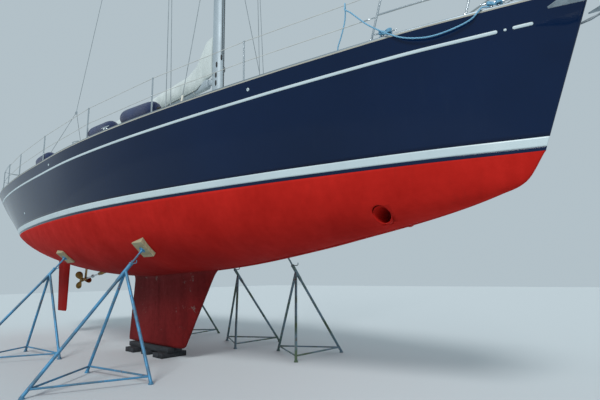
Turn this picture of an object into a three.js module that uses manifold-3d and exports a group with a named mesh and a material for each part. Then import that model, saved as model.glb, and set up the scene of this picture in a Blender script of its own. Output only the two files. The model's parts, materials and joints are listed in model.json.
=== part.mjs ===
// A sailing yacht standing ashore on keel blocks and tripod boat stands.
// Millimetres. +X runs to the bow, +Y to port, +Z up.
// The origin is on the ground, under the middle of the keel blocks.
import * as THREE from 'three';
import { mergeVertices } from 'three/addons/utils/BufferGeometryUtils.js';
import Module from 'manifold-3d';

const wasm = await Module();
wasm.setup();

// Driving dimensions of the hull
const GAP = 0.3;
const WATERLINE_Z = 2600;
const STRIPE_LOW_Z = 2640;
const STRIPE_HIGH_Z = 2733;
const STEM_X = 7200;
const STEM_LEAN = 0.346;
const LEAN_START_X = -2200;
const TRANSOM_FOOT = [-6900, 2800];
const TRANSOM_HEAD = [-6330, 3900];
const CAMBER = 0.045;
const COVE_FRONT = 6975;
const COVE_DROP = 220;
const COVE_WIDTH = 35;
const COVE_PROUD = 4;
const DECK_THICK = 22;
const TOE_RAIL = { width: 34, height: 42, inset: 8 };

// Hull sections at the waterline place x: half breadth and height of the deck edge,
// half breadth and height of the turn above the bilge, and height of the keel line.
const HULL_ROWS = [
  { x: 7200, deckHalf: 30, deckZ: 4074, turnHalf: 12, turnZ: 2600, keelZ: 2592 },
  { x: 7020, deckHalf: 118, deckZ: 4058, turnHalf: 75, turnZ: 2600, keelZ: 2337 },
  { x: 6760, deckHalf: 255, deckZ: 4036, turnHalf: 170, turnZ: 2600, keelZ: 2233 },
  { x: 6320, deckHalf: 456, deckZ: 4001, turnHalf: 331, turnZ: 2600, keelZ: 2121 },
  { x: 5730, deckHalf: 682, deckZ: 3973, turnHalf: 520, turnZ: 2600, keelZ: 2010 },
  { x: 4990, deckHalf: 923, deckZ: 3930, turnHalf: 729, turnZ: 2600, keelZ: 1897 },
  { x: 4257, deckHalf: 1141, deckZ: 3891, turnHalf: 922, turnZ: 2600, keelZ: 1791 },
  { x: 2785, deckHalf: 1495, deckZ: 3828, turnHalf: 1240, turnZ: 2600, keelZ: 1622 },
  { x: 1313, deckHalf: 1749, deckZ: 3784, turnHalf: 1475, turnZ: 2600, keelZ: 1525 },
  { x: -159, deckHalf: 1875, deckZ: 3760, turnHalf: 1593, turnZ: 2600, keelZ: 1480 },
  { x: -1630, deckHalf: 1866, deckZ: 3754, turnHalf: 1584, turnZ: 2600, keelZ: 1552 },
  { x: -3100, deckHalf: 1815, deckZ: 3762, turnHalf: 1480, turnZ: 2600, keelZ: 1720 },
  { x: -4300, deckHalf: 1720, deckZ: 3778, turnHalf: 1330, turnZ: 2600, keelZ: 1940 },
  { x: -5200, deckHalf: 1620, deckZ: 3795, turnHalf: 1160, turnZ: 2640, keelZ: 2180 },
  { x: -5900, deckHalf: 1520, deckZ: 3812, turnHalf: 1010, turnZ: 2760, keelZ: 2440 },
  { x: -6950, deckHalf: 1340, deckZ: 3840, turnHalf: 860, turnZ: 3080, keelZ: 2860 },
];
const HULL_STATIONS = 22;
const BOTTOM_STEPS = 6;
const TOPSIDE_STEPS = 3;
const DECK_STEPS = 4;
const BILGE_FULLNESS = 0.66;
const BILGE_DEPTH = 0.4;

// Keel, rudder and stern gear
const KEEL = { topZ: 1760, bottomZ: 180, leadTop: 2095, leadBottom: 1075, trailTop: -865,
    trailBottom: -1062,
  thickTop: 340, thickBottom: 240 };
const RUDDER = { stockX: -4950, stockRadius: 32, topZ: 2500, bottomZ: 600, leadTop: -4700,
    leadBottom: -4740,
  trailTop: -5625, trailBottom: -5370, thickTop: 118, thickBottom: 70, clearance: 14, angle: 35 };
const SHAFT = { radius: 18, x: -3800, z: 1420, slope: 8, hubRadius: 46, hubLength: 170, bladeTip: 240,
  bladeChord: 175, blades: 3, bracketX: -3600, barrelRadius: 38, bore: 18.6 };

// Propeller blade sections: place from hub to tip, width against the widest, and thickness
const PROPELLER_ROWS = [
  { t: 0, chord: 0.5, thick: 16 },
  { t: 0.14, chord: 0.64, thick: 15 },
  { t: 0.28, chord: 0.8, thick: 14 },
  { t: 0.42, chord: 0.93, thick: 13 },
  { t: 0.56, chord: 1, thick: 12 },
  { t: 0.7, chord: 0.96, thick: 11 },
  { t: 0.84, chord: 0.8, thick: 10 },
  { t: 0.95, chord: 0.5, thick: 9 },
  { t: 1, chord: 0.22, thick: 8 },
];

// Deck house, hatches and cockpit
const HOUSE = { front: 3950, back: -1900, wall: 30, windowBack: -1150, windowFront: 1500,
    windowHeight: 130 };
// House sections: place, half breadth at the foot and at the roof edge, height over the deck edge line
const HOUSE_ROWS = [
  { x: 3950, foot: 330, roof: 230, rise: 75 },
  { x: 3450, foot: 510, roof: 400, rise: 170 },
  { x: 2500, foot: 700, roof: 570, rise: 290 },
  { x: 1300, foot: 860, roof: 720, rise: 370 },
  { x: 0, foot: 960, roof: 810, rise: 410 },
  { x: -1900, foot: 1020, roof: 870, rise: 440 },
];
const CABIN = { front: 3000, back: -1860, half: 640, floorZ: 2360, lining: 16 };
const COCKPIT = { front: -1960, back: -5300, half: 1010, seatZ: 3600, seatThick: 40, wellFront: -2050,
    wellBack: -5150,
  wellHalf: 400, soleZ: 3150, wall: 30, coamingHeight: 250, coamingWidth: 150 };
const COAMING_TOP = 3760 + COCKPIT.coamingHeight;
// The space inside the topsides, around the cabin's lining and the cockpit
const HOLD = { front: 3000, back: -5330, half: 1040 };
const COMPANION = { half: 340, front: -1250, back: -1900, thick: 30, travel: 560 };
const HATCHES = [
  { name: 'fore_hatch', x: 4700, size: 560, seat: 'deck' },
  { name: 'saloon_hatch', x: 200, size: 500, seat: 'house' },
];
const FORECABIN = { back: 4150, front: 5150, half: 320, floorZ: 3000, lining: 16 };
const LOCKER = { front: -2500, back: -3700, inner: 490, outer: 850, floorZ: 3260, wall: 20, overhang: 25,
    thick: 18 };
const THRUSTER = { x: 5560, z: 2120, radius: 100 };
const WHEEL = { x: -4330, z: 4080, radius: 520, rim: 14, spokes: 6, hubRadius: 45 };
const PEDESTAL = { x: -4120, radius: 75, topZ: 4180 };
const SPRAYHOOD = { front: -1050, back: -2950, half: 980, topZ: 4860, wall: 12 };

// Spars and standing rigging
const MAST = { x: 1930, halfLength: 132, halfWidth: 95, topZ: 21200, wallTop: 0.72 };
const SPREADERS = [
  { z: 8900, half: 1000, sweep: 120 },
  { z: 13200, half: 800, sweep: 95 },
  { z: 17200, half: 560, sweep: 70 },
];
const BOOM = { axisX: 1740, front: 1680, back: -3850, z: 5060, halfHeight: 95, halfWidth: 56 };
const COVER_ROWS = [
  { x: 1555, half: 85, low: 5165, high: 5960 },
  { x: 1470, half: 120, low: 5060, high: 5800 },
  { x: 1330, half: 150, low: 4990, high: 5560 },
  { x: 1050, half: 165, low: 4985, high: 5440 },
  { x: 400, half: 165, low: 4985, high: 5400 },
  { x: -1200, half: 150, low: 4990, high: 5340 },
  { x: -2800, half: 125, low: 4995, high: 5280 },
  { x: -3700, half: 95, low: 5005, high: 5215 },
];
const WIRE = 6;
const SHROUD_FOOT = { capX: 1950, pairX: 2110, lowerX: 2330, half: 1050 };
const FORESTAY = { footX: 7520, footZ: 4150, headX: 1790, headZ: 20900, drumRadius: 95, sailRadius: 72 };
const BACKSTAY = { footX: -6050, footHalf: 900, footZ: 3850, splitX: -5080, splitZ: 6300, headX: 1650,
    headZ: 21120 };

// Places of the mooring cleats and the stanchions along the deck edge
const CLEATS = [6980, 5950, 1300, -5600];
const STANCHIONS = [4110, 2400, 600, -1550, -3450];
const RAIL = { height: 590, lower: 300, radius: 13, wire: 5, inset: 76 };
const PULPIT = { backX: 5760, legX: 6700, frontX: 7780, height: 610, lower: 320 };
const PUSHPIT = { frontX: -4950, backX: -6120, height: 600, lower: 310 };

// Ground gear: boat stands as the pad's place along the hull, its place across as a share of the turn's
// half breadth, side (1 port, -1 starboard), drop from the pad to the legs' head, how far the feet's
// middle lies ahead and outboard of that head, reach of the feet, and turn of the first foot
const STANDS = [
  { name: 'boat_stand_starboard_forward', x: 1480, across: 0.74, side: -1, drop: 330, ahead: 200,
    out: 540, reach: 880, turn: 40 },
  { name: 'boat_stand_starboard_aft', x: -1750, across: 0.72, side: -1, drop: 330, ahead: 250,
    out: 540, reach: 880, turn: 35 },
  { name: 'boat_stand_port_forward', x: 2450, across: 0.8, side: 1, drop: 500, ahead: 0,
    out: 220, reach: 720, turn: -60 },
  { name: 'boat_stand_port_middle', x: 500, across: 0.8, side: 1, drop: 480, ahead: 0,
    out: 280, reach: 720, turn: -60 },
  { name: 'boat_stand_port_aft', x: -1700, across: 0.8, side: 1, drop: 450, ahead: 0,
    out: 280, reach: 740, turn: -45 },
];
const STAND = { padWidth: 330, padThick: 45, lean: 0.8, tube: 24, bar: 15, barShare: 0.95, screw: 17 };
const BLOCKS = { length: 1500, width: 520, layer: 89 };

const ROPE = { radius: 8 };

const FENDERS = [
  { name: 'fender_forward', x: 1950, y: -1480, radius: 145, length: 860 },
  { name: 'fender_middle', x: 850, y: -1590, radius: 130, length: 760 },
  { name: 'fender_aft', x: -1850, y: -1640, radius: 135, length: 760 },
];

const COLOURS = {
  navy: 0x141d3f, white: 0xdfe4e6, red: 0xc22018, keelRed: 0x8f1f1a, deck: 0xd9d6cc, rail: 0xa9adac,
  house: 0xe4e3dd, glass: 0x1c2328, wood: 0x8a5f3c, cream: 0xd3cdbd, alloy: 0xb9bcc0, steel: 0xc2c5c8,
  bronze: 0xa47a3f, galvanised: 0x7d8178, blueRope: 0x3f93c8, fender: 0x17284f, stand: 0x4f5f66,
  timber: 0xa08a68, sail: 0xe6e4dc, black: 0x15171a,
};

// Small helpers for solids

function material(colour, roughness = 0.5, metalness = 0) {
  return new THREE.MeshStandardMaterial({ color: colour, roughness, metalness });
}

function toSolid(geometry) {
  const bare = geometry.clone();
  bare.deleteAttribute('normal');
  bare.deleteAttribute('uv');
  const merged = mergeVertices(bare, 1e-3);
  const mesh = new wasm.Mesh({
    numProp: 3,
    vertProperties: new Float32Array(merged.attributes.position.array),
    triVerts: new Uint32Array(merged.index.array),
  });
  return new wasm.Manifold(mesh);
}

function fromSolid(solid) {
  const mesh = solid.getMesh();
  const geometry = new THREE.BufferGeometry();
  geometry.setAttribute('position', new THREE.BufferAttribute(new Float32Array(mesh.vertProperties), 3));
  geometry.setIndex(new THREE.BufferAttribute(new Uint32Array(mesh.triVerts), 1));
  geometry.computeVertexNormals();
  return geometry;
}

function unite(solids) {
  return solids.reduce((sum, solid) => sum.add(solid));
}

function signedVolume(points, index) {
  let sum = 0;
  for (let i = 0; i < index.length; i += 3) {
    const a = points[index[i]];
    const b = points[index[i + 1]];
    const c = points[index[i + 2]];
    sum += a[0] * (b[1] * c[2] - b[2] * c[1]) - a[1] * (b[0] * c[2] - b[2] * c[0])
      + a[2] * (b[0] * c[1] - b[1] * c[0]);
  }
  return sum;
}

// A closed skin over rings of equal count, with flat ends fanned from each ring's middle.
function loft(rings) {
  const count = rings[0].length;
  const points = rings.flat();
  const index = [];
  for (let r = 0; r < rings.length - 1; r += 1) {
    for (let i = 0; i < count; i += 1) {
      const a = r * count + i;
      const b = r * count + ((i + 1) % count);
      index.push(a, b, b + count, a, b + count, a + count);
    }
  }
  for (const [ring, start, turn] of [[rings[0], 0, 1], [rings.at(-1), (rings.length - 1) * count, 0]]) {
    const middle = [0, 1, 2].map((k) => ring.reduce((sum, p) => sum + p[k], 0) / count);
    const centre = points.push(middle) - 1;
    for (let i = 0; i < count; i += 1) {
      const a = start + i;
      const b = start + ((i + 1) % count);
      index.push(...(turn ? [centre, b, a] : [centre, a, b]));
    }
  }
  if (signedVolume(points, index) < 0) {
    for (let i = 0; i < index.length; i += 3) {
      [index[i + 1], index[i + 2]] = [index[i + 2], index[i + 1]];
    }
  }
  const geometry = new THREE.BufferGeometry();
  geometry.setAttribute('position', new THREE.Float32BufferAttribute(points.flat(), 3));
  geometry.setIndex(index);
  return toSolid(geometry);
}

function box(x0, x1, y0, y1, z0, z1) {
  const geometry = new THREE.BoxGeometry(x1 - x0, y1 - y0, z1 - z0);
  geometry.translate((x0 + x1) / 2, (y0 + y1) / 2, (z0 + z1) / 2);
  return toSolid(geometry);
}

// A round bar or cone between two points.
function bar(from, to, radius, sides = 6, endRadius = radius) {
  const a = new THREE.Vector3(...from);
  const b = new THREE.Vector3(...to);
  const along = b.clone().sub(a);
  const geometry = new THREE.CylinderGeometry(endRadius, radius, along.length(), sides);
  geometry.applyQuaternion(new THREE.Quaternion().setFromUnitVectors(
    new THREE.Vector3(0, 1, 0), along.clone().normalize()));
  const middle = a.add(b).multiplyScalar(0.5);
  geometry.translate(middle.x, middle.y, middle.z);
  return toSolid(geometry);
}

// A pipe through corner points, its rings turned half way at each corner.
function pipe(corners, radius, sides = 6) {
  const points = corners.map((p) => new THREE.Vector3(...p));
  const dirs = points.slice(1).map((p, i) => p.clone().sub(points[i]).normalize());
  let side = new THREE.Vector3(0, 0, 1);
  if (Math.abs(dirs[0].z) > 0.9) side = new THREE.Vector3(1, 0, 0);
  const rings = points.map((p, i) => {
    const before = dirs[Math.max(i - 1, 0)];
    const after = dirs[Math.min(i, dirs.length - 1)];
    side.addScaledVector(before, -side.dot(before)).normalize();
    const other = before.clone().cross(side);
    const normal = before.clone().add(after).normalize();
    const ring = [];
    for (let k = 0; k < sides; k += 1) {
      const angle = (2 * Math.PI * k) / sides;
      const off = side.clone().multiplyScalar(Math.cos(angle) * radius).addScaledVector(other,
          Math.sin(angle) * radius);
      off.addScaledVector(before, -off.dot(normal) / before.dot(normal));
      ring.push(p.clone().add(off).toArray());
    }
    return ring;
  });
  return loft(rings);
}

function turned(profile, sides, place) {
  const geometry = new THREE.LatheGeometry(profile.map(([r, h]) => new THREE.Vector2(r, h)), sides);
  geometry.rotateX(Math.PI / 2);
  geometry.translate(...place);
  return toSolid(geometry);
}

function smooth(rows, key, x) {
  const next = rows.findIndex((row) => row.x <= x);
  const from = next < 0 ? rows.length - 2 : Math.max(next - 1, 0);
  const a = rows[from];
  const b = rows[from + 1];
  const slope = (i) => {
    const low = rows[Math.max(i - 1, 0)];
    const high = rows[Math.min(i + 1, rows.length - 1)];
    return (high[key] - low[key]) / (high.x - low.x);
  };
  const span = b.x - a.x;
  const t = (x - a.x) / span;
  return (2 * t ** 3 - 3 * t ** 2 + 1) * a[key] + (t ** 3 - 2 * t ** 2 + t) * span * slope(from)
    + (-2 * t ** 3 + 3 * t ** 2) * b[key] + (t ** 3 - t ** 2) * span * slope(from + 1);
}

// The hull's surface

function lean(x) {
  return STEM_LEAN * Math.max(0, (x - LEAN_START_X) / (STEM_X - LEAN_START_X)) ** 0.8;
}

function bezier(points, t) {
  const u = 1 - t;
  return [0, 1].map((k) => u ** 3 * points[0][k] + 3 * u * u * t * points[1][k] + 3 * u * t * t
      * points[2][k]
    + t ** 3 * points[3][k]);
}

function hullRow(x) {
  const row = { x };
  for (const key of ['deckHalf', 'deckZ', 'turnHalf', 'turnZ', 'keelZ']) {
    row[key] = smooth(HULL_ROWS, key, x);
  }
  return row;
}

// Half a section as [half breadth, height], from the keel line to the deck edge.
function halfSection(row) {
  const flare = (row.deckHalf - row.turnHalf) / (row.deckZ - row.turnZ);
  const depth = row.turnZ - row.keelZ;
  const curve = [[0, row.keelZ], [BILGE_FULLNESS * row.turnHalf, row.keelZ],
    [row.turnHalf - BILGE_DEPTH * depth * flare, row.turnZ - BILGE_DEPTH * depth], [row.turnHalf,
        row.turnZ]];
  const half = [];
  for (let i = 0; i < BOTTOM_STEPS; i += 1) half.push(bezier(curve, i / BOTTOM_STEPS));
  for (let i = 0; i <= TOPSIDE_STEPS; i += 1) {
    const t = i / TOPSIDE_STEPS;
    const bulge = 0.02 * row.turnHalf * 4 * t * (1 - t);
    half.push([row.turnHalf + (row.deckHalf - row.turnHalf) * t + bulge,
        row.turnZ + (row.deckZ - row.turnZ) * t]);
  }
  return half;
}

function leanX(x, z) {
  return x + lean(x) * Math.max(0, z - WATERLINE_Z);
}

function hullRing(x) {
  const row = hullRow(x);
  const half = halfSection(row);
  const port = half.map(([y, z]) => [leanX(x, z), y, z]);
  const starboard = half.slice(1).reverse().map(([y, z]) => [leanX(x, z), -y, z]);
  const deck = [];
  for (let i = 1; i < DECK_STEPS; i += 1) {
    const t = 1 - (2 * i) / DECK_STEPS;
    const y = row.deckHalf * t;
    const z = row.deckZ + CAMBER * row.deckHalf * (1 - t * t);
    deck.push([leanX(x, row.deckZ), y, z]);
  }
  return [...port, ...deck, ...starboard];
}

function stationPlaces(count) {
  const first = HULL_ROWS[0].x;
  const last = HULL_ROWS.at(-1).x;
  const fine = [0, 0.35, 0.75, 1.3, 2.1, 3.1];
  const step = (first - last) / (count - 1);
  const places = fine.map((k) => first - k * step * 0.5);
  for (let i = 2; i < count; i += 1) places.push(first - i * step);
  return places;
}

const sternCut = (() => {
  const [footX, footZ] = TRANSOM_FOOT;
  const [headX, headZ] = TRANSOM_HEAD;
  const slope = (headX - footX) / (headZ - footZ);
  const low = footX - slope * 900;
  const high = headX + slope * 900;
  const shape = new THREE.Shape([[low, footZ - 900], [high, headZ + 900], [-9000, headZ + 900],
    [-9000, footZ - 900]].map(([x, z]) => new THREE.Vector2(x, z)));
  const geometry = new THREE.ExtrudeGeometry(shape, { depth: 4000, bevelEnabled: false });
  geometry.rotateX(Math.PI / 2);
  geometry.translate(0, 2000, 0);
  return toSolid(geometry);
})();

const hullWhole = loft(stationPlaces(HULL_STATIONS).map(hullRing)).subtract(sternCut);

// The deck edge at a real place x: half breadth and height.
function deckEdge(x) {
  let nominal = x;
  for (let i = 0; i < 12; i += 1) {
    nominal -= leanX(nominal, smooth(HULL_ROWS, 'deckZ', nominal)) - x;
  }
  return { half: smooth(HULL_ROWS, 'deckHalf', nominal), z: smooth(HULL_ROWS, 'deckZ', nominal) };
}

function deckZ(x, y) {
  const edge = deckEdge(x);
  return edge.z + CAMBER * edge.half * (1 - (y / edge.half) ** 2) + DECK_THICK;
}

// Height of the hull's bottom under the point x, y.
function bottomZ(x, y) {
  const half = halfSection(hullRow(x));
  const at = half.findIndex((p) => p[0] >= Math.abs(y));
  const [a, b] = [half[at - 1], half[at]];
  return a[1] + ((Math.abs(y) - a[0]) / (b[0] - a[0])) * (b[1] - a[1]);
}

const cabinSpace = box(CABIN.back, CABIN.front, -CABIN.half, CABIN.half, CABIN.floorZ, 4400);
const cockpitSpace = box(COCKPIT.back - COCKPIT.wall - GAP, COCKPIT.front + COCKPIT.wall + GAP,
  -COCKPIT.half - COCKPIT.wall - GAP, COCKPIT.half + COCKPIT.wall + GAP,
      COCKPIT.seatZ - COCKPIT.seatThick - GAP, 4400)
  .add(box(COCKPIT.wellBack - COCKPIT.wall - GAP, COCKPIT.wellFront + COCKPIT.wall + GAP,
    -COCKPIT.wellHalf - COCKPIT.wall - GAP, COCKPIT.wellHalf + COCKPIT.wall + GAP,
    COCKPIT.soleZ - COCKPIT.wall - GAP, 4400));
const forecabinSpace = box(FORECABIN.back, FORECABIN.front, -FORECABIN.half, FORECABIN.half,
    FORECABIN.floorZ, 4400);

// The box of one locker under a cockpit seat, grown on every side but the top.
function lockerBox(side, grow, topZ) {
  const l = LOCKER;
  const y = [side * (l.inner - grow), side * (l.outer + grow)].sort((a, b) => a - b);
  return box(l.back - grow, l.front + grow, y[0], y[1], l.floorZ - grow, topZ);
}

function hullBand(lowZ, highZ) {
  return hullWhole.intersect(box(-9000, 9000, -3000, 3000, lowZ, highZ)).subtract(cabinSpace);
}

const rudderBore = bar([RUDDER.stockX, 0, 1500], [RUDDER.stockX, 0, 2330], RUDDER.stockRadius + 2 * GAP,
    24);
const thrusterBore = bar([THRUSTER.x, -900, THRUSTER.z], [THRUSTER.x, 900, THRUSTER.z], THRUSTER.radius,
    20);

function hullBottom() {
  return hullBand(1000, WATERLINE_Z - GAP / 2).subtract(rudderBore).subtract(thrusterBore);
}

function topsides() {
  const hold = box(HOLD.back - GAP, HOLD.front, -HOLD.half - GAP, HOLD.half + GAP, STRIPE_HIGH_Z - 1, 5000);
  return hullBand(STRIPE_HIGH_Z + GAP / 2, 5000).subtract(hold).subtract(forecabinSpace);
}

// A narrow painted band along the topsides under the deck edge, on one side.
function coveStripe(side) {
  const places = Array.from({ length: 19 }, (_, i) => COVE_FRONT - ((COVE_FRONT + 6300) * i) / 18);
  const band = loft(places.map((x) => {
    const z = deckEdge(x).z - COVE_DROP;
    return [[100, -1], [2400, -1], [2400, 1], [100, 1]].map(([y, up]) => [x, side * y,
        z + (up * COVE_WIDTH) / 2]);
  }));
  return band.intersect(hullWhole.translate([0, side * COVE_PROUD, 0])).subtract(hullWhole.translate([0,
      side * GAP, 0]));
}

function deckOutline(inset) {
  const edge = stationPlaces(HULL_STATIONS).map((x) => {
    const row = hullRow(x);
    return [leanX(x, row.deckZ), Math.max(row.deckHalf - inset, 3)];
  }).filter(([x, half]) => half > 3 && x > -6700);
  const points = [...edge, ...edge.slice().reverse().map(([x, y]) => [x, -y])];
  const shape = new THREE.Shape(points.map(([x, y]) => new THREE.Vector2(x, y)));
  const geometry = new THREE.ExtrudeGeometry(shape, { depth: 1200, bevelEnabled: false });
  geometry.translate(0, 0, 3600);
  return toSolid(geometry);
}

// The deck skin lies on the hull's crowned top, inside the toe rail.
function deckSkin() {
  return hullWhole.translate([0, 0, DECK_THICK]).subtract(hullWhole.translate([0, 0, GAP]))
    .intersect(deckOutline(TOE_RAIL.inset + TOE_RAIL.width + 1)).subtract(sternCut.translate([14, 0, 0]));
}

function deckSolid() {
  return deckSkin().subtract(cockpitSpace).subtract(box(CABIN.back, CABIN.front, -CABIN.half, CABIN.half,
      3500, 4400))
    .subtract(hatchHole(HATCHES[0]));
}

// What stands on the deck is cut off level with it.
const overDeck = hullWhole.translate([0, 0, DECK_THICK + GAP]);

function onDeck(solid) {
  return solid.subtract(overDeck);
}

function edgeBand(side, x, width, low, high, inset) {
  const row = hullRow(x);
  const outer = Math.max(row.deckHalf - inset, 2);
  const inner = Math.max(outer - width, 1);
  return [[outer, low], [outer, high], [inner, high], [inner, low]]
    .map(([y, lift]) => [leanX(x, row.deckZ), side * y, row.deckZ + lift]);
}

// The alloy toe rail, with the mooring cleats that stand on it and the bar across the stern.
function toeRail() {
  const sides = [1, -1].map((side) => loft(stationPlaces(HULL_STATIONS)
    .map((x) => edgeBand(side, x, TOE_RAIL.width, -12, TOE_RAIL.height, TOE_RAIL.inset))));
  const cleats = [];
  for (const x of CLEATS) {
    for (const side of [1, -1]) {
      const edge = deckEdge(x);
      const y = side * (edge.half - TOE_RAIL.inset - TOE_RAIL.width / 2);
      const z = edge.z + TOE_RAIL.height;
      const toe = side * (deckEdge(x + 110).half - deckEdge(x - 110).half) / 2;
      cleats.push(bar([x + 120, y + toe * 1.1, z + 44], [x - 120, y - toe * 1.1, z + 44], 12));
      cleats.push(bar([x, y, z - 8], [x, y, z + 44], 30, 6, 20));
    }
  }
  const nose = deckEdge(7640);
  const bridge = box(7560, 7690, -60, 60, nose.z + 26, nose.z + TOE_RAIL.height);
  const stern = deckEdge(-6300);
  const tail = hullWhole.translate([0, 0, TOE_RAIL.height + 20])
    .intersect(box(-6330, -6290, -stern.half + 14, stern.half - 14, 3000, 5000));
  return unite([...sides, ...cleats, bridge]).subtract(sternCut.translate([4, 0, 0]))
    .subtract(box(7700, 8000, -99, 99, 3900, 4300)).subtract(hullWhole.translate([0, 0, GAP]))
    .add(tail.subtract(overDeck)).subtract(hullWhole.translate([GAP, 0, GAP]));
}

// Keel, rudder and stern gear

function foilRing(lead, trail, thick, z, steps = 9) {
  const chord = lead - trail;
  const side = (sign) => {
    const points = [];
    for (let i = 0; i <= steps; i += 1) {
      const t = 0.5 - 0.5 * Math.cos((Math.PI * i) / steps);
      const shape = 2.6 * Math.sqrt(t) * (1 - t) ** 0.9 * 0.84 + 0.03 * t;
      points.push([lead - chord * t, (sign * thick * shape) / 2, z]);
    }
    return points;
  };
  return [...side(1), ...side(-1).slice(1).reverse().filter((p, i) => i < steps)];
}

function finKeel() {
  const k = KEEL;
  const rings = [0, 0.03, 0.5, 1].map((t) => {
    const at = (low, high) => low + (high - low) * t;
    const nip = t === 0 ? 1 : 0;
    return foilRing(at(k.leadBottom, k.leadTop) - 55 * nip, at(k.trailBottom, k.trailTop) + 10 * nip,
      at(k.thickBottom, k.thickTop) * (nip ? 0.72 : 1), at(k.bottomZ, k.topZ));
  });
  return loft(rings).subtract(hullWhole.translate([0, 0, -GAP]));
}

function rudderBlade() {
  const r = RUDDER;
  let blade = loft([0, 0.04, 1].map((t) => {
    const at = (low, high) => low + (high - low) * t;
    const nip = t === 0 ? 1 : 0;
    return foilRing(at(r.leadBottom, r.leadTop) - 30 * nip, at(r.trailBottom, r.trailTop),
      at(r.thickBottom, r.thickTop) * (nip ? 0.7 : 1), at(r.bottomZ, r.topZ));
  }));
  for (const part of [-1, -0.5, 0, 0.5, 1]) {
    blade = blade.subtract(hullWhole.translate([-r.stockX, 0, -r.clearance]).rotate([0, 0, part * r.angle])
      .translate([r.stockX, 0, 0]));
  }
  return blade.add(bar([r.stockX, 0, 1900], [r.stockX, 0, 2300], r.stockRadius, 24));
}

function shaftPoint(x) {
  return [x, 0, SHAFT.z + (x - SHAFT.x) * Math.tan((SHAFT.slope * Math.PI) / 180)];
}

function sternGear() {
  const s = SHAFT;
  const tube = bar(shaftPoint(-1700), shaftPoint(-2780), s.barrelRadius, 20);
  const barrel = bar(shaftPoint(s.bracketX + 80), shaftPoint(s.bracketX - 80), s.barrelRadius, 20);
  const strut = loft([[s.bracketX, 1440], [s.bracketX + 60, 1950]].map(([x, z]) => foilRing(x + 70,
      x - 70, 24, z, 6)));
  return { tube: tube.subtract(hullWhole.translate([0, 0, -GAP])), barrel, strut };
}

function sternTube() {
  return sternGear().tube.subtract(bar(shaftPoint(-2450), shaftPoint(-3000), SHAFT.bore, 20));
}

function shaftBracket() {
  const gear = sternGear();
  return gear.strut.add(gear.barrel).subtract(hullWhole.translate([0, 0, -GAP]))
    .subtract(bar(shaftPoint(-3000), shaftPoint(-4200), SHAFT.bore, 20));
}

function propellerShaft() {
  return bar(shaftPoint(-2470), shaftPoint(SHAFT.x - 130), SHAFT.radius, 16);
}

function propeller() {
  const s = SHAFT;
  const tail = shaftPoint(s.x);
  const hub = turned([[0, -s.hubLength / 2 - 40], [22, -s.hubLength / 2 - 20], [s.hubRadius - 6,
      -s.hubLength / 2 + 20],
    [s.hubRadius, 0], [s.hubRadius - 4, s.hubLength / 2], [0, s.hubLength / 2]], 20, [0, 0, 0]);
  const blades = [];
  for (let b = 0; b < s.blades; b += 1) {
    const rings = PROPELLER_ROWS.map(({ t, chord, thick }) => {
      const radius = s.hubRadius * 0.6 + (s.bladeTip - s.hubRadius * 0.6) * t;
      const pitch = Math.atan2(0.26 * s.bladeTip, radius);
      return [[-0.5, 0.3], [-0.2, 0.5], [0.2, 0.5], [0.5, 0.3], [0.5, -0.3], [0.2, -0.5], [-0.2, -0.5],
          [-0.5, -0.3]]
        .map(([c, w]) => {
          const [wide, deep] = [s.bladeChord * chord * c, thick * w];
          return [wide * Math.cos(pitch) - deep * Math.sin(pitch), radius,
              wide * Math.sin(pitch) + deep * Math.cos(pitch)];
        });
    });
    blades.push(loft(rings).rotate([0, 0, (360 * b) / s.blades]));
  }
  const whole = unite([hub, ...blades]).rotate([0, 90 - s.slope, 0]).translate(tail);
  return whole.subtract(bar(shaftPoint(-2400), shaftPoint(s.x - 130.5), s.radius + GAP, 16));
}

// Deck house

function houseRing(x, inset, footDrop) {
  const row = {};
  for (const key of ['foot', 'roof', 'rise']) row[key] = smooth(HOUSE_ROWS, key, x);
  const foot = row.foot - inset;
  const roof = row.roof - inset;
  const top = deckEdge(x).z + row.rise - inset;
  const low = deckEdge(x).z + footDrop;
  const ring = [[foot, low], [foot - 6, low + 40], [roof + 26, top - 34], [roof, top - 6]];
  for (const t of [0.66, 0.33]) ring.push([roof * t, top + 0.07 * row.roof * (1 - t * t)]);
  ring.push([0, top + 0.07 * row.roof]);
  const mirrored = ring.slice(0, -1).reverse().map(([y, z]) => [-y, z]);
  return [...ring, ...mirrored].map(([y, z]) => [x, y, z]);
}

function housePlaces(front, back, count) {
  return Array.from({ length: count + 1 }, (_, i) => front + ((back - front) * i) / count);
}

const houseOuter = loft(housePlaces(HOUSE.front, HOUSE.back, 8).map((x) => houseRing(x, 0, -40)))
  .subtract(overDeck);
const houseInner = loft(housePlaces(HOUSE.front - 300, HOUSE.back + HOUSE.wall, 8)
  .map((x) => houseRing(x, HOUSE.wall, -80)));

function windowSpace(shrink) {
  const low = 3762 + 195;
  const z0 = low + shrink;
  const z1 = low + HOUSE.windowHeight - shrink;
  const shape = new THREE.Shape();
  const r = HOUSE.windowHeight / 2 - shrink;
  const [a, b] = [HOUSE.windowBack + r + shrink, HOUSE.windowFront - r - shrink];
  shape.moveTo(a, z0);
  shape.lineTo(b, z0);
  shape.absarc(b, z0 + r, r, -Math.PI / 2, Math.PI / 2, false);
  shape.lineTo(a, z1);
  shape.absarc(a, z0 + r, r, Math.PI / 2, (3 * Math.PI) / 2, false);
  const geometry = new THREE.ExtrudeGeometry(shape, { depth: 2400, bevelEnabled: false, curveSegments: 8 });
  geometry.rotateX(Math.PI / 2);
  geometry.translate(0, 1200, 0);
  return toSolid(geometry);
}

const companionSlot = box(COMPANION.back - 60, COMPANION.front, -COMPANION.half, COMPANION.half, 4000,
    4500);
const companionDoor = box(HOUSE.back - 60, HOUSE.back + 90, -COMPANION.half + 40, COMPANION.half - 40,
    3875, 4500);

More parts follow.
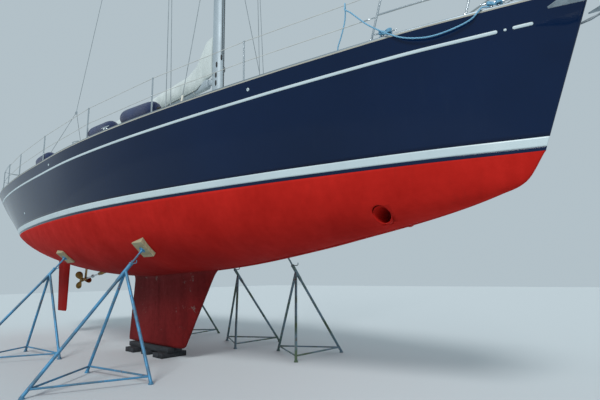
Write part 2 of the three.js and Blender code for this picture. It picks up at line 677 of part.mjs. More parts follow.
function hatchZ(hatch) {
  if (hatch.seat === 'deck') return deckZ(hatch.x, 0);
  const row = { rise: smooth(HOUSE_ROWS, 'rise', hatch.x), roof: smooth(HOUSE_ROWS, 'roof', hatch.x) };
  return deckEdge(hatch.x).z + row.rise + 0.07 * row.roof;
}

function hatchFrame(hatch) {
  const half = hatch.size / 2;
  const z = hatchZ(hatch);
  const rim = box(hatch.x - half, hatch.x + half, -half, half, z - 60, z + 22)
    .subtract(hatch.seat === 'deck' ? overDeck : houseInner);
  const open = half - 35;
  return rim.subtract(box(hatch.x - open, hatch.x + open, -open, open, z - 200, z + 60));
}

function hatchHole(hatch) {
  const half = hatch.size / 2 - 35;
  return box(hatch.x - half, hatch.x + half, -half, half, hatchZ(hatch) - 200, hatchZ(hatch) + 60);
}

function house() {
  const shell = houseOuter.subtract(houseInner).subtract(windowSpace(0)).subtract(companionSlot)
    .subtract(companionDoor).subtract(hatchHole(HATCHES[1]));
  const roofZ = hatchZ({ x: -900, seat: 'house' });
  const slides = [1, -1].map((side) => {
    const y = [side * (COMPANION.half + 2), side * (COMPANION.half + 14)].sort((a, b) => a - b);
    return box(COMPANION.back, COMPANION.front + COMPANION.travel + 40, y[0], y[1], roofZ - 70,
        roofZ + 22 - GAP);
  });
  return unite([shell, hatchFrame(HATCHES[1]), ...slides.map((slide) => slide.subtract(houseInner))]);
}

function windowPane(side) {
  const half = side > 0 ? box(-3000, 5000, 0, 3000, 3000, 5000) : box(-3000, 5000, -3000, 0, 3000, 5000);
  return houseOuter.subtract(houseInner).intersect(windowSpace(GAP)).intersect(half);
}

function seaHood() {
  const roofZ = hatchZ({ x: -900, seat: 'house' });
  const outer = box(COMPANION.front, COMPANION.front + COMPANION.travel + 90, -COMPANION.half - 60,
      COMPANION.half + 60,
    roofZ - 70, roofZ + 72);
  const inner = box(COMPANION.front - 10, COMPANION.front + COMPANION.travel + 60, -COMPANION.half - 25,
    COMPANION.half + 25, roofZ - 80, roofZ + 56);
  return outer.subtract(inner).subtract(houseOuter.translate([0, 0, GAP]));
}

function companionHatch() {
  const roofZ = hatchZ({ x: -900, seat: 'house' });
  const c = COMPANION;
  const lid = box(c.back - 25, c.front + 40, -c.half - 15, c.half + 15, roofZ + 22,
      roofZ + 22 + c.thick - 6);
  const grip = box(c.back - 25, c.back + 5, -120, 120, roofZ + 40, roofZ + 66);
  return lid.add(grip);
}

function washboard() {
  return onDeck(box(HOUSE.back - 22, HOUSE.back - GAP, -COMPANION.half + 10, COMPANION.half - 10, 3800,
      4190));
}

function hatchLid(hatch) {
  const half = hatch.size / 2 + 6;
  const z = hatchZ(hatch) + 22 + GAP;
  const lid = box(hatch.x - half, hatch.x + half, -half, half, z, z + 26);
  const handle = box(hatch.x - half + 30, hatch.x - half + 90, -14, 14, z + 26, z + 44);
  return lid.add(handle);
}

function cabinLining() {
  const c = CABIN;
  const deckUnder = (x) => deckEdge(x).z - 20;
  const low = c.floorZ + GAP;
  const outer = box(c.back + GAP, c.front - GAP, -c.half + GAP, c.half - GAP, low, deckUnder(0) - 20);
  return outer.subtract(box(c.back + c.lining, c.front - c.lining, -c.half + c.lining, c.half - c.lining,
    low + c.lining, 4500));
}

// The lining of the space under the fore hatch
function forecabinLining() {
  const c = FORECABIN;
  const outer = box(c.back + GAP, c.front - GAP, -c.half + GAP, c.half - GAP, c.floorZ + GAP, 4400);
  return outer.intersect(hullWhole.translate([0, 0, -4])).subtract(box(c.back + c.lining,
      c.front - c.lining,
    -c.half + c.lining, c.half - c.lining, c.floorZ + c.lining, 4400));
}

// Cockpit: seats, foot well and coaming as one moulding, with the lockers' mouths in the seats

function cockpitMoulding() {
  const c = COCKPIT;
  const tray = box(c.back - c.wall, c.front + c.wall, -c.half - c.wall, c.half + c.wall,
    c.seatZ - c.seatThick, 3880);
  const well = box(c.wellBack - c.wall, c.wellFront + c.wall, -c.wellHalf - c.wall, c.wellHalf + c.wall,
    c.soleZ - c.wall, c.seatZ);
  const ring = (grow, z0, z1) => {
    const shape = new THREE.Shape([[c.front - 40, c.half + grow], [c.back - grow, c.half - 140 + grow],
      [c.back - grow, -c.half + 140 - grow], [c.front - 40, -c.half - grow]]
      .map(([x, y]) => new THREE.Vector2(x, y)));
    const geometry = new THREE.ExtrudeGeometry(shape, { depth: z1 - z0, bevelEnabled: false });
    geometry.translate(0, 0, z0);
    return toSolid(geometry);
  };
  const coaming = ring(c.coamingWidth, 3700, COAMING_TOP)
    .subtract(overDeck);
  const open = box(c.back, c.front, -c.half + 30, c.half - 30, c.seatZ, 5000).intersect(ring(-30, 3000,
      5000))
    .add(box(c.front - 60, c.front + 200, -c.half + 30, c.half - 30, 3775, 5000));
  const foot = box(c.wellBack, c.wellFront, -c.wellHalf, c.wellHalf, c.soleZ, 5000);
  return unite([tray, well, coaming]).subtract(open).subtract(foot)
    .subtract(lockerBox(1, 0, 5000)).subtract(lockerBox(-1, 0, 5000));
}

// An open box hangs under the seat as its locker.
function lockerBin(side) {
  return lockerBox(side, LOCKER.wall, COCKPIT.seatZ - COCKPIT.seatThick - GAP).subtract(lockerBox(side,
      0, 5000));
}

// A lid lies on the seat over its locker, hinged along its outer edge.
function lockerLid(side) {
  const l = LOCKER;
  const y = [side * (l.inner - l.overhang), side * (l.outer + l.overhang / 2)].sort((a, b) => a - b);
  const z = COCKPIT.seatZ + GAP;
  return box(l.back - l.overhang, l.front + l.overhang, y[0], y[1], z, z + l.thick);
}

function pedestal() {
  const p = PEDESTAL;
  const post = turned([[0, 0], [120, 0], [112, 26], [p.radius, 60], [p.radius - 12,
      p.topZ - COCKPIT.soleZ - 160],
    [100, p.topZ - COCKPIT.soleZ - 90], [100, p.topZ - COCKPIT.soleZ - 20], [60,
        p.topZ - COCKPIT.soleZ + 50],
    [0, p.topZ - COCKPIT.soleZ + 70]], 20, [p.x, 0, COCKPIT.soleZ + GAP]);
  const guard = pipe([[p.x + 150, -150, COCKPIT.soleZ + GAP], [p.x + 150, -150, 4150], [p.x + 110, -110,
      4230],
    [p.x + 110, 110, 4230], [p.x + 150, 150, 4150], [p.x + 150, 150, COCKPIT.soleZ + GAP]], 13);
  const arm = bar([p.x + 150, -150, 3950], [p.x + 150, 150, 3950], 12);
  const axle = bar([p.x, 0, WHEEL.z], [WHEEL.x + 49 + GAP, 0, WHEEL.z], 28, 16);
  const link = bar([p.x, 0, 3950], [p.x + 150, 0, 3950], 12);
  return unite([post, guard, arm, axle, link]);
}

function steeringWheel() {
  const w = WHEEL;
  const rim = new THREE.TorusGeometry(w.radius, w.rim, 6, 24);
  rim.rotateY(Math.PI / 2);
  rim.translate(w.x, 0, w.z);
  const parts = [toSolid(rim), bar([w.x + 49, 0, w.z], [w.x - 30, 0, w.z], w.hubRadius, 20)];
  for (let i = 0; i < w.spokes; i += 1) {
    const angle = (2 * Math.PI * i) / w.spokes;
    const [c, s] = [Math.cos(angle), Math.sin(angle)];
    parts.push(bar([w.x, 0, w.z], [w.x, w.radius * c, w.z + w.radius * s], 9));
  }
  return unite(parts);
}

// Sprayhood: a canvas hood over the companionway, open at the back
function sprayhoodShell() {
  const h = SPRAYHOOD;
  const rows = [
    { x: h.back, foot: h.half, top: h.topZ - 40, square: 0.5 },
    { x: h.back + 450, foot: h.half, top: h.topZ, square: 0.5 },
    { x: h.back + 1000, foot: h.half - 30, top: h.topZ - 60, square: 0.52 },
    { x: h.front - 380, foot: h.half - 90, top: h.topZ - 260, square: 0.55 },
    { x: h.front, foot: h.half - 190, top: 4330, square: 0.6 },
  ];
  const ringOf = (row, inset, shift) => {
    const low = Math.max(3785, row.x > HOUSE.back ? 4080 : 3990);
    const ring = [];
    const steps = 12;
    for (let i = 0; i <= steps; i += 1) {
      const angle = (Math.PI * i) / steps;
      const c = Math.cos(angle);
      const s = Math.sin(angle);
      const y = Math.sign(c) * Math.abs(c) ** row.square * (row.foot - inset);
      const z = low - (inset ? 60 : 0) + s ** 0.7 * (row.top - inset - low + (inset ? 60 : 0));
      ring.push([row.x + shift, y, z]);
    }
    return ring;
  };
  const outer = loft(rows.map((row) => ringOf(row, 0, 0)));
  const inner = loft(rows.map((row) => ringOf(row, h.wall, row.x === h.back ? -40 : -h.wall)));
  const roofGear = box(HOUSE.back - 200, HOUSE.front, -COMPANION.half - 64, COMPANION.half + 64, 3900,
      4322);
  return outer.subtract(inner).subtract(houseOuter.translate([0, 0, GAP])).subtract(roofGear)
    .subtract(box(-9000, 9000, -3000, 3000, 3000, COAMING_TOP + GAP)
      .subtract(box(HOUSE.back, 9000, -3000, 3000, 3000, 5000)));
}

// Spars and rigging

function ovalRing(cx, cy, halfX, halfY, z, sides = 16) {
  return Array.from({ length: sides }, (_, i) => {
    const angle = (2 * Math.PI * i) / sides;
    return [cx + halfX * Math.cos(angle), cy + halfY * Math.sin(angle), z];
  });
}

const mastFootZ = hatchZ({ x: MAST.x, seat: 'house' }) - 30;

function mast() {
  const m = MAST;
  const tube = loft([[mastFootZ, 1], [17000, 1], [m.topZ, m.wallTop]]
    .map(([z, k]) => ovalRing(m.x, 0, m.halfLength * k, m.halfWidth * k, z)));
  const parts = [tube];
  parts.push(loft([ovalRing(m.x, 0, m.halfLength + 45, m.halfWidth + 45, mastFootZ),
    ovalRing(m.x, 0, m.halfLength + 30, m.halfWidth + 30, mastFootZ + 65)]));
  for (const s of SPREADERS) {
    for (const side of [1, -1]) {
      parts.push(loft([[0, 46, 17], [0.55, 40, 14], [1, 24, 11]].map(([t, a,
          b]) => Array.from({ length: 8 }, (_, i) => {
        const angle = (2 * Math.PI * i) / 8;
        return [m.x - s.sweep * t + a * Math.cos(angle), side * (40 + (s.half - 40) * t),
          s.z + 40 * t + b * Math.sin(angle)];
      }))));
    }
  }
  parts.push(box(FORESTAY.headX + 40, m.x, -14, 14, FORESTAY.headZ + 40, FORESTAY.headZ + 130));
  parts.push(box(BACKSTAY.headX - 30, m.x + 250, -30, 30, m.topZ - 60, m.topZ + 10));
  parts.push(box(m.x, m.x + 190, -14, 14, FORESTAY.headZ - 20, FORESTAY.headZ + 90));
  for (const z of [BOOM.z - 62, BOOM.z + 54]) {
    parts.push(bar([BOOM.axisX, 0, z], [BOOM.axisX, 0, z + 12], 26, 16));
    parts.push(box(BOOM.axisX, m.x - m.halfLength + 20, -22, 22, z, z + 12));
  }
  return unite(parts).subtract(houseOuter.translate([0, 0, GAP]));
}

const mastSolid = mast();

function boom() {
  const b = BOOM;
  const ring = (x, k) => Array.from({ length: 16 }, (_, i) => {
    const angle = (2 * Math.PI * i) / 16;
    const [c, s] = [Math.cos(angle), Math.sin(angle)];
    return [x, Math.sign(c) * Math.abs(c) ** 0.7 * b.halfWidth * k,
        b.z + Math.sign(s) * Math.abs(s) ** 0.7 * b.halfHeight * k];
  });
  const spar = loft([ring(b.front - 30, 0.8), ring(b.front - 60, 1), ring(b.back + 40, 1), ring(b.back,
      0.85)]);
  const tongue = bar([b.axisX, 0, b.z - 49.6], [b.axisX, 0, b.z + 53.6], 19, 16)
    .add(box(b.front - 80, b.axisX, -15, 15, b.z - 46, b.z + 50));
  const vang = pipe([[b.axisX - 70, 0, 4390], [b.axisX - 1250, 0, 4990]], 30, 12)
    .add(pipe([[b.axisX - 40, 0, 4375], [b.axisX - 700, 0, 4711]], 38, 12));
  return unite([spar, tongue, vang]);
}

function sailCover() {
  const rings = COVER_ROWS.map(({ x, half, low, high }) => {
    const ring = [];
    const steps = 16;
    for (let i = 0; i < steps; i += 1) {
      const angle = (2 * Math.PI * i) / steps - Math.PI / 2;
      const s = Math.sin(angle);
      const c = Math.cos(angle);
      const width = half * (s > 0 ? 1 - 0.35 * s * s : 1);
      ring.push([x, Math.sign(c) * Math.abs(c) ** 0.75 * width,
          (low + high) / 2 + (Math.sign(s) * Math.abs(s) ** 0.9
        * (high - low)) / 2]);
    }
    return ring;
  });
  const b = BOOM;
  const spar = box(b.back - 100, 1900, -b.halfWidth - 0.5, b.halfWidth + 0.5, b.z - b.halfHeight - 60,
    b.z + b.halfHeight + 0.5);
  return loft(rings).subtract(spar);
}

function furledGenoa() {
  const f = FORESTAY;
  const at = (t) => [f.footX + (f.headX + 190 - f.footX) * t, 0, f.footZ + (f.headZ - f.footZ) * t];
  const sail = loft([[0.045, 0.35], [0.07, 0.85], [0.12, 1], [0.35, 0.95], [0.7, 0.68], [0.93, 0.34],
      [0.95, 0.16]]
    .map(([t, k]) => {
      const [x, , z] = at(t);
      return ovalRing(x, 0, f.sailRadius * k, f.sailRadius * k, z, 12);
    }));
  const foil = bar(at(0.012), at(0.985), 17, 7);
  const drum = bar(at(0.02), at(0.0215), f.drumRadius, 16).add(bar(at(0.028), at(0.0295), f.drumRadius, 16))
    .add(bar(at(0.0205), at(0.0286), f.drumRadius * 0.55, 12));
  const fork = bar(at(-0.006), at(0.016), 11, 5);
  return onDeck(unite([sail, foil, drum, fork]));
}

function backstay() {
  const b = BACKSTAY;
  const legs = [1, -1].map((side) => bar([b.footX, side * b.footHalf, deckZ(b.footX, b.footHalf) + GAP],
    [b.splitX, 0, b.splitZ], WIRE, 6));
  const screws = [1, -1].map((side) => {
    const foot = new THREE.Vector3(b.footX, side * b.footHalf, deckZ(b.footX, b.footHalf) + GAP);
    const top = foot.clone().lerp(new THREE.Vector3(b.splitX, 0, b.splitZ), 0.16);
    return bar(foot.toArray(), top.toArray(), 16, 7);
  });
  const plate = box(b.splitX - 24, b.splitX + 26, -30, 30, b.splitZ - 45, b.splitZ + 45);
  const pads = [1, -1].map((side) => {
    const z = deckZ(b.footX, b.footHalf);
    return box(b.footX - 60, b.footX + 60, side * b.footHalf - 40, side * b.footHalf + 40, z - 12, z + 12);
  });
  const upper = bar([b.splitX, 0, b.splitZ], [b.headX - 20, 0, b.headZ + 15], WIRE, 6);
  const crane = box(b.headX - 34, b.headX + 12, -11, 11, b.headZ - 40, b.headZ + 40);
  return onDeck(unite([...legs, ...screws, ...pads, plate, upper, crane]))
    .subtract(box(b.headX - 60, b.headX + 900, -100, 100, MAST.topZ - 60 - GAP, MAST.topZ + 100));
}

function shrouds(side) {
  const f = SHROUD_FOOT;
  const z = deckZ(f.lowerX, f.half) + GAP;
  const y = side * f.half;
  const tips = SPREADERS.map((s) => [MAST.x - s.sweep, side * (s.half + 24), s.z + 40]);
  const cap = pipe([[f.capX, y, z], ...tips, [MAST.x - 10, side * 62, 20700]], WIRE, 6);
  const pair = pipe([[f.pairX, y, z], [tips[0][0] + 22, side * (SPREADERS[0].half + 24), tips[0][2]],
    [MAST.x + 12, side * 84, SPREADERS[1].z - 90]], WIRE, 6);
  const lower = bar([f.lowerX, y, z], [MAST.x + 30, side * 84, SPREADERS[0].z - 120], WIRE, 6);
  const plate = box(f.capX - 90, f.lowerX + 90, y - 32, y + 32, z - 30, z + 12);
  const screws = [[f.capX, tips[0]], [f.pairX, tips[0]], [f.lowerX, [MAST.x + 30, side * 84,
      SPREADERS[0].z - 120]]]
    .map(([x, head]) => {
      const foot = new THREE.Vector3(x, y, z);
      return bar(foot.toArray(), foot.clone().lerp(new THREE.Vector3(...head), 0.085).toArray(), 17, 7);
    });
  return onDeck(unite([cap, pair, lower, plate, ...screws])).subtract(mastSolid.translate([0, side * GAP,
      0]));
}

// Rails around the deck

function railFoot(x, side, inset = RAIL.inset) {
  const edge = deckEdge(x);
  const y = side * (edge.half - inset);
  return [x, y, deckZ(x, y) - 12];
}

function railPoint(x, side, height, forward = 0, inset = RAIL.inset) {
  const [px, y, z] = railFoot(x, side, inset);
  return [px + forward, y, z + 12 + height];
}

function guardrail(side) {
  const parts = [];
  for (const x of STANCHIONS) {
    parts.push(bar(railFoot(x, side), railPoint(x, side, RAIL.height), RAIL.radius));
    parts.push(bar(railFoot(x, side), railPoint(x, side, 45), 26, 8));
  }
  for (const height of [RAIL.height - 8, RAIL.lower]) {
    const line = [PULPIT.backX + (height > 400 ? 155 : 82), ...STANCHIONS, PUSHPIT.frontX];
    parts.push(pipe(line.map((x) => railPoint(x, side, height)), RAIL.wire, 6));
  }
  return onDeck(unite(parts)).subtract(pulpit().translate([-GAP, 0,
      0])).subtract(pushpit().translate([GAP, 0, 0]));
}

function pulpit() {
  const p = PULPIT;
  const top = (x, side) => railPoint(x, side, p.height, 0);
  const rail = pipe([...[5920, 6300, 6850, 7350].map((x) => top(x, 1)), [7700, 190, 4690], [p.frontX, 0,
      4700],
    [7700, -190, 4690], ...[7350, 6850, 6300, 5920].map((x) => top(x, -1))], 14);
  const parts = [rail];
  for (const side of [1, -1]) {
    parts.push(bar(railFoot(p.backX, side), top(5920, side), 14));
    parts.push(bar(railFoot(p.legX, side), top(6850, side), 14));
    parts.push(bar(railFoot(7200, side, 85), [7640, side * 186, 4687], 13));
    parts.push(pipe([railPoint(5840, side, p.lower), railPoint(6300, side, p.lower), railPoint(6775,
        side, p.lower),
      railPoint(7450, side, p.lower, 50, 20)], 11));
  }
  return onDeck(unite(parts));
}

function pushpit() {
  const p = PUSHPIT;
  const run = (height, radius) => pipe([...[p.frontX, -5500, p.backX].map((x) => railPoint(x, 1, height)),
    [-6290, 1180, 3850 + height], [-6290, -1180, 3850 + height],
    ...[p.backX, -5500, p.frontX].map((x) => railPoint(x, -1, height))], radius);
  const parts = [run(p.height, 14), run(p.lower, 11)];
  for (const side of [1, -1]) {
    for (const x of [p.frontX, p.backX]) parts.push(bar(railFoot(x, side), railPoint(x, side, p.height),
        14));
    parts.push(bar([-6250, side * 620, deckZ(-6250, 620) - 12], [-6290, side * 620, 3850 + p.height], 13));
  }
  return onDeck(unite(parts));
}

// Bow fitting and claw anchor

const ROLLER_Y = -98;
const stemZ = deckEdge(7700).z + TOE_RAIL.height - 1;

function bowRoller() {
  const cheeks = [1, -1].map((side) => {
    const shape = new THREE.Shape([[7300, 0], [7960, 0], [8010, 40], [7990, 95], [7900, 95], [7700, 40],
        [7300, 30]]
      .map(([x, z]) => new THREE.Vector2(x, z)));
    const geometry = new THREE.ExtrudeGeometry(shape, { depth: 8, bevelEnabled: false });
    geometry.rotateX(Math.PI / 2);
    geometry.translate(0, side * 62 + 4, stemZ);
    return toSolid(geometry);
  });
  const base = box(7300, 7960, -62, 62, stemZ, stemZ + 8);
  const roller = turned([[0, -56], [42, -56], [26, -20], [26, 20], [42, 56], [0, 56]], 16, [0, 0, 0])
    .rotate([90, 0, 0]).translate([7950, 0, stemZ + 52]);
  const pin = bar([7950, -66, stemZ + 52], [7950, 66, stemZ + 52], 9, 10);
  const stay = box(7440, 7560, -9, 9, stemZ, stemZ + 75);
  return unite([...cheeks, base, roller, pin, stay]).translate([0, ROLLER_Y, 0]);
}

// A blade along a path of points, each with its half width and half thickness, cupped towards a guide
// direction.
function blade(points, guide) {
  const path = points.map(([x, , y, z]) => new THREE.Vector3(x, y, z));
  const toward = new THREE.Vector3(...guide);
  return loft(path.map((p, i) => {
    const along = path[Math.min(i + 1, path.length - 1)].clone().sub(path[Math.max(i - 1, 0)]).normalize();
    const normal = toward.clone().addScaledVector(along, -toward.dot(along)).normalize();
    const across = along.clone().cross(normal);
    const [width, thick] = points[i][1];
    return [[-1, 0], [-0.55, 1], [0.55, 1], [1, 0], [0.55, -1], [-0.55, -1]]
      .map(([a, b]) => p.clone().addScaledVector(across, a * width).addScaledVector(normal,
          b * thick).toArray());
  }));
}

// The claw anchor lies in the bow roller, its three claws under the roller with their tips aft.
function anchor() {
  const top = stemZ + 99;
  const shank = loft([[7060, 4, 20, 0], [7900, 6, 26, 0.1], [8060, -10, 30, 0.5], [8150, -90, 30, 0.9],
      [8165, -230, 34, 1]]
    .map(([x, drop, tall, turn]) => [[-1, -1], [1, -1], [1, 1], [-1, 1]].map(([a,
        b]) => [x + b * tall * turn, a * 11,
      top + drop + b * tall * (1 - turn)])));
  const middle = blade([[8175, [50, 15], 0, top - 180], [8120, [70, 13], 0, top - 300], [8000, [85, 12],
      0, top - 385],
    [7850, [70, 10], 0, top - 425], [7700, [9, 6], 0, top - 440]], [0.4, 0, 1]);
  const wing = blade([[8160, [46, 15], 6, top - 190], [8060, [78, 13], 130, top - 266], [7900, [96, 11],
      222, top - 322],
    [7700, [84, 9], 268, top - 362], [7440, [10, 5], 278, top - 393]], [0.3, -0.7, 1]);
  return unite([shank, middle, wing, wing.mirror([0, 1, 0])]).translate([0, ROLLER_Y, 0]);
}

// Winches, windlass and ground gear

function winch(x, y, z, scale) {
  return turned([[0, 0], [78, 0], [78, 10], [60, 26], [50, 60], [52, 96], [66, 118], [66, 140], [30,
      150], [0, 150]]
    .map(([r, h]) => [r * scale, h * scale]), 16, [x, y, z]);
}

function windlass() {
  const z = deckZ(6500, 0) - 10;
  const body = loft([[6380, 60], [6400, 80], [6560, 80], [6600, 50]].map(([x, h]) => [[-75, 0], [75, 0],
      [60, h], [-60, h]]
    .map(([y, up]) => [x, y, z + up])));
  const drum = bar([6480, 60, z + 70], [6480, 150, z + 70], 48, 16);
  const gypsy = bar([6480, -60, z + 70], [6480, -118, z + 70], 55, 16);
  return onDeck(unite([body, drum, gypsy, bar([6480, -60, z + 70], [6480, 60, z + 70], 30, 12)]));
}

function keelBlocks() {
  const b = BLOCKS;
  const parts = [];
  for (const [x, length, width] of [[-520, 330, b.width], [560, 330, b.width]]) {
    parts.push(box(x - length / 2, x + length / 2, -width / 2, width / 2, 0, b.layer + 1));
  }
  parts.push(box(-b.length / 2, b.length / 2, -150, 150, b.layer, 2 * b.layer + 1.5));
  parts.push(box(-120, 120, -b.width / 2 + 40, b.width / 2 - 40, 0, b.layer + 1));
  return unite(parts);
}

// A tripod stand: a pad that fits the hull's bottom, a screw that leans out from it into the collar at
// the head of three legs, and bars between the legs' feet.
function boatStand({ x, across, side, drop, ahead, out, reach, turn }) {
  const s = STAND;
  const y = across * hullRow(x).turnHalf;
  const z = bottomZ(x, y);
  const slope = Math.atan2(bottomZ(x, y + 60) - bottomZ(x, y - 60), 120);
  const [run, rise] = [Math.cos(slope), Math.sin(slope)];
  const seat = (down, along) => [side * (y + rise * down + run * along), z - run * down + rise * along];
  const half = s.padWidth / 2;
  const pad = loft([-half, half].map((dx) => [[-14, -half], [-14, half], [s.padThick, half * 0.8],
    [s.padThick, -half * 0.8]].map(([down, along]) => [x + dx, ...seat(down, along)])))
    .subtract(hullWhole.translate([0, 0, -2 * GAP]));
  const [padY, padZ] = seat(s.padThick, 0);
  const onScrew = (down) => [x, padY + side * down * s.lean, padZ - down];
  const head = onScrew(drop);
  const parts = [pad, bar([x, ...seat(s.padThick / 2, 0)], head, s.screw),
    bar(onScrew(drop - 90), onScrew(drop + 160), 30)];
  const feet = [0, 1, 2].map((i) => {
    const angle = ((turn + 120 * i) * Math.PI) / 180;
    return [x + ahead + reach * Math.cos(angle), head[1] + side * out + reach * Math.sin(angle), 22];
  });
  const brace = feet.map((foot) => foot.map((value, k) => head[k] + (value - head[k]) * s.barShare));
  feet.forEach((foot, i) => {
    parts.push(bar(head, foot, s.tube, 5));
    parts.push(bar([foot[0], foot[1], 0], [foot[0], foot[1], 30], 42, 8));
    parts.push(bar(brace[i], brace[(i + 1) % 3], s.bar, 4));
  });
  return unite(parts);
}

function fender({ x, y, radius, length }) {
  const z = deckZ(x, y) + radius - 4;
  const half = length / 2;
  const yaw = Math.atan2(deckEdge(x + 300).half - deckEdge(x - 300).half, -600) * (180 / Math.PI);
  return onDeck(turned([[0, -half - 60], [22, -half - 58], [30, -half - 8], [radius * 0.7, -half + 16],
    [radius, -half + 90], [radius, half - 90], [radius * 0.7, half - 16], [30, half + 8], [22, half + 58],
    [0, half + 60]], 14, [0, 0, 0]).rotate([0, 90, 0]).rotate([0, 0, yaw]).translate([x, y, z]));
}

// The mooring rope runs from the bow cleat over the rail, hangs outside the topsides, comes back over
// the upper guard wire to the side deck, and runs forward to the next cleat.
function mooringRope() {
  const half = (x) => deckEdge(x).half;
  const beside = ([x, drop, out]) => [x, -(half(x) + out), deckEdge(x).z - drop];
  const onto = ([x, inset, lift]) => [x, -(half(x) - inset), deckZ(x, half(x) - inset) + lift];
  const onRail = ([x, inset, lift]) => [x, -(half(x) - inset), deckEdge(x).z + TOE_RAIL.height + lift];
  const r = ROPE.radius;
  const lying = r + 4.6;
  const start = [[6953.8, 25, 12], [6918, 18, 14]].map(onRail);
  const hanging = [[6880, -50, 8], [6842, -4, 18], [6800, 40, 20], [6746, 68, 20], [6637, 100, 20],
    [6509, 122, 20], [6387, 125, 20], [6273, 104, 20], [6147, 60, 20], [6019, -18, 20], [5897, -113, 20],
    [5781, -218, 20], [5668, -349, 20], [5590, -440, 16], [5535, -490, 10]].map(beside);
  const overWire = [[5514, 28, -60], [5504, 45, -28], [5494, 63, -7.5], [5480, 87, 0], [5466, 111, -7.5],
    [5456, 129, -28], [5450, 138, -62]].map(([x, inset, drop]) => onto([x, inset, RAIL.height + 8 + drop]));
  const deck = [[5438, 142, 420], [5385, 148, 240], [5336, 157, 120], [5334, 161, 72], [5352, 165, 30],
    [5394, 170, lying], [5450, 173, lying], [5560, 162, lying], [5710, 126, lying],
    [5800, 102, lying + 4]].map(onto);
  const end = [[5862, 56, 14], [5898, 32, 13], [5925, 25, 12]].map(onRail);
  const points = [...start, ...hanging, ...overWire, ...deck, ...end];
  const route = new THREE.CatmullRomCurve3(points.map((p) => new THREE.Vector3(...p)), false,
      'centripetal');
  // The tube's steps follow the points, so they are short where the rope bends.
  route.getPointAt = (share, target) => route.getPoint(share, target);
  route.getTangentAt = (share, target) => route.getTangent(share, target);
  const section = new THREE.Shape(Array.from({ length: 8 }, (_, i) => new THREE.Vector2(
    r * Math.cos((i * Math.PI) / 4), r * Math.sin((i * Math.PI) / 4))));
  const geometry = new THREE.ExtrudeGeometry(section, { steps: 2 * (points.length - 1), bevelEnabled: false,
      extrudePath: route });
  return toSolid(geometry);
}

const yacht = new THREE.Group();

function place(name, solid, colour, roughness, metalness, slack = 0.05) {
  const mesh = new THREE.Mesh(fromSolid(solid.simplify(slack)), material(colour, roughness, metalness));
  mesh.name = name;
  yacht.add(mesh);
}

const C = COLOURS;
place('hull_bottom', hullBottom(), C.red, 0.8);
place('boot_line', hullBand(WATERLINE_Z + GAP / 2, STRIPE_LOW_Z - GAP / 2), C.navy, 0.3);
place('boot_stripe', hullBand(STRIPE_LOW_Z + GAP / 2, STRIPE_HIGH_Z - GAP / 2), C.white, 0.4);
place('hull_topsides', topsides(), C.navy, 0.2);
place('cove_stripe_port', coveStripe(1), C.white, 0.4);
place('cove_stripe_starboard', coveStripe(-1), C.white, 0.4);
place('toe_rail', toeRail(), C.rail, 0.4, 0.8);
place('deck', deckSolid(), C.deck, 0.8);
place('deckhouse', house(), C.house, 0.5);
place('window_port', windowPane(1), C.glass, 0.1);
place('window_starboard', windowPane(-1), C.glass, 0.1);
place('cabin_lining', cabinLining(), C.wood, 0.6);
place('forecabin_lining', forecabinLining(), C.wood, 0.6);
place('cockpit', cockpitMoulding(), C.house, 0.5, 0, 0.001);
place('sea_hood', seaHood(), C.house, 0.5);
place('companion_hatch', companionHatch(), C.wood, 0.5);
place('washboard', washboard(), C.wood, 0.5);
place('fore_hatch_frame', hatchFrame(HATCHES[0]), C.alloy, 0.4, 0.8);
place('fore_hatch_lid', hatchLid(HATCHES[0]), C.glass, 0.2);
place('saloon_hatch_lid', hatchLid(HATCHES[1]), C.glass, 0.2);
place('locker_bin_port', lockerBin(1), C.house, 0.6);
place('locker_bin_starboard', lockerBin(-1), C.house, 0.6);
place('locker_lid_port', lockerLid(1), C.house, 0.5);
place('locker_lid_starboard', lockerLid(-1), C.house, 0.5);
place('steering_pedestal', pedestal(), C.house, 0.4);
place('steering_wheel', steeringWheel(), C.steel, 0.3, 1);
place('sprayhood', sprayhoodShell(), C.cream, 0.9);
place('fin_keel', finKeel(), C.keelRed, 0.9);
place('keel_blocks', keelBlocks(), C.timber, 0.9);
for (const stand of STANDS) place(stand.name, boatStand(stand), C.stand, 0.6, 0.5);
place('rudder', rudderBlade(), C.red, 0.8);
place('stern_tube', sternTube(), C.bronze, 0.5, 0.9);
place('shaft_bracket', shaftBracket(), C.bronze, 0.5, 0.9);
place('propeller_shaft', propellerShaft(), C.steel, 0.3, 1);
place('propeller', propeller(), C.bronze, 0.4, 1);
place('mast', mastSolid, C.alloy, 0.4, 0.8);
place('boom', boom(), C.alloy, 0.4, 0.8);
place('sail_cover', sailCover(), C.cream, 0.9);
place('furled_genoa', furledGenoa(), C.sail, 0.8);
place('backstay', backstay(), C.steel, 0.3, 1);
place('shrouds_port', shrouds(1), C.steel, 0.3, 1);
place('shrouds_starboard', shrouds(-1), C.steel, 0.3, 1);
place('pulpit', pulpit(), C.steel, 0.2, 1);
place('pushpit', pushpit(), C.steel, 0.2, 1);
place('guardrail_port', guardrail(1), C.steel, 0.2, 1);
place('guardrail_starboard', guardrail(-1), C.steel, 0.2, 1);
place('bow_roller', bowRoller(), C.steel, 0.3, 1);
place('anchor', anchor(), C.galvanised, 0.7, 0.6);
place('windlass', windlass(), C.steel, 0.4, 0.9);
place('winch_port', winch(-2350, 1080, COAMING_TOP + GAP, 1.15), C.steel, 0.3, 1);
place('winch_starboard', winch(-2350, -1080, COAMING_TOP + GAP, 1.15), C.steel, 0.3, 1);
for (const one of FENDERS) place(one.name, fender(one), C.fender, 0.8);
place('mooring_rope', mooringRope(), C.blueRope, 0.9);

export default yacht;
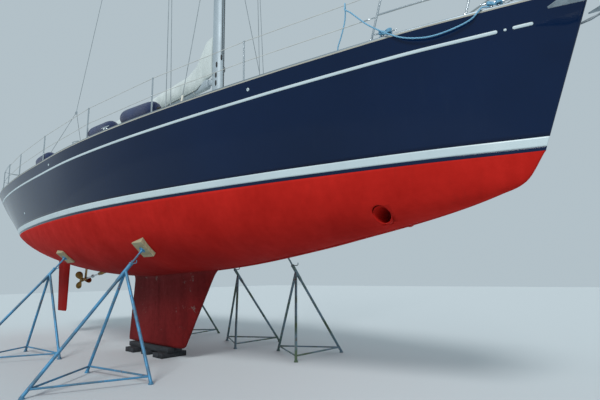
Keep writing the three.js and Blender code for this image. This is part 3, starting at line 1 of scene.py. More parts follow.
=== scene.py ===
"""A sailing yacht ashore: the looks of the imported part, in Blender 4.5.

Metres, +X to the bow, +Y to port, +Z up, as in the frame. Each sub-assembly is a class that holds its sizes,
builds its surfaces with numpy and dresses them with finishes.
"""

import json
import logging
import math
from dataclasses import dataclass, field
from enum import Enum
from typing import Optional, Sequence

import bpy
import numpy as np
from mathutils import Matrix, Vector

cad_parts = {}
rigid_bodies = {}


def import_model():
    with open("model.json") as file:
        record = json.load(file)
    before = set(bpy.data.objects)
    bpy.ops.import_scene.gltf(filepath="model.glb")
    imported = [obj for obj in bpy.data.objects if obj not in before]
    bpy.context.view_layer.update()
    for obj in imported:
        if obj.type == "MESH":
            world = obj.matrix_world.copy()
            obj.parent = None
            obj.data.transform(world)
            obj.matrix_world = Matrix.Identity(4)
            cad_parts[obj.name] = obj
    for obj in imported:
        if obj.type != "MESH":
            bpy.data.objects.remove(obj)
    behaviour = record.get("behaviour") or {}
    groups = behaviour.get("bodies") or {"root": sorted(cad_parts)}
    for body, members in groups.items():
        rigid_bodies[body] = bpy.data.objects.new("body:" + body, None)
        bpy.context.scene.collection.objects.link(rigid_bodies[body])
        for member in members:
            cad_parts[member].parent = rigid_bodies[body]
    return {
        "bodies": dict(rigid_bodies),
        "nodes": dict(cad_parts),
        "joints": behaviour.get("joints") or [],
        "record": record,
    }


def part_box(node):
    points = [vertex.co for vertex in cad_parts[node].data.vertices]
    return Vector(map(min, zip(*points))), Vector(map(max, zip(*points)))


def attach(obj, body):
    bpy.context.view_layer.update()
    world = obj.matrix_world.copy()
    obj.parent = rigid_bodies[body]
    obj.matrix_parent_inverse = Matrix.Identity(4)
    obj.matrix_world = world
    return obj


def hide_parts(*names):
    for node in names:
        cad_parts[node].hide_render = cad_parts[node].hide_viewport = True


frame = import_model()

logging.basicConfig(level=logging.INFO, format="%(message)s")
LOG = logging.getLogger("yacht")
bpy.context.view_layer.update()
Array = np.ndarray
TAU = 2.0 * math.pi
AXIS_RADIUS = 1e-5
UP = (0.0, 0.0, 1.0)
AHEAD = (1.0, 0.0, 0.0)
PORT = (0.0, 1.0, 0.0)
OTHER_SIDE = np.array([1.0, -1.0, 1.0])


class Body(Enum):
    """The bodies that pieces ride on."""

    YACHT = "yacht"
    RUDDER = "rudder"
    WHEEL = "steering_wheel"
    PROPELLER = "propeller"
    BOOM = "boom"
    COMPANION = "companion_hatch"
    FORE_HATCH = "fore_hatch_lid"
    SALOON_HATCH = "saloon_hatch_lid"
    LOCKER_PORT = "locker_lid_port"
    LOCKER_STARBOARD = "locker_lid_starboard"


class Coords(Enum):
    """Where a finish reads its pattern from."""

    OBJECT = "Object"
    UV = "UV"


# Surfaces


@dataclass
class Surface:
    """A grid of points, rows by columns, with what is needed to close it. keep marks the cells that have a face."""

    points: Array
    wrap: bool = False
    cap_first: bool = False
    cap_last: bool = False
    flip: bool = False
    uv_size: Optional[tuple[float, float]] = None
    keep: Optional[Array] = None


def loft(points: Array) -> Surface:
    """A closed form from rings of points: each ring wraps round, and the first and last are capped."""
    return Surface(points, wrap=True, cap_first=True, cap_last=True)


def grid_faces(surface: Surface, start: int) -> list[list[int]]:
    """The faces of a surface: one quad for each cell of the grid, and one flat face for each cap.

    Args:
        surface: The grid to cover.
        start: The number of its first point in the mesh.

    Returns:
        The faces as lists of point numbers.
    """
    rows, columns = surface.points.shape[:2]
    across = columns if surface.wrap else columns - 1
    r, c = np.meshgrid(np.arange(rows - 1), np.arange(across), indexing="ij")
    nxt = (c + 1) % columns
    quads = np.stack([r * columns + c, r * columns + nxt, (r + 1) * columns + nxt, (r + 1) * columns + c],
                     axis=-1)
    cells = quads.reshape(-1, 4) if surface.keep is None else quads[surface.keep]
    faces = (cells + start).tolist()
    ring = np.arange(columns)
    if surface.cap_first:
        faces.append((ring[::-1] + start).tolist())
    if surface.cap_last:
        faces.append((ring + (rows - 1) * columns + start).tolist())
    if surface.flip:
        faces = [face[::-1] for face in faces]
    return faces


def grid_uv(surface: Surface) -> Array:
    """UV of each point of a grid: metres along the rows and along the columns.

    Args:
        surface: The grid.

    Returns:
        An array of one (u, v) pair for each point.
    """
    points = surface.points
    along = np.linalg.norm(np.diff(points, axis=0), axis=2).mean(axis=1)
    across = np.linalg.norm(np.diff(points, axis=1), axis=2).mean(axis=0)
    u = np.concatenate([[0.0], np.cumsum(along)])
    v = np.concatenate([[0.0], np.cumsum(across)])
    if surface.uv_size is not None:
        u = np.linspace(0.0, surface.uv_size[0], len(u))
        v = np.linspace(0.0, surface.uv_size[1], len(v))
    return np.stack(np.meshgrid(u, v, indexing="ij"), axis=-1).reshape(-1, 2)


def put_mesh(name: str, surfaces: Sequence[Surface], smooth: bool = True,
             sharp_deg: float = 40.0) -> bpy.types.Object:
    """Puts surfaces into one mesh object at the origin, the closed ones turned outwards.

    Args:
        name: The piece's name.
        surfaces: The grids it is made of.
        smooth: Whether faces are shaded smooth.
        sharp_deg: Edges that turn more than this stay sharp.

    Returns:
        The new object, linked into the scene.
    """
    faces: list[list[int]] = []
    surfaces = [closed(s) if s.wrap and s.cap_first and s.cap_last else s for s in surfaces]
    starts = np.cumsum([0] + [s.points.shape[0] * s.points.shape[1] for s in surfaces])
    for surface, start in zip(surfaces, starts):
        faces.extend(grid_faces(surface, int(start)))
    points = np.concatenate([s.points.reshape(-1, 3) for s in surfaces])
    uv = np.concatenate([grid_uv(s) for s in surfaces])
    mesh = bpy.data.meshes.new(name)
    mesh.from_pydata(points.tolist(), [], faces)
    corner = np.zeros(len(mesh.loops), dtype=np.int32)
    mesh.loops.foreach_get("vertex_index", corner)
    layer = mesh.uv_layers.new(name="piece")
    layer.data.foreach_set("uv", uv[corner].ravel().astype(np.float32))
    mesh.polygons.foreach_set("use_smooth", np.full(len(mesh.polygons), smooth))
    if smooth:
        mesh.set_sharp_from_angle(angle=math.radians(sharp_deg))
    mesh.update()
    piece = bpy.data.objects.new(name, mesh)
    bpy.context.scene.collection.objects.link(piece)
    return piece


def directions(path: Array) -> Array:
    """Unit directions along a path, from the neighbours of each point.

    Args:
        path: Points, n by 3.

    Returns:
        Unit vectors, n by 3.
    """
    step = np.gradient(path, axis=0)
    return step / np.maximum(np.linalg.norm(step, axis=1, keepdims=True), 1e-9)


def carry(path: Array, profile: Array, up: Sequence[float] = UP, scale: Optional[Array] = None) -> Array:
    """Carries a flat profile along a path: point + side * p0 + other * p1, times the scale at each place.

    Args:
        path: Points, n by 3.
        profile: The section as pairs, m by 2.
        up: The direction that the section's second axis leans to.
        scale: Factors for the section at each point of the path, n or n by 2.

    Returns:
        A grid of points, n by m by 3.
    """
    along = directions(path)
    side = np.cross(along, np.asarray(up, dtype=float))
    side /= np.maximum(np.linalg.norm(side, axis=1, keepdims=True), 1e-9)
    other = np.cross(side, along)
    factor = np.ones((len(path), 2)) if scale is None else np.broadcast_to(
        np.asarray(scale, dtype=float).reshape(len(path), -1), (len(path), 2))
    first = profile[None, :, 0, None] * factor[:, None, 0:1] * side[:, None, :]
    second = profile[None, :, 1, None] * factor[:, None, 1:2] * other[:, None, :]
    return path[:, None, :] + first + second


def smooth_rows(rows: Array, x: Array) -> Array:
    """A table's numbers at places x: a cubic through the rows, with slopes from each row's neighbours.

    Args:
        rows: A place and its values in each row, the places falling.
        x: Places, of any shape.

    Returns:
        The values at each place, in a last axis.
    """
    x = np.asarray(x, dtype=float)
    place, values = rows[:, 0], rows[:, 1:]
    low = np.clip(np.arange(len(rows)) - 1, 0, None)
    high = np.clip(np.arange(len(rows)) + 1, None, len(rows) - 1)
    slope = (values[high] - values[low]) / (place[high] - place[low])[:, None]
    i = np.clip(np.searchsorted(-place, -x, side="left") - 1, 0, len(rows) - 2)
    span = (place[i + 1] - place[i])[..., None]
    t = (x[..., None] - place[i][..., None]) / span
    return ((2 * t ** 3 - 3 * t ** 2 + 1) * values[i] + (t ** 3 - 2 * t ** 2 + t) * span * slope[i]
            + (-2 * t ** 3 + 3 * t ** 2) * values[i + 1] + (t ** 3 - t ** 2) * span * slope[i + 1])


def circle(radius: float, sides: int, squash: float = 1.0) -> Array:
    """A round section: radius times cosine and sine of the turn.

    Args:
        radius: Its radius.
        sides: How many points.
        squash: Factor on the second axis.

    Returns:
        Pairs, sides by 2.
    """
    turn = np.arange(sides) * TAU / sides
    return np.stack([radius * np.cos(turn), squash * radius * np.sin(turn)], axis=1)


def tube(path: Array, radius: float, sides: int = 16, up: Sequence[float] = UP,
         scale: Optional[Array] = None) -> Surface:
    """A round bar along a path, closed at both ends.

    Args:
        path: Points, n by 3.
        radius: Its radius.
        sides: Points round it.
        up: A direction that the path never runs along.
        scale: Factor on the radius at each point.

    Returns:
        The closed surface.
    """
    return loft(carry(np.asarray(path, dtype=float), circle(radius, sides), up, scale))


def bent(corners: Sequence[Sequence[float]], radius: float, steps: int = 7) -> Array:
    """A path through corners with each bend rounded: a quadratic curve from one side of the corner to the other.

    Args:
        corners: The corner points.
        radius: How far from its corner a bend begins.
        steps: Points in each bend.

    Returns:
        Points, n by 3.
    """
    points = np.asarray(corners, dtype=float)
    parts = [points[:1]]
    t = np.linspace(0.0, 1.0, steps)[:, None]
    for before, corner, after in zip(points[:-2], points[1:-1], points[2:]):
        reach = min(radius, 0.45 * np.linalg.norm(before - corner), 0.45 * np.linalg.norm(after - corner))
        a = corner + (before - corner) / np.linalg.norm(before - corner) * reach
        b = corner + (after - corner) / np.linalg.norm(after - corner) * reach
        parts.append((1 - t) ** 2 * a + 2 * t * (1 - t) * corner + t ** 2 * b)
    parts.append(points[-1:])
    return np.concatenate(parts)


def spline(points: Sequence[Sequence[float]], steps: int) -> Array:
    """A smooth curve through points: a Catmull-Rom cubic on each span, by the square root of the distance.

    Args:
        points: The points it passes through.
        steps: Points in the whole curve.

    Returns:
        Points, steps by 3.
    """
    p = np.asarray(points, dtype=float)
    p = np.concatenate([[2 * p[0] - p[1]], p, [2 * p[-1] - p[-2]]])
    knots = np.concatenate([[0.0], np.cumsum(np.sqrt(np.linalg.norm(np.diff(p, axis=0), axis=1)))])
    s = np.linspace(knots[1], knots[-2], steps)
    i = np.clip(np.searchsorted(knots, s, side="right") - 1, 1, len(p) - 3)
    t0, t1, t2, t3 = (knots[i + k][:, None] for k in (-1, 0, 1, 2))
    p0, p1, p2, p3 = (p[i + k] for k in (-1, 0, 1, 2))
    s = s[:, None]
    a1 = (t1 - s) / (t1 - t0) * p0 + (s - t0) / (t1 - t0) * p1
    a2 = (t2 - s) / (t2 - t1) * p1 + (s - t1) / (t2 - t1) * p2
    a3 = (t3 - s) / (t3 - t2) * p2 + (s - t2) / (t3 - t2) * p3
    b1 = (t2 - s) / (t2 - t0) * a1 + (s - t0) / (t2 - t0) * a2
    b2 = (t3 - s) / (t3 - t1) * a2 + (s - t1) / (t3 - t1) * a3
    return (t2 - s) / (t2 - t1) * b1 + (s - t1) / (t2 - t1) * b2


def turned(rows: Array, centre: Sequence[float], axis: Sequence[float], sides: int) -> Array:
    """Sweeps (radius, height) pairs round an axis: centre + height * axis + radius * (cosine, sine) across it.

    Args:
        rows: The pairs, n by 2.
        centre: Where height is 0.
        axis: The direction that height grows in.
        sides: Points round it.

    Returns:
        A grid of points, n by sides by 3.
    """
    up = np.asarray(axis, dtype=float) / np.linalg.norm(axis)
    first = np.cross(up, AHEAD if abs(up[0]) < 0.9 else PORT)
    first /= np.linalg.norm(first)
    second = np.cross(up, first)
    turn = np.arange(sides) * TAU / sides
    ring = np.cos(turn)[:, None] * first + np.sin(turn)[:, None] * second
    radius = np.maximum(rows[:, 0], AXIS_RADIUS)
    return np.asarray(centre, dtype=float) + rows[:, None, 1:2] * up + radius[:, None, None] * ring[None]


def lathe(profile: Sequence[Sequence[float]], centre: Sequence[float], axis: Sequence[float] = UP,
          sides: int = 40) -> Surface:
    """A turned piece: a profile swept round an axis, each end closed flat across to the axis.

    Args:
        profile: Pairs of radius and height, from one end to the other.
        centre: Where height is 0.
        axis: The direction that height grows in.
        sides: Points round it.

    Returns:
        The closed surface.
    """
    rows = [tuple(pair) for pair in profile]
    if rows[0][0] > AXIS_RADIUS:
        rows.insert(0, (0.0, rows[0][1]))
    if rows[-1][0] > AXIS_RADIUS:
        rows.append((0.0, rows[-1][1]))
    return loft(turned(np.array(rows, dtype=float), centre, axis, sides))


def block(low: Sequence[float], high: Sequence[float], edge: float = 0.004) -> Surface:
    """A block with its upright edges rounded: a rounded rectangle carried up, drawn in at both ends.

    Args:
        low: Its lowest corner.
        high: Its highest corner.
        edge: How far each edge is rounded.

    Returns:
        The closed surface.
    """
    (x0, y0, z0), (x1, y1, z1) = low, high
    edge = min(edge, 0.45 * (x1 - x0), 0.45 * (y1 - y0), 0.45 * (z1 - z0))
    quarter = np.linspace(0.0, math.pi / 2, 4)
    corners = [(x1, y1, 0.0), (x0, y1, 1.0), (x0, y0, 2.0), (x1, y0, 3.0)]
    rings = []
    for z, inset in ((z0, edge), (z0 + edge, 0.0), (z1 - edge, 0.0), (z1, edge)):
        parts = []
        for cx, cy, turn in corners:
            angle = quarter + turn * math.pi / 2
            mx = cx - math.copysign(edge, cx - (x0 + x1) / 2)
            my = cy - math.copysign(edge, cy - (y0 + y1) / 2)
            reach = max(edge - inset, 0.2 * edge)
            parts.append(np.stack([mx + reach * np.cos(angle), my + reach * np.sin(angle), np.full(4, z)],
                                  axis=1))
        rings.append(np.concatenate(parts))
    return loft(np.stack(rings))


def hollow(profile: Sequence[Sequence[float]], centre: Sequence[float], axis: Sequence[float],
           sides: int = 40) -> Surface:
    """A turned ring: a profile that closes on itself, swept round an axis as in lathe."""
    rows = np.array([*profile, profile[0]], dtype=float)
    return closed(Surface(turned(rows, centre, axis, sides), wrap=True))


def foil(points: int = 48) -> Array:
    """A streamlined section: share t of the chord, and half thickness 0.5 * (2.184 * sqrt(t) * (1 - t)^0.9 + 0.03 t).

    Args:
        points: Points round it.

    Returns:
        Pairs, from the leading edge along one side and back along the other.
    """
    t = 0.5 - 0.5 * np.cos(np.pi * np.linspace(0.0, 1.0, points // 2 + 1))
    half = 0.5 * (2.184 * np.sqrt(t) * (1 - t) ** 0.9 + 0.03 * t)
    return np.concatenate([np.stack([t, half], axis=1), np.stack([t, -half], axis=1)[-2:0:-1]])


def mirrored(surface: Surface) -> Surface:
    """The same surface on the other side of the centreline, facing out again."""
    points = surface.points * OTHER_SIDE
    return Surface(points, surface.wrap, surface.cap_first, surface.cap_last, not surface.flip,
                   surface.uv_size)


def outward(surface: Surface, inside: Sequence[float]) -> Surface:
    """Turns an open skin so that its faces look away from a point inside.

    Args:
        surface: The skin.
        inside: A point on its hidden side.

    Returns:
        The skin, turned if need be.
    """
    p = surface.points
    middle = (p[:-1, :-1] + p[1:, 1:]) / 2
    normal = np.cross(p[:-1, 1:] - p[:-1, :-1], p[1:, :-1] - p[:-1, :-1])
    if np.sum(normal * (middle - np.asarray(inside, dtype=float))) < 0:
        surface.flip = not surface.flip
    return surface


def closed(surface: Surface) -> Surface:
    """Turns a closed surface so that its faces look outwards: its volume, by the divergence sum, is positive.

    Args:
        surface: A surface that wraps round and is capped at both ends.

    Returns:
        The surface, turned if need be.
    """
    p = surface.points - surface.points.mean(axis=(0, 1))
    a, b = p[:-1], np.roll(p[:-1], -1, axis=1)
    c, d = np.roll(p[1:], -1, axis=1), p[1:]
    volume = np.sum(a * np.cross(b, c)) + np.sum(a * np.cross(c, d))
    for ring, sign in ((p[0], -1.0), (p[-1], 1.0)):
        middle = ring.mean(axis=0)
        volume += sign * np.sum(middle * np.cross(ring, np.roll(ring, -1, axis=0)))
    surface.flip = bool(volume < 0)
    return surface


def cut(piece: bpy.types.Object, cutters: Sequence[bpy.types.Object]) -> None:
    """Cuts closed meshes out of a piece, live modifiers included, and removes the cutters.

    Args:
        piece: What is cut.
        cutters: Closed mesh objects.
    """
    for cutter in cutters:
        modifier = piece.modifiers.new("cut", "BOOLEAN")
        modifier.operation = "DIFFERENCE"
        modifier.solver = "EXACT"
        modifier.object = cutter
    graph = bpy.context.evaluated_depsgraph_get()
    mesh = bpy.data.meshes.new_from_object(piece.evaluated_get(graph))
    old = piece.data
    piece.modifiers.clear()
    piece.data = mesh
    bpy.data.meshes.remove(old)
    for cutter in cutters:
        bpy.data.objects.remove(cutter)


def thicken(piece: bpy.types.Object, thickness: float) -> None:
    """Gives an open skin a wall on its inner side."""
    modifier = piece.modifiers.new("wall", "SOLIDIFY")
    modifier.thickness = thickness
    modifier.offset = -1.0


def soften(piece: bpy.types.Object, width: float, segments: int = 2) -> None:
    """Rounds a piece's sharp edges."""
    modifier = piece.modifiers.new("edges", "BEVEL")
    modifier.width = width
    modifier.segments = segments
    modifier.limit_method = "ANGLE"
    modifier.angle_limit = math.radians(35.0)


# Finishes


def linear(code: str) -> tuple[float, float, float, float]:
    """A colour as Blender wants it, from a hex code: each part to the power 2.4 after the usual offset."""
    parts = np.array([int(code[i:i + 2], 16) / 255.0 for i in (0, 2, 4)])
    parts = np.where(parts <= 0.04045, parts / 12.92, ((parts + 0.055) / 1.055) ** 2.4)
    return (float(parts[0]), float(parts[1]), float(parts[2]), 1.0)


class Shader:
    """A node tree with short ways to add nodes and join them."""

    def __init__(self, tree: bpy.types.NodeTree) -> None:
        """Keeps the tree."""
        self.tree = tree

    def put(self, socket: bpy.types.NodeSocket, value: object) -> None:
        """Joins a socket to a socket, or sets its value."""
        if isinstance(value, bpy.types.NodeSocket):
            self.tree.links.new(value, socket)
        else:
            socket.default_value = value

    def add(self, kind: str, inputs: dict[object, object], **settings: object) -> bpy.types.Node:
        """Adds a node.

        Args:
            kind: The node's type.
            inputs: What goes into its sockets, by name or number.
            **settings: The node's own settings.

        Returns:
            The node.
        """
        node = self.tree.nodes.new(kind)
        for key, value in settings.items():
            setattr(node, key, value)
        for key, value in inputs.items():
            self.put(node.inputs[key], value)
        return node

    def math(self, operation: str, first: object, second: object = 0.0,
             clamp: bool = False) -> bpy.types.NodeSocket:
        """One sum on one or two values."""
        node = self.add("ShaderNodeMath", {0: first, 1: second}, operation=operation, use_clamp=clamp)
        return node.outputs[0]

    def span(self, value: object, low: float, high: float, to_low: float = 0.0,
             to_high: float = 1.0) -> bpy.types.NodeSocket:
        """Stretches a value from one span to another, cut off at its ends."""
        node = self.add("ShaderNodeMapRange", {0: value, 1: low, 2: high, 3: to_low, 4: to_high}, clamp=True)
        return node.outputs[0]

    def blend(self, factor: object, first: object, second: object) -> bpy.types.NodeSocket:
        """Mixes two colours."""
        node = self.tree.nodes.new("ShaderNodeMix")
        node.data_type = "RGBA"
        self.put(node.inputs[0], factor)
        self.put(node.inputs[6], first)
        self.put(node.inputs[7], second)
        return node.outputs[2]

    def noise(self, vector: object, scale: object, detail: float = 5.0,
              rough: float = 0.55) -> bpy.types.NodeSocket:
        """Cloudy noise as a value."""
        node = self.add("ShaderNodeTexNoise", {"Vector": vector, "Scale": scale, "Detail": detail,
                                               "Roughness": rough})
        return node.outputs[0]

    def scaled(self, vector: object, scale: Sequence[float],
               turn: Sequence[float] = (0.0, 0.0, 0.0)) -> bpy.types.NodeSocket:
        """Stretches and turns coordinates."""
        node = self.add("ShaderNodeMapping",
                        {"Vector": vector, "Scale": tuple(scale), "Rotation": tuple(turn)})
        return node.outputs[0]

    def parts(self, vector: object) -> tuple[bpy.types.NodeSocket, bpy.types.NodeSocket,
                                             bpy.types.NodeSocket]:
        """The three numbers of a vector."""
        node = self.add("ShaderNodeSeparateXYZ", {0: vector})
        return node.outputs[0], node.outputs[1], node.outputs[2]


def new_group(name: str, inputs: Sequence[tuple[str, float]],
              outputs: Sequence[str]) -> tuple[Shader, bpy.types.Node, bpy.types.Node]:
    """An empty shader group that reads a vector and named numbers and puts out named values.

    Args:
        name: The group's name.
        inputs: Names and usual values of its number inputs.
        outputs: Names of its value outputs.

    Returns:
        Its tree, its input node and its output node.
    """
    tree = bpy.data.node_groups.new(name, "ShaderNodeTree")
    tree.interface.new_socket("Vector", in_out="INPUT", socket_type="NodeSocketVector")
    for label, value in inputs:
        socket = tree.interface.new_socket(label, in_out="INPUT", socket_type="NodeSocketFloat")
        socket.default_value = value
    for label in outputs:
        tree.interface.new_socket(label, in_out="OUTPUT", socket_type="NodeSocketFloat")
    shader = Shader(tree)
    return shader, tree.nodes.new("NodeGroupInput"), tree.nodes.new("NodeGroupOutput")


class Pattern(Enum):
    """The patterns that a finish can have, each a shader group with the outputs Mask and Height."""

    CLOUDS = "clouds"
    ROLLED_PAINT = "rolled paint"
    NON_SLIP = "non-slip deck"
    WEAVE = "canvas weave"
    WOOD = "wood grain"
    BRUSHED = "brushed metal"
    CAST = "cast metal"
    ROPE = "rope lay"
    SLATS = "teak slats"


def make_pattern(pattern: Pattern) -> bpy.types.NodeTree:
    """Builds the shader group of a pattern: Mask is 0 to 1, and Height is 0 to 1 for the bump.

    Args:
        pattern: Which one.

    Returns:
        The group.
    """
    s, start, end = new_group(pattern.value, [("Scale", 1.0)], ["Mask", "Height"])
    vector, scale = start.outputs["Vector"], start.outputs["Scale"]
    sized = s.add("ShaderNodeVectorMath", {0: vector, "Scale": scale}, operation="SCALE").outputs[0]
    x, y = s.parts(sized)[:2]
    if pattern is Pattern.CLOUDS:
        mask = s.span(s.noise(sized, 1.0, 6.0), 0.3, 0.7)
        height = s.noise(sized, 18.0, 3.0)
    elif pattern is Pattern.ROLLED_PAINT:
        strokes = s.noise(s.scaled(sized, (1.0, 1.0, 0.28)), 1.6, 6.0, 0.62)
        mask = s.span(s.math("ADD", strokes, s.math("MULTIPLY", s.noise(sized, 9.0, 4.0), 0.35)), 0.5, 0.85)
        height = s.math("ADD", s.noise(sized, 55.0, 4.0, 0.7), s.math("MULTIPLY", mask, 0.4))
    elif pattern is Pattern.NON_SLIP:
        cells = s.add("ShaderNodeTexVoronoi", {"Vector": sized, "Scale": 60.0}).outputs[0]
        height = s.span(cells, 0.15, 0.6, 1.0, 0.0)
        mask = s.span(s.noise(sized, 0.9, 5.0), 0.35, 0.7)
    elif pattern is Pattern.WEAVE:
        warp = s.math("ABSOLUTE", s.math("SINE", s.math("MULTIPLY", x, math.pi)))
        weft = s.math("ABSOLUTE", s.math("SINE", s.math("MULTIPLY", y, math.pi)))
        height = s.math("MULTIPLY", s.math("ADD", warp, weft), 0.5)
        soft = s.noise(s.scaled(sized, (0.012, 0.004, 0.012)), 1.0, 5.0)
        mask = s.span(s.math("ADD", soft, s.math("MULTIPLY", height, 0.12)), 0.38, 0.72)
    elif pattern is Pattern.WOOD:
        bent_by = s.noise(s.scaled(sized, (0.6, 3.0, 3.0)), 1.0, 4.0)
        rings = s.math("ADD", s.math("MULTIPLY", y, 9.0), s.math("MULTIPLY", bent_by, 6.0))
        fine = s.noise(s.scaled(sized, (2.0, 60.0, 60.0)), 1.0, 3.0)
        mask = s.math("ADD", s.math("MULTIPLY", s.math("FRACT", rings), 0.6), s.math("MULTIPLY", fine, 0.4),
                      True)
        height = fine
    elif pattern is Pattern.BRUSHED:
        height = s.noise(s.scaled(sized, (1.0, 1.0, 14.0)), 24.0, 3.0, 0.7)
        mask = s.span(s.noise(sized, 1.3, 6.0), 0.35, 0.68)
    elif pattern is Pattern.CAST:
        height = s.noise(sized, 30.0, 5.0, 0.7)
        mask = s.span(s.noise(sized, 3.0, 6.0, 0.65), 0.42, 0.62)
    elif pattern is Pattern.ROPE:
        lay = s.math("ADD", s.math("MULTIPLY", x, 1.0), s.math("MULTIPLY", y, 1.0))
        strand = s.math("ABSOLUTE", s.math("SINE", s.math("MULTIPLY", lay, math.pi)))
        yarn = s.math("ABSOLUTE", s.math("SINE", s.math("MULTIPLY", s.math("SUBTRACT", x, y), 6.0 * math.pi)))
        height = s.math("ADD", s.math("MULTIPLY", strand, 0.8), s.math("MULTIPLY", yarn, 0.2))
        # Painted shade and highlight: the colour follows the strand height, darker in the grooves between strands and
        # lighter on their crowns.
        mask = s.span(height, 0.15, 0.8)
    else:
        across = s.math("FRACT", y)
        seam = s.math("LESS_THAN", s.math("ABSOLUTE", s.math("SUBTRACT", across, 0.5)), 0.44)
        grain = s.noise(s.scaled(sized, (0.6, 9.0, 9.0)), 3.0, 5.0, 0.65)
        mask = s.math("MULTIPLY", seam, s.span(grain, 0.2, 0.8, 0.45, 1.0))
        height = s.math("MULTIPLY", seam, s.span(grain, 0.2, 0.8, 0.75, 1.0))
    s.put(end.inputs["Mask"], mask)
    s.put(end.inputs["Height"], height)
    return s.tree


def make_runs() -> bpy.types.NodeTree:
    """Dirt that has run down a surface: noise drawn out along Z, cut by a broader noise. Puts out Mask."""
    s, start, end = new_group("dirt runs", [("Scale", 1.0)], ["Mask"])
    sized = s.add("ShaderNodeVectorMath", {0: start.outputs["Vector"], "Scale": start.outputs["Scale"]},
                  operation="SCALE").outputs[0]
    thin = s.span(s.noise(s.scaled(sized, (9.0, 9.0, 0.45)), 1.0, 5.0, 0.6), 0.55, 0.75)
    broad = s.span(s.noise(sized, 0.7, 3.0), 0.42, 0.62)
    s.put(end.inputs["Mask"], s.math("MULTIPLY", thin, broad))
    return s.tree


def make_chips() -> bpy.types.NodeTree:
    """Chipped places: broken noise over a threshold, with small specks round them. Puts out Mask."""
    s, start, end = new_group("chips", [("Scale", 1.0), ("Amount", 0.3)], ["Mask"])
    sized = s.add("ShaderNodeVectorMath", {0: start.outputs["Vector"], "Scale": start.outputs["Scale"]},
                  operation="SCALE").outputs[0]
    broken = s.math("ADD", s.math("MULTIPLY", s.noise(sized, 2.2, 8.0, 0.72), 0.7),
                    s.math("MULTIPLY", s.noise(sized, 13.0, 6.0, 0.7), 0.3))
    edge = s.math("SUBTRACT", 0.72, s.math("MULTIPLY", start.outputs["Amount"], 0.3))
    s.put(end.inputs["Mask"], s.math("MULTIPLY", s.math("SUBTRACT", broken, edge), 26.0, True))
    return s.tree


@dataclass(frozen=True)
class Finish:
    """A finish: its colours, its gloss, its pattern, its wear, and a painted shade that darkens it below a height."""

    slot: str
    colour: str
    shade: str
    rough: tuple[float, float] = (0.4, 0.6)
    metal: float = 0.0
    pattern: Pattern = Pattern.CLOUDS
    scale: float = 1.0
    depth: float = 0.002
    coords: Coords = Coords.OBJECT
    turn: tuple[float, float, float] = (0.0, 0.0, 0.0)
    coat: float = 0.0
    gloss: float = 0.5
    runs: float = 0.0
    run_colour: str = "3a332b"
    chips: float = 0.0
    chip_colour: str = "7b5a41"
    chip_scale: float = 1.0
    clear: float = 0.0
    sheen: float = 0.0
    # painted shade: below a height the colour darkens towards a given colour, standing in for the shade under the hull
    painted_underside_shade: Optional[tuple[float, float, str]] = None

    def make(self, name: str, groups: dict[object, bpy.types.NodeTree]) -> bpy.types.Material:
        """Builds the material.

        Args:
            name: The material's name.
            groups: The shader groups, by pattern or by name.

        Returns:
            The material.
        """
        material = bpy.data.materials.new(name)
        material.use_nodes = True
        material.node_tree.nodes.clear()
        s = Shader(material.node_tree)
        coords = s.add("ShaderNodeTexCoord", {}).outputs[self.coords.value]
        turned = s.scaled(coords, (1.0, 1.0, 1.0), self.turn)
        look = s.add("ShaderNodeGroup", {}, node_tree=groups[self.pattern])
        s.put(look.inputs["Vector"], turned)
        look.inputs["Scale"].default_value = self.scale
        mask, height = look.outputs["Mask"], look.outputs["Height"]
        colour = s.blend(mask, linear(self.colour), linear(self.shade))
        rough = s.span(mask, 0.0, 1.0, self.rough[0], self.rough[1])
        place = s.add("ShaderNodeTexCoord", {}).outputs["Object"]
        # Painted shade: darker towards the bottom, blended towards the deep colour below the given heights, in place of
        # the shade that falls under the hull.
        if self.painted_underside_shade is not None:
            low, high, deep = self.painted_underside_shade
            lift = s.math("ADD", s.parts(place)[2], s.span(s.noise(place, 1.1, 4.0), 0.3, 0.7, -0.12, 0.12))
            colour = s.blend(s.span(lift, low, high, 1.0, 0.0), colour, linear(deep))
        if self.runs > 0.0:
            dirt = s.add("ShaderNodeGroup", {}, node_tree=groups["runs"])
            s.put(dirt.inputs["Vector"], place)
            amount = s.math("MULTIPLY", dirt.outputs["Mask"], self.runs)
            colour = s.blend(amount, colour, linear(self.run_colour))
            rough = s.math("ADD", rough, s.math("MULTIPLY", amount, 0.3), True)
        metal: object = self.metal
        if self.chips > 0.0:
            bare = s.add("ShaderNodeGroup", {}, node_tree=groups["chips"])
            s.put(bare.inputs["Vector"], place)
            bare.inputs["Scale"].default_value = self.chip_scale
            bare.inputs["Amount"].default_value = self.chips
            colour = s.blend(bare.outputs["Mask"], colour, linear(self.chip_colour))
            rough = s.math("MAXIMUM", rough, s.math("MULTIPLY", bare.outputs["Mask"], 0.85))
            height = s.math("SUBTRACT", height, s.math("MULTIPLY", bare.outputs["Mask"], 0.6))
            if self.metal > 0.0:
                metal = s.math("MULTIPLY", s.math("SUBTRACT", 1.0, bare.outputs["Mask"]), self.metal)
        bump = s.add("ShaderNodeBump", {"Height": height, "Distance": self.depth, "Strength": 1.0})
        surface = s.add("ShaderNodeBsdfPrincipled",
                        {"Base Color": colour, "Roughness": rough, "Metallic": metal,
                         "Normal": bump.outputs[0]})
        surface.inputs["Specular IOR Level"].default_value = self.gloss
        surface.inputs["Coat Weight"].default_value = self.coat
        surface.inputs["Coat Roughness"].default_value = 0.06
        surface.inputs["Sheen Weight"].default_value = self.sheen
        surface.inputs["Transmission Weight"].default_value = self.clear
        s.put(s.tree.nodes.new("ShaderNodeOutputMaterial").inputs["Surface"], surface.outputs[0])
        return material


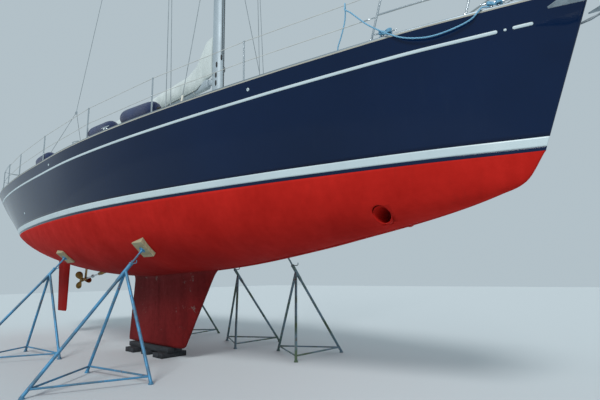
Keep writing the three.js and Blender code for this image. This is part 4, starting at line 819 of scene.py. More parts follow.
FINISHES: dict[str, Finish] = {
    # antifouling: painted shade darkens the red from 2.1 m down to 1.5 m, where shade falls under the hull
    "antifouling": Finish("antifouling", "c4221a", "b01c15", (0.7, 0.9), 0.0, Pattern.ROLLED_PAINT, 1.0,
                          0.0012,
                          gloss=0.1, runs=0.16, run_colour="5c2019", painted_underside_shade=(1.5, 2.1, "85100e")),
    "navy gelcoat": Finish("navy_gelcoat", "041a38", "071f41", (0.08, 0.14), 0.0, Pattern.CLOUDS, 0.5, 0.0006,
                           gloss=0.24, runs=0.08, run_colour="2c3a50"),
    "white stripe": Finish("white_stripe", "cfdde0", "c3d2d6", (0.25, 0.38), 0.0, Pattern.CLOUDS, 1.3, 0.0004,
                           runs=0.22, run_colour="8d9690"),
    "anodised rail": Finish("anodised_rail", "8f9ba3", "75828a", (0.35, 0.55), 0.75, Pattern.BRUSHED, 1.0,
                            0.0006,
                            runs=0.3, run_colour="4b5054"),
    "deck paint": Finish("deck_paint", "b7b6aa", "a8a69a", (0.7, 0.85), 0.0, Pattern.NON_SLIP, 1.0, 0.0012,
                         chips=0.05, chip_colour="a9a493"),
    "white gelcoat": Finish("white_gelcoat", "c4c8c4", "b8bab3", (0.22, 0.4), 0.0, Pattern.CLOUDS, 1.1,
                            0.0004,
                            runs=0.25, run_colour="9a9887"),
    "window glass": Finish("window_glass", "171d22", "222a30", (0.04, 0.1), 0.0, Pattern.CLOUDS, 2.0, 0.0002,
                           gloss=0.7),
    "hatch acrylic": Finish("hatch_acrylic", "2a3338", "364046", (0.08, 0.2), 0.0, Pattern.CLOUDS, 3.0,
                            0.0002,
                            gloss=0.6),
    "joinery": Finish("joinery", "8b5a34", "6c4325", (0.35, 0.5), 0.0, Pattern.WOOD, 1.6, 0.0008, coat=0.25),
    "teak": Finish("teak", "3b2b20", "a67f55", (0.55, 0.75), 0.0, Pattern.SLATS, 20.0, 0.002, sheen=0.1),
    "stainless": Finish("stainless", "c9d0d4", "b2babf", (0.12, 0.25), 1.0, Pattern.BRUSHED, 2.0, 0.0002,
                        chips=0.05, chip_colour="8a6a4c", chip_scale=5.0),
    "canvas": Finish("canvas", "d3dbd9", "c6cfcd", (0.85, 0.95), 0.0, Pattern.WEAVE, 420.0, 0.0007, Coords.UV,
                     sheen=0.25, runs=0.12, run_colour="948b76"),
    "sailcloth": Finish("sailcloth", "e4e2d8", "d3d0c3", (0.55, 0.7), 0.0, Pattern.WEAVE, 700.0, 0.0004,
                        Coords.UV,
                        runs=0.3, run_colour="9c9684"),
    "keel paint": Finish("keel_paint", "740809", "5a0607", (0.7, 0.9), 0.0, Pattern.ROLLED_PAINT, 1.7, 0.002,
                         gloss=0.25, runs=0.3, run_colour="43241c", chips=0.42, chip_colour="6b5a55",
                         chip_scale=1.8),
    "timber": Finish("timber", "303439", "1f2125", (0.8, 0.95), 0.0, Pattern.WOOD, 1.0, 0.003, chips=0.25,
                     chip_colour="37322c", chip_scale=3.0),
    "pale timber": Finish("timber", "b3a887", "8c8468", (0.8, 0.95), 0.0, Pattern.WOOD, 1.0, 0.003,
                          chips=0.25,
                     chip_colour="37322c", chip_scale=3.0),
    "stand paint": Finish("stand_paint", "6d8593", "546952", (0.5, 0.7), 0.35, Pattern.CAST, 1.0, 0.001,
                          runs=0.4,
                          run_colour="5b3a26", chips=0.5, chip_colour="6d4328", chip_scale=6.0),
    "stand paint blue": Finish("stand_paint", "4a8fb8", "587688", (0.5, 0.7), 0.35, Pattern.CAST, 1.0, 0.001,
                               runs=0.4,
                          run_colour="5b3a26", chips=0.5, chip_colour="6d4328", chip_scale=6.0),
    "bronze": Finish("bronze", "8f6c3a", "6a5a3a", (0.3, 0.55), 1.0, Pattern.CAST, 1.5, 0.0008, chips=0.25,
                     chip_colour="4e6a58", chip_scale=4.0),
    "spar alloy": Finish("spar_alloy", "b9c6cd", "a9b5bc", (0.42, 0.58), 0.3, Pattern.BRUSHED, 1.0, 0.0005,
                         runs=0.25, run_colour="6f777b"),
    "galvanised": Finish("galvanised", "a5b0b6", "8c979e", (0.45, 0.65), 0.7, Pattern.CAST, 2.0, 0.0015,
                         chips=0.35,
                         chip_colour="5a4330", chip_scale=3.0),
    "fender cover": Finish("fender_cover", "16264c", "1f3460", (0.85, 0.95), 0.0, Pattern.WEAVE, 260.0,
                           0.0012,
                           Coords.UV, sheen=0.3),
    "clear vinyl": Finish("hatch_acrylic", "b9c4c4", "aab5b3", (0.12, 0.3), 0.0, Pattern.CLOUDS, 2.0, 0.0006,
                          gloss=0.6,
                          clear=0.55),
    "wire rope": Finish("stainless", "8d979c", "7c868b", (0.45, 0.6), 0.5, Pattern.BRUSHED, 6.0, 0.0003),
    "rope white": Finish("rope", "d5d6d2", "b9bab6", (0.6, 0.8), 0.0, Pattern.CLOUDS, 8.0, 0.0004),
    "rubber": Finish("window_glass", "1d1f20", "2b2d2d", (0.6, 0.8), 0.0, Pattern.CLOUDS, 6.0, 0.0006),
    # rope: blue in the grooves, with a painted highlight in the light second colour on the strand crowns
    "rope": Finish("rope", "2f7fae", "8cc4e0", (0.8, 0.92), 0.0, Pattern.ROPE, 1.0, 0.003, Coords.UV,
                   sheen=0.15),
}


class Locker:
    """Holds the finishes once they are made, and dresses pieces with them."""

    def __init__(self) -> None:
        """Builds the groups; each material is built when it is first asked for."""
        self.groups: dict[object, bpy.types.NodeTree] = {pattern: make_pattern(pattern)
                                                         for pattern in Pattern}
        self.groups["runs"] = make_runs()
        self.groups["chips"] = make_chips()
        self.made: dict[str, bpy.types.Material] = {}

    def material(self, name: str) -> bpy.types.Material:
        """The material of a finish, built once."""
        if name not in self.made:
            self.made[name] = FINISHES[name].make(name, self.groups)
        return self.made[name]

    def dress(self, piece: bpy.types.Object, body: Body, finish: str,
              replaces: Sequence[str] = ()) -> bpy.types.Object:
        """Gives a new piece its finish and body.

        Args:
            piece: The piece.
            body: What it rides on.
            finish: The finish's name.
            replaces: The CAD nodes that it stands for.

        Returns:
            The piece.
        """
        piece.data.materials.clear()
        piece.data.materials.append(self.material(finish))
        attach(piece, body.value)
        if replaces:
            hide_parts(*replaces)
        LOG.info("piece %s, %d faces, finish %s", piece.name, len(piece.data.polygons), finish)
        return piece

    def add(self, name: str, surfaces: Sequence[Surface], body: Body, finish: str,
            replaces: Sequence[str] = (),
            sharp_deg: float = 40.0, wall: float = 0.0) -> bpy.types.Object:
        """Builds a piece from surfaces and dresses it.

        Args:
            name: The piece's name.
            surfaces: The grids it is made of.
            body: What it rides on.
            finish: The finish's name.
            replaces: The CAD nodes that it stands for.
            sharp_deg: Edges that turn more than this stay sharp.
            wall: The thickness given to an open skin, or 0 for none.

        Returns:
            The piece.
        """
        piece = put_mesh(name, surfaces, sharp_deg=sharp_deg)
        if wall:
            thicken(piece, wall)
        return self.dress(piece, body, finish, replaces)

    def dress_node(self, node: str, finish: str) -> None:
        """Gives a CAD node that stays in view its finish."""
        piece = frame["nodes"][node]
        piece.data.materials.clear()
        piece.data.materials.append(self.material(finish))
        LOG.info("node %s, finish %s", node, finish)


# The studio


@dataclass
class Studio:
    """The camera at the photograph's viewing angle, the floor and the soft light."""

    place: tuple[float, float, float] = (8.306, -4.628, 1.45)
    forward: tuple[float, float, float] = (-0.67444, 0.71899, 0.16791)
    right: tuple[float, float, float] = (0.72762, 0.68583, -0.01411)
    focal_px: float = 444.14
    image_width: int = 600
    sensor: float = 36.0
    floor_size: float = 90.0
    sky: str = "dcedf6"
    sky_strength: float = 0.72

    def camera(self) -> None:
        """Sets the camera: its axes are right, right x forward and minus forward."""
        forward = np.asarray(self.forward) / np.linalg.norm(self.forward)
        right = np.asarray(self.right) - forward * np.dot(self.right, forward)
        right /= np.linalg.norm(right)
        up = np.cross(right, forward)
        data = bpy.data.cameras.new("camera")
        data.sensor_width = self.sensor
        data.lens = self.focal_px / self.image_width * self.sensor
        data.clip_end = 300.0
        camera = bpy.data.objects.new("camera", data)
        turn = np.eye(4)
        turn[:3, 0], turn[:3, 1], turn[:3, 2], turn[:3, 3] = right, up, -forward, self.place
        camera.matrix_world = Matrix(turn.tolist())
        bpy.context.scene.collection.objects.link(camera)
        bpy.context.scene.camera = camera

    def floor(self) -> None:
        """A wide pale floor just under the stands' feet."""
        half = self.floor_size / 2
        side = np.linspace(-half, half, 3)
        x, y = np.meshgrid(side, side, indexing="ij")
        piece = put_mesh("floor", [Surface(np.stack([x, y, np.full_like(x, -0.001)], axis=-1))], smooth=False)
        material = bpy.data.materials.new("pale floor")
        material.use_nodes = True
        shader = material.node_tree.nodes["Principled BSDF"]
        shader.inputs["Base Color"].default_value = linear("c6ced1")
        shader.inputs["Roughness"].default_value = 0.9
        piece.data.materials.append(material)

    def lights(self) -> None:
        """A pale sky, a broad sun, and a weak fill from the other side."""
        world = bpy.data.worlds.new("pale sky")
        world.use_nodes = True
        back = world.node_tree.nodes["Background"]
        back.inputs["Color"].default_value = linear(self.sky)
        back.inputs["Strength"].default_value = self.sky_strength
        bpy.context.scene.world = world
        for name, turn, energy, angle in (("key", (48.0, 0.0, 28.0), 2.1, 18.0),
                                          ("fill", (62.0, 0.0, -150.0), 0.4, 60.0)):
            data = bpy.data.lights.new(name, "SUN")
            data.energy = energy
            data.angle = math.radians(angle)
            lamp = bpy.data.objects.new(name, data)
            lamp.rotation_euler = tuple(math.radians(a) for a in turn)
            bpy.context.scene.collection.objects.link(lamp)
        view = bpy.context.scene.view_settings
        view.view_transform = "Standard"
        view.exposure = -0.2

    def build(self) -> None:
        """Builds the camera, the floor and the lights."""
        self.camera()
        self.floor()
        self.lights()


# The hull


@dataclass
class HullForm:
    """The hull's surface, from the same sections as the part's source, in metres."""

    rows: Array = field(default_factory=lambda: np.array([
        [7.200, 0.030, 4.074, 0.012, 2.600, 2.592],
        [7.020, 0.118, 4.058, 0.075, 2.600, 2.337],
        [6.760, 0.255, 4.036, 0.170, 2.600, 2.233],
        [6.320, 0.456, 4.001, 0.331, 2.600, 2.121],
        [5.730, 0.682, 3.973, 0.520, 2.600, 2.010],
        [4.990, 0.923, 3.930, 0.729, 2.600, 1.897],
        [4.257, 1.141, 3.891, 0.922, 2.600, 1.791],
        [2.785, 1.495, 3.828, 1.240, 2.600, 1.622],
        [1.313, 1.749, 3.784, 1.475, 2.600, 1.525],
        [-0.159, 1.875, 3.760, 1.593, 2.600, 1.480],
        [-1.630, 1.866, 3.754, 1.584, 2.600, 1.552],
        [-3.100, 1.815, 3.762, 1.480, 2.600, 1.720],
        [-4.300, 1.720, 3.778, 1.330, 2.600, 1.940],
        [-5.200, 1.620, 3.795, 1.160, 2.640, 2.180],
        [-5.900, 1.520, 3.812, 1.010, 2.760, 2.440],
        [-6.950, 1.340, 3.840, 0.860, 3.080, 2.860],
    ]))
    waterline: float = 2.600
    front: float = 7.200
    stem_lean: float = 0.346
    lean_start: float = -2.200
    transom_foot: tuple[float, float] = (-6.900, 2.800)
    transom_head: tuple[float, float] = (-6.330, 3.900)
    camber: float = 0.045
    deck_thick: float = 0.022
    fullness: float = 0.66
    bilge: float = 0.4

    def at(self, x: Array) -> Array:
        """The section's numbers at places x: a cubic through the rows, with slopes from each row's neighbours.

        Args:
            x: Places at the waterline, of any shape.

        Returns:
            Deck half breadth, deck height, turn half breadth, turn height and keel height, in a last axis of five.
        """
        return smooth_rows(self.rows, x)

    def section(self, x: Array, u: Array) -> tuple[Array, Array]:
        """A point of the half section: a cubic curve from the keel to the turn for u to 0.5, then a slightly full side.

        Args:
            x: Places at the waterline.
            u: 0 at the keel line, 0.5 at the turn, 1 at the deck edge.

        Returns:
            Half breadth and height.
        """
        deck_half, deck_z, turn_half, turn_z, keel_z = np.moveaxis(self.at(x), -1, 0)
        flare = (deck_half - turn_half) / (deck_z - turn_z)
        depth = turn_z - keel_z
        t = np.clip(2 * u, 0.0, 1.0)
        b1, b2, b3 = 3 * (1 - t) ** 2 * t, 3 * (1 - t) * t ** 2, t ** 3
        y_low = b1 * self.fullness * turn_half + b2 * (turn_half - self.bilge * depth * flare) + b3 * turn_half
        z_low = ((1 - t) ** 3 + b1) * keel_z + b2 * (turn_z - self.bilge * depth) + b3 * turn_z
        s = np.clip(2 * u - 1, 0.0, 1.0)
        y_high = turn_half + (deck_half - turn_half) * s + 0.08 * turn_half * s * (1 - s)
        z_high = turn_z + (deck_z - turn_z) * s
        return np.where(u < 0.5, y_low, y_high), np.where(u < 0.5, z_low, z_high)

    def level(self, x: Array, z: Array) -> Array:
        """Where on the half section a height is reached: u by halving the span, 0 below the keel, 1 above the deck."""
        low, high = np.zeros(np.broadcast(x, z).shape), np.ones(np.broadcast(x, z).shape)
        x, z = np.broadcast_to(x, low.shape), np.broadcast_to(z, low.shape)
        for _ in range(34):
            middle = (low + high) / 2
            over = self.section(x, middle)[1] > z
            high = np.where(over, middle, high)
            low = np.where(over, low, middle)
        return np.where(high < 1e-6, 0.0, np.where(low > 1 - 1e-6, 1.0, (low + high) / 2))

    def lean(self, x: Array, z: Array) -> Array:
        """The real place of a point: the sections lean forward above the waterline, more towards the bow."""
        share = np.clip((x - self.lean_start) / (self.front - self.lean_start), 0.0, None)
        return x + self.stem_lean * share ** 0.8 * np.clip(z - self.waterline, 0.0, None)

    def waterline_place(self, x: Array, z: Array) -> Array:
        """The waterline place whose leaning section passes x at height z, by repeated correction."""
        nominal = np.array(x, dtype=float) + 0.0 * z
        for _ in range(14):
            nominal = nominal - (self.lean(nominal, z) - x)
        return nominal

    def transom(self, z: Array) -> Array:
        """Place of the transom at a height."""
        (x0, z0), (x1, z1) = self.transom_foot, self.transom_head
        return x0 + (z - z0) * (x1 - x0) / (z1 - z0)

    def deck_edge(self, x: Array) -> tuple[Array, Array]:
        """Half breadth and height of the deck edge at real places x."""
        nominal = np.array(x, dtype=float)
        for _ in range(14):
            nominal = nominal - (self.lean(nominal, self.at(nominal)[..., 1]) - x)
        row = self.at(nominal)
        return row[..., 0], row[..., 1]

    def deck(self, x: Array, y: Array) -> Array:
        """Height of the deck's upper face: the edge's height, plus the crown, which falls with the square of y."""
        half, z = self.deck_edge(np.asarray(x, dtype=float))
        return z + self.camber * half * (1 - (y / half) ** 2) + self.deck_thick

    def side(self, x: Array, z: Array) -> Array:
        """Half breadth of the topsides or bottom at a real place and height."""
        nominal = self.waterline_place(np.asarray(x, dtype=float), np.asarray(z, dtype=float))
        return self.section(nominal, self.level(nominal, np.asarray(z, dtype=float)))[0]

    def under(self, x: Array, y: Array) -> Array:
        """Height of the hull's bottom over the point x, y, by halving the span of u."""
        x, y = np.broadcast_arrays(np.asarray(x, dtype=float), np.abs(np.asarray(y, dtype=float)))
        low, high = np.zeros(x.shape), np.full(x.shape, 0.5)
        for _ in range(30):
            middle = (low + high) / 2
            over = self.section(x, middle)[0] > y
            high, low = np.where(over, middle, high), np.where(over, low, middle)
        return self.section(x, low)[1]

    def band(self, low: float, high: float, stations: int = 90, steps: int = 12,
             ledge: float = 0.0) -> Surface:
        """The skin between two heights, from the stern on one side round the stem to the stern on the other.

        Args:
            low: Its lower height; below the keel it starts on the keel line.
            high: Its upper height; above the deck it ends on the deck edge.
            stations: Columns on each side.
            steps: Rows.
            ledge: Width of the part that turns in over the deck edge.

        Returns:
            The open skin.
        """
        t = np.linspace(0, 1, steps)[None, :]
        places = np.linspace(self.front, -6.95, 6000)
        keel = self.at(places)[:, 4]
        end = float(places[np.argmax(keel > high)]) if np.any(keel > high) else -9.0
        spread = np.linspace(0, 1, stations)[:, None]
        s = spread ** 2 * (3 - 2 * spread)
        if low > float(keel.min()) and np.any(keel > low):
            cross = float(places[np.argmax((keel > low) & (places < 0.0))])
            share = (cross - self.front) / (max(float(self.transom(low)), end) - self.front)
            s = np.unique(np.concatenate([s, share - 0.05 * np.linspace(1, 0, 30)[:, None] ** 2]))[:, None]
        x = self.front + (-6.6 - self.front) * s + 0.0 * t
        for _ in range(8):
            first, last = self.level(x, np.full_like(x, low)), self.level(x, np.full_like(x, high))
            y, z = self.section(x, first + (last - first) * t)
            x = self.front + (np.maximum(self.transom(z), end) - self.front) * s
        if ledge > 0.0:
            row = self.at(x[:, -1])
            inset = np.minimum(ledge * np.array([0.15, 0.5, 1.0])[None, :], 0.98 * row[:, 0:1])
            across = 1 - inset / row[:, 0:1]
            top = row[:, 1:2] + self.camber * row[:, 0:1] * (1 - across ** 2)
            x = np.concatenate([x, np.repeat(x[:, -1:], 3, axis=1)], axis=1)
            y = np.concatenate([y, row[:, 0:1] * across], axis=1)
            z = np.concatenate([z, top], axis=1)
            lean_z = np.concatenate([z[:, :-3], np.repeat(row[:, 1:2], 3, axis=1)], axis=1)
        else:
            lean_z = z
        side = np.stack([self.lean(x, lean_z), y, z], axis=-1)
        turn = np.radians(np.linspace(-90, 90, 9))[1:-1]
        stem = np.stack([side[0, :, 0][None] + 0.7 * side[0, :, 1][None] * np.cos(turn)[:, None],
                         side[0, :, 1][None] * np.sin(turn)[:, None],
                         np.repeat(side[0, :, 2][None], len(turn), axis=0)], axis=-1)
        other = side * OTHER_SIDE
        return outward(Surface(np.concatenate([other[::-1], stem, side])), (0.0, 0.0, 3.0))


@dataclass
class Hull:
    """The hull's skins, stripes, bow thruster tunnel and through-hulls."""

    form: HullForm
    stripe_low: float = 2.640
    stripe_high: float = 2.733
    wall: float = 0.012
    ledge: float = 0.070
    cove_drop: float = 0.220
    cove_width: float = 0.035
    cove_front: float = 6.975
    cove_back: float = -6.300
    thruster: tuple[float, float, float] = (5.560, 2.120, 0.100)

    def transom(self) -> Surface:
        """The flat stern: its outline drawn in to its middle, each point at middle + share * (edge - middle)."""
        f = self.form
        z_side = np.linspace(0.0, 1.0, 24)
        x = np.full(24, -6.6)
        for _ in range(10):
            y, z = f.section(x, z_side)
            x = f.transom(z)
        half, top = y[-1], z[-1]
        across = np.linspace(1.0, -1.0, 25)[1:-1]
        crown = np.stack([np.full(23, f.transom(top)), half * across,
                          top + f.camber * half * (1 - across ** 2)], axis=1)
        crown[:, 0] = f.transom(crown[:, 2])
        port = np.stack([x, y, z], axis=1)
        starboard = (port * OTHER_SIDE)[::-1][:-1]
        outline = np.concatenate([port, crown, starboard])
        middle = np.array([0.0, 0.0, 3.45])
        middle[0] = f.transom(middle[2])
        share = np.array([1.0, 0.97, 0.7, 0.4, 0.004])[:, None, None]
        surface = Surface(middle + share * (outline - middle)[None], wrap=True, cap_last=True)
        return outward(surface, (0.0, 0.0, 3.0))

    def skins(self, locker: Locker) -> None:
        """The four painted bands of the hull, each a skin with a wall."""
        f = self.form
        bands = (
            ("topsides_skin", self.stripe_high, 9.0, 26, self.ledge, "navy gelcoat", ("hull_topsides",)),
            ("white_boot_stripe", self.stripe_low, self.stripe_high, 7, 0.0, "white stripe",
             ("boot_stripe",)),
            ("navy_boot_line", f.waterline, self.stripe_low, 5, 0.0, "navy gelcoat", ("boot_line",)),
            ("underwater_skin", 0.0, f.waterline, 34, 0.0, "antifouling", ("hull_bottom",)),
        )
        for name, low, high, steps, ledge, finish, nodes in bands:
            surfaces = [f.band(low, high, 170, steps, ledge)]
            if ledge > 0.0:
                surfaces.append(self.transom())
            piece = put_mesh(name, surfaces)
            thicken(piece, self.wall)
            if name == "underwater_skin":
                x, z, radius = self.thruster
                hole = put_mesh("tunnel_cutter", [tube([(x, -1.2, z), (x, 1.2, z)], radius, 40)])
                cut(piece, [hole])
            locker.dress(piece, Body.YACHT, finish, nodes)

    def tunnel(self, locker: Locker) -> None:
        """The bow thruster's tunnel as a pipe with an inner wall, and the drive and propeller inside it."""
        x, z, radius = self.thruster
        half = float(self.form.side(x, z)) - 0.010
        turn = np.arange(48) * TAU / 48
        y = np.array([-half, half, half, -half])
        r = np.array([radius, radius, radius - 0.008, radius - 0.008])
        ring = np.stack([x + r[:, None] * np.cos(turn), np.repeat(y[:, None], 48, axis=1),
                         z + r[:, None] * np.sin(turn)], axis=-1)
        slope = np.stack([np.cos(turn) * 0.0, np.cos(turn) * radius * -0.30 + np.sin(turn) * radius * 0.55],
                         axis=1)
        shift = np.array([-1.0, 1.0, 1.0, -1.0])[:, None] * slope[:, 1][None]
        ring[:, :, 1] += shift
        pipe = Surface(np.concatenate([ring, ring[:1]]), wrap=True)
        locker.add("thruster_tunnel", [pipe], Body.YACHT, "antifouling")
        parts = [lathe([(0.0, -0.07), (0.028, -0.055), (0.038, 0.0), (0.03, 0.055), (0.0, 0.075)],
                       (x, 0.0, z), PORT, 24), tube([(x, 0.0, z + 0.03), (x, 0.0, z + radius - 0.004)], 0.016,
                                                    16, up=AHEAD)]
        for k in range(4):
            angle = k * TAU / 4 + 0.4
            t = np.linspace(0.0, 1.0, 7)
            reach = 0.03 + 0.058 * t
            wide = 0.034 * np.sin(np.pi * np.clip(t * 0.8 + 0.15, 0, 1)) + 0.004
            path = np.stack([x + reach * math.cos(angle), np.full(7, 0.055), z + reach * math.sin(angle)],
                            axis=1)
            parts.append(loft(carry(path, circle(1.0, 12, 0.12), (0.0, 1.0, 0.35), wide)))
        locker.add("thruster_drive", parts, Body.YACHT, "bronze")

    def cove(self, locker: Locker) -> None:
        """The thin white line under the deck edge, with a spot and a short dash before its front end."""
        f = self.form
        for side, label in ((1.0, "port"), (-1.0, "starboard")):
            surfaces = []
            runs = ((self.cove_front, self.cove_back, 140, 1.0), (7.052, 7.026, 7, 0.7),
                    (7.268, 7.100, 16, 0.9))
            for front, back, count, tall in runs:
                nose = min(self.cove_width * tall, front - back) / 2
                arc = nose * (1.0 - np.cos(np.linspace(0.15, 1.0, 6) * math.pi / 2))
                x = np.concatenate([front - arc, np.linspace(front - nose, back + nose, count)[1:-1],
                                    back + arc[::-1]])
                deck = f.deck_edge(x)[1]
                reach = np.clip(np.minimum(front - x, x - back) / nose, 0.0, 1.0)
                share = np.sqrt(1.0 - (1.0 - reach) ** 2)
                drop = np.linspace(-0.5, 0.5, 4)[None, :] * self.cove_width * tall * share[:, None]
                z = (deck - self.cove_drop)[:, None] + drop
                xx = np.repeat(x[:, None], 4, axis=1)
                y = f.side(xx, z) + 0.0025
                surfaces.append(outward(Surface(np.stack([xx, side * y, z], axis=-1)), (0.0, 0.0, 3.4)))
            locker.add("cove_line_" + label, surfaces, Body.YACHT, "white stripe", ("cove_stripe_" + label,),
                       wall=0.003)

    def through_hulls(self, locker: Locker) -> None:
        """Small drain fittings on the topsides."""
        f = self.form
        spots = ((4.226, 3.771, -1.0), (-0.944, 3.631, -1.0), (-3.2, 2.95, -1.0), (-2.6, 3.35, 1.0),
                 (2.4, 3.3, 1.0), (-4.9, 3.0, 1.0))
        parts = []
        for x, z, side in spots:
            y = float(f.side(x, z))
            dz = float(f.side(x, z + 0.05)) - float(f.side(x, z - 0.05))
            axis = (0.0, side * 0.1, -dz)
            profile = [(0.0, -0.006), (0.022, -0.006), (0.022, 0.003), (0.018, 0.007), (0.011, 0.007),
                       (0.010, 0.002), (0.0, 0.001)]
            parts.append(lathe(profile, (x, side * y, z), axis, 28))
        locker.add("through_hulls", parts, Body.YACHT, "white stripe")

    def build(self, locker: Locker) -> None:
        """Builds every piece of the hull."""
        self.skins(locker)
        self.tunnel(locker)
        self.cove(locker)
        self.through_hulls(locker)


# The mooring rope


@dataclass
class MooringRope:
    """A laid rope from the bow cleat over the rail and the guard wire to the side deck and the next cleat."""

    form: HullForm
    radius: float = 0.008
    rail_height: float = 0.042
    guard_height: float = 0.590
    steps: int = 420
    lay: float = 0.034

    def route(self) -> Array:
        """The route's points, each from its place along the deck edge, as in the part's source.

        Returns:
            Points, in metres.
        """
        f = self.form
        lying = self.radius + 0.0046

        def half(x: Array) -> Array:
            """Half breadth of the deck edge."""
            return f.deck_edge(x)[0]

        def beside(p: Array) -> Array:
            """Outside the edge: place, drop below the edge, and distance out."""
            return np.stack([p[:, 0], -(half(p[:, 0]) + p[:, 2]), f.deck_edge(p[:, 0])[1] - p[:, 1]], axis=1)

        def onto(p: Array) -> Array:
            """Inside the edge: place, distance in, and lift over the deck."""
            y = half(p[:, 0]) - p[:, 1]
            return np.stack([p[:, 0], -y, f.deck(p[:, 0], y) + p[:, 2]], axis=1)

        def on_rail(p: Array) -> Array:
            """Over the toe rail: place, distance in, and lift over the rail."""
            y = half(p[:, 0]) - p[:, 1]
            return np.stack([p[:, 0], -y, f.deck_edge(p[:, 0])[1] + self.rail_height + p[:, 2]], axis=1)

        start = np.array([[6.9538, 0.025, 0.012], [6.918, 0.018, 0.014]])
        hanging = np.array([[6.88, -0.05, 0.008], [6.842, -0.004, 0.018], [6.8, 0.04, 0.02],
                            [6.746, 0.068, 0.02], [6.637, 0.1, 0.02], [6.509, 0.122, 0.02],
                            [6.387, 0.125, 0.02], [6.273, 0.104, 0.02], [6.147, 0.06, 0.02],
                            [6.019, -0.018, 0.02], [5.897, -0.113, 0.02], [5.781, -0.218, 0.02],
                            [5.668, -0.349, 0.02], [5.59, -0.44, 0.016], [5.535, -0.49, 0.01]])
        over_wire = np.array([[5.514, 0.028, -0.06], [5.504, 0.045, -0.028], [5.494, 0.063, -0.0075],
                              [5.48, 0.087, 0.0], [5.466, 0.111, -0.0075], [5.456, 0.129, -0.028],
                              [5.45, 0.138, -0.062]]) + np.array([0.0, 0.0, self.guard_height + self.radius])
        deck = np.array([[5.438, 0.142, 0.42], [5.385, 0.148, 0.24], [5.336, 0.157, 0.12],
                         [5.334, 0.161, 0.072], [5.352, 0.165, 0.03], [5.394, 0.17, lying],
                         [5.45, 0.173, lying], [5.56, 0.162, lying], [5.71, 0.126, lying],
                         [5.8, 0.102, lying + 0.004]])
        end = np.array([[5.862, 0.056, 0.014], [5.898, 0.032, 0.013], [5.925, 0.025, 0.012]])
        return np.concatenate([on_rail(start), beside(hanging), onto(over_wire), onto(deck), on_rail(end)])

    def belay(self, x: float, turns: float) -> Surface:
        """The figure-of-eight turns on a cleat: (a cos p, b sin 2p), rising a little with each turn.

        Args:
            x: The cleat's place.
            turns: How many turns.

        Returns:
            The closed rope.
        """
        f = self.form
        half, edge = (float(v) for v in f.deck_edge(x))
        toe = float(f.deck_edge(x + 0.11)[0] - f.deck_edge(x - 0.11)[0]) / 0.22
        p = np.linspace(0.0, TAU * turns, int(48 * turns))
        along, across = 0.062 * np.cos(p), 0.021 * np.sin(2 * p)
        lift = self.rail_height + 0.026 + 0.010 * p / TAU + 0.004 * np.cos(2 * p)
        path = np.stack([x + along, -(half - 0.025 + toe * along - across), edge + lift], axis=1)
        rope = tube(path, self.radius, 12)
        rope.uv_size = (float(np.linalg.norm(np.diff(path, axis=0), axis=1).sum()) / self.lay, 3.0)
        return rope

    def build(self, locker: Locker) -> None:
        """Builds the rope as a tube along a smooth curve through the route, its UV in turns of the lay."""
        path = spline(self.route(), self.steps)
        surface = tube(path, self.radius, 14)
        length = float(np.sum(np.linalg.norm(np.diff(path, axis=0), axis=1)))
        surface.uv_size = (length / self.lay, 3.0)
        piece = locker.add("mooring_rope_laid", [surface], Body.YACHT, "rope", ("mooring_rope",))
        turns = locker.add("mooring_rope_turns", [self.belay(6.980, 3.0), self.belay(5.950, 4.0)], Body.YACHT,
                           "rope")
        LOG.info("mooring rope is %.3f m long", length)


# Keel, rudder, stern gear and what the yacht stands on


@dataclass
class FinKeel:
    """The fin keel: a foil that tapers down to a rounded foot and spreads where it meets the hull."""

    form: HullForm
    top: float = 1.760
    bottom: float = 0.180
    lead: tuple[float, float] = (1.075, 2.095)
    trail: tuple[float, float] = (-1.062, -0.865)
    thick: tuple[float, float] = (0.240, 0.340)

    def build(self, locker: Locker) -> None:
        """Builds the keel from foil sections, with slow waves of a few millimetres and a root fillet."""
        t = np.concatenate([[0.0, 0.003, 0.008, 0.015, 0.024], np.linspace(0.035, 1.0, 70)])[:, None]
        nip = np.clip(1 - t / 0.03, 0.0, 1.0) ** 2
        section = foil(96)
        lead = self.lead[0] + (self.lead[1] - self.lead[0]) * t - 0.055 * nip
        trail = self.trail[0] + (self.trail[1] - self.trail[0]) * t + 0.010 * nip
        thick = (self.thick[0] + (self.thick[1] - self.thick[0]) * t) * (1 - 0.28 * nip)
        x = lead + (trail - lead) * section[:, 0]
        z = np.broadcast_to(self.bottom + (self.top - self.bottom) * t, x.shape)
        y = thick * section[:, 1]
        gap = np.maximum(self.form.under(x, np.zeros_like(x)) - z, 0.0)
        wave = 0.0016 * np.sin(7.3 * x + 3 * z) * np.sin(9.1 * z + 1.0) + 0.0009 * np.sin(23 * x) * np.sin(17 * z)
        y = y + np.sign(y) * (0.032 * np.exp(-gap / 0.045) + wave)
        locker.add("fin_keel_foil", [loft(np.stack([x, y, z], axis=-1))], Body.YACHT, "keel paint",
                   ("fin_keel",))


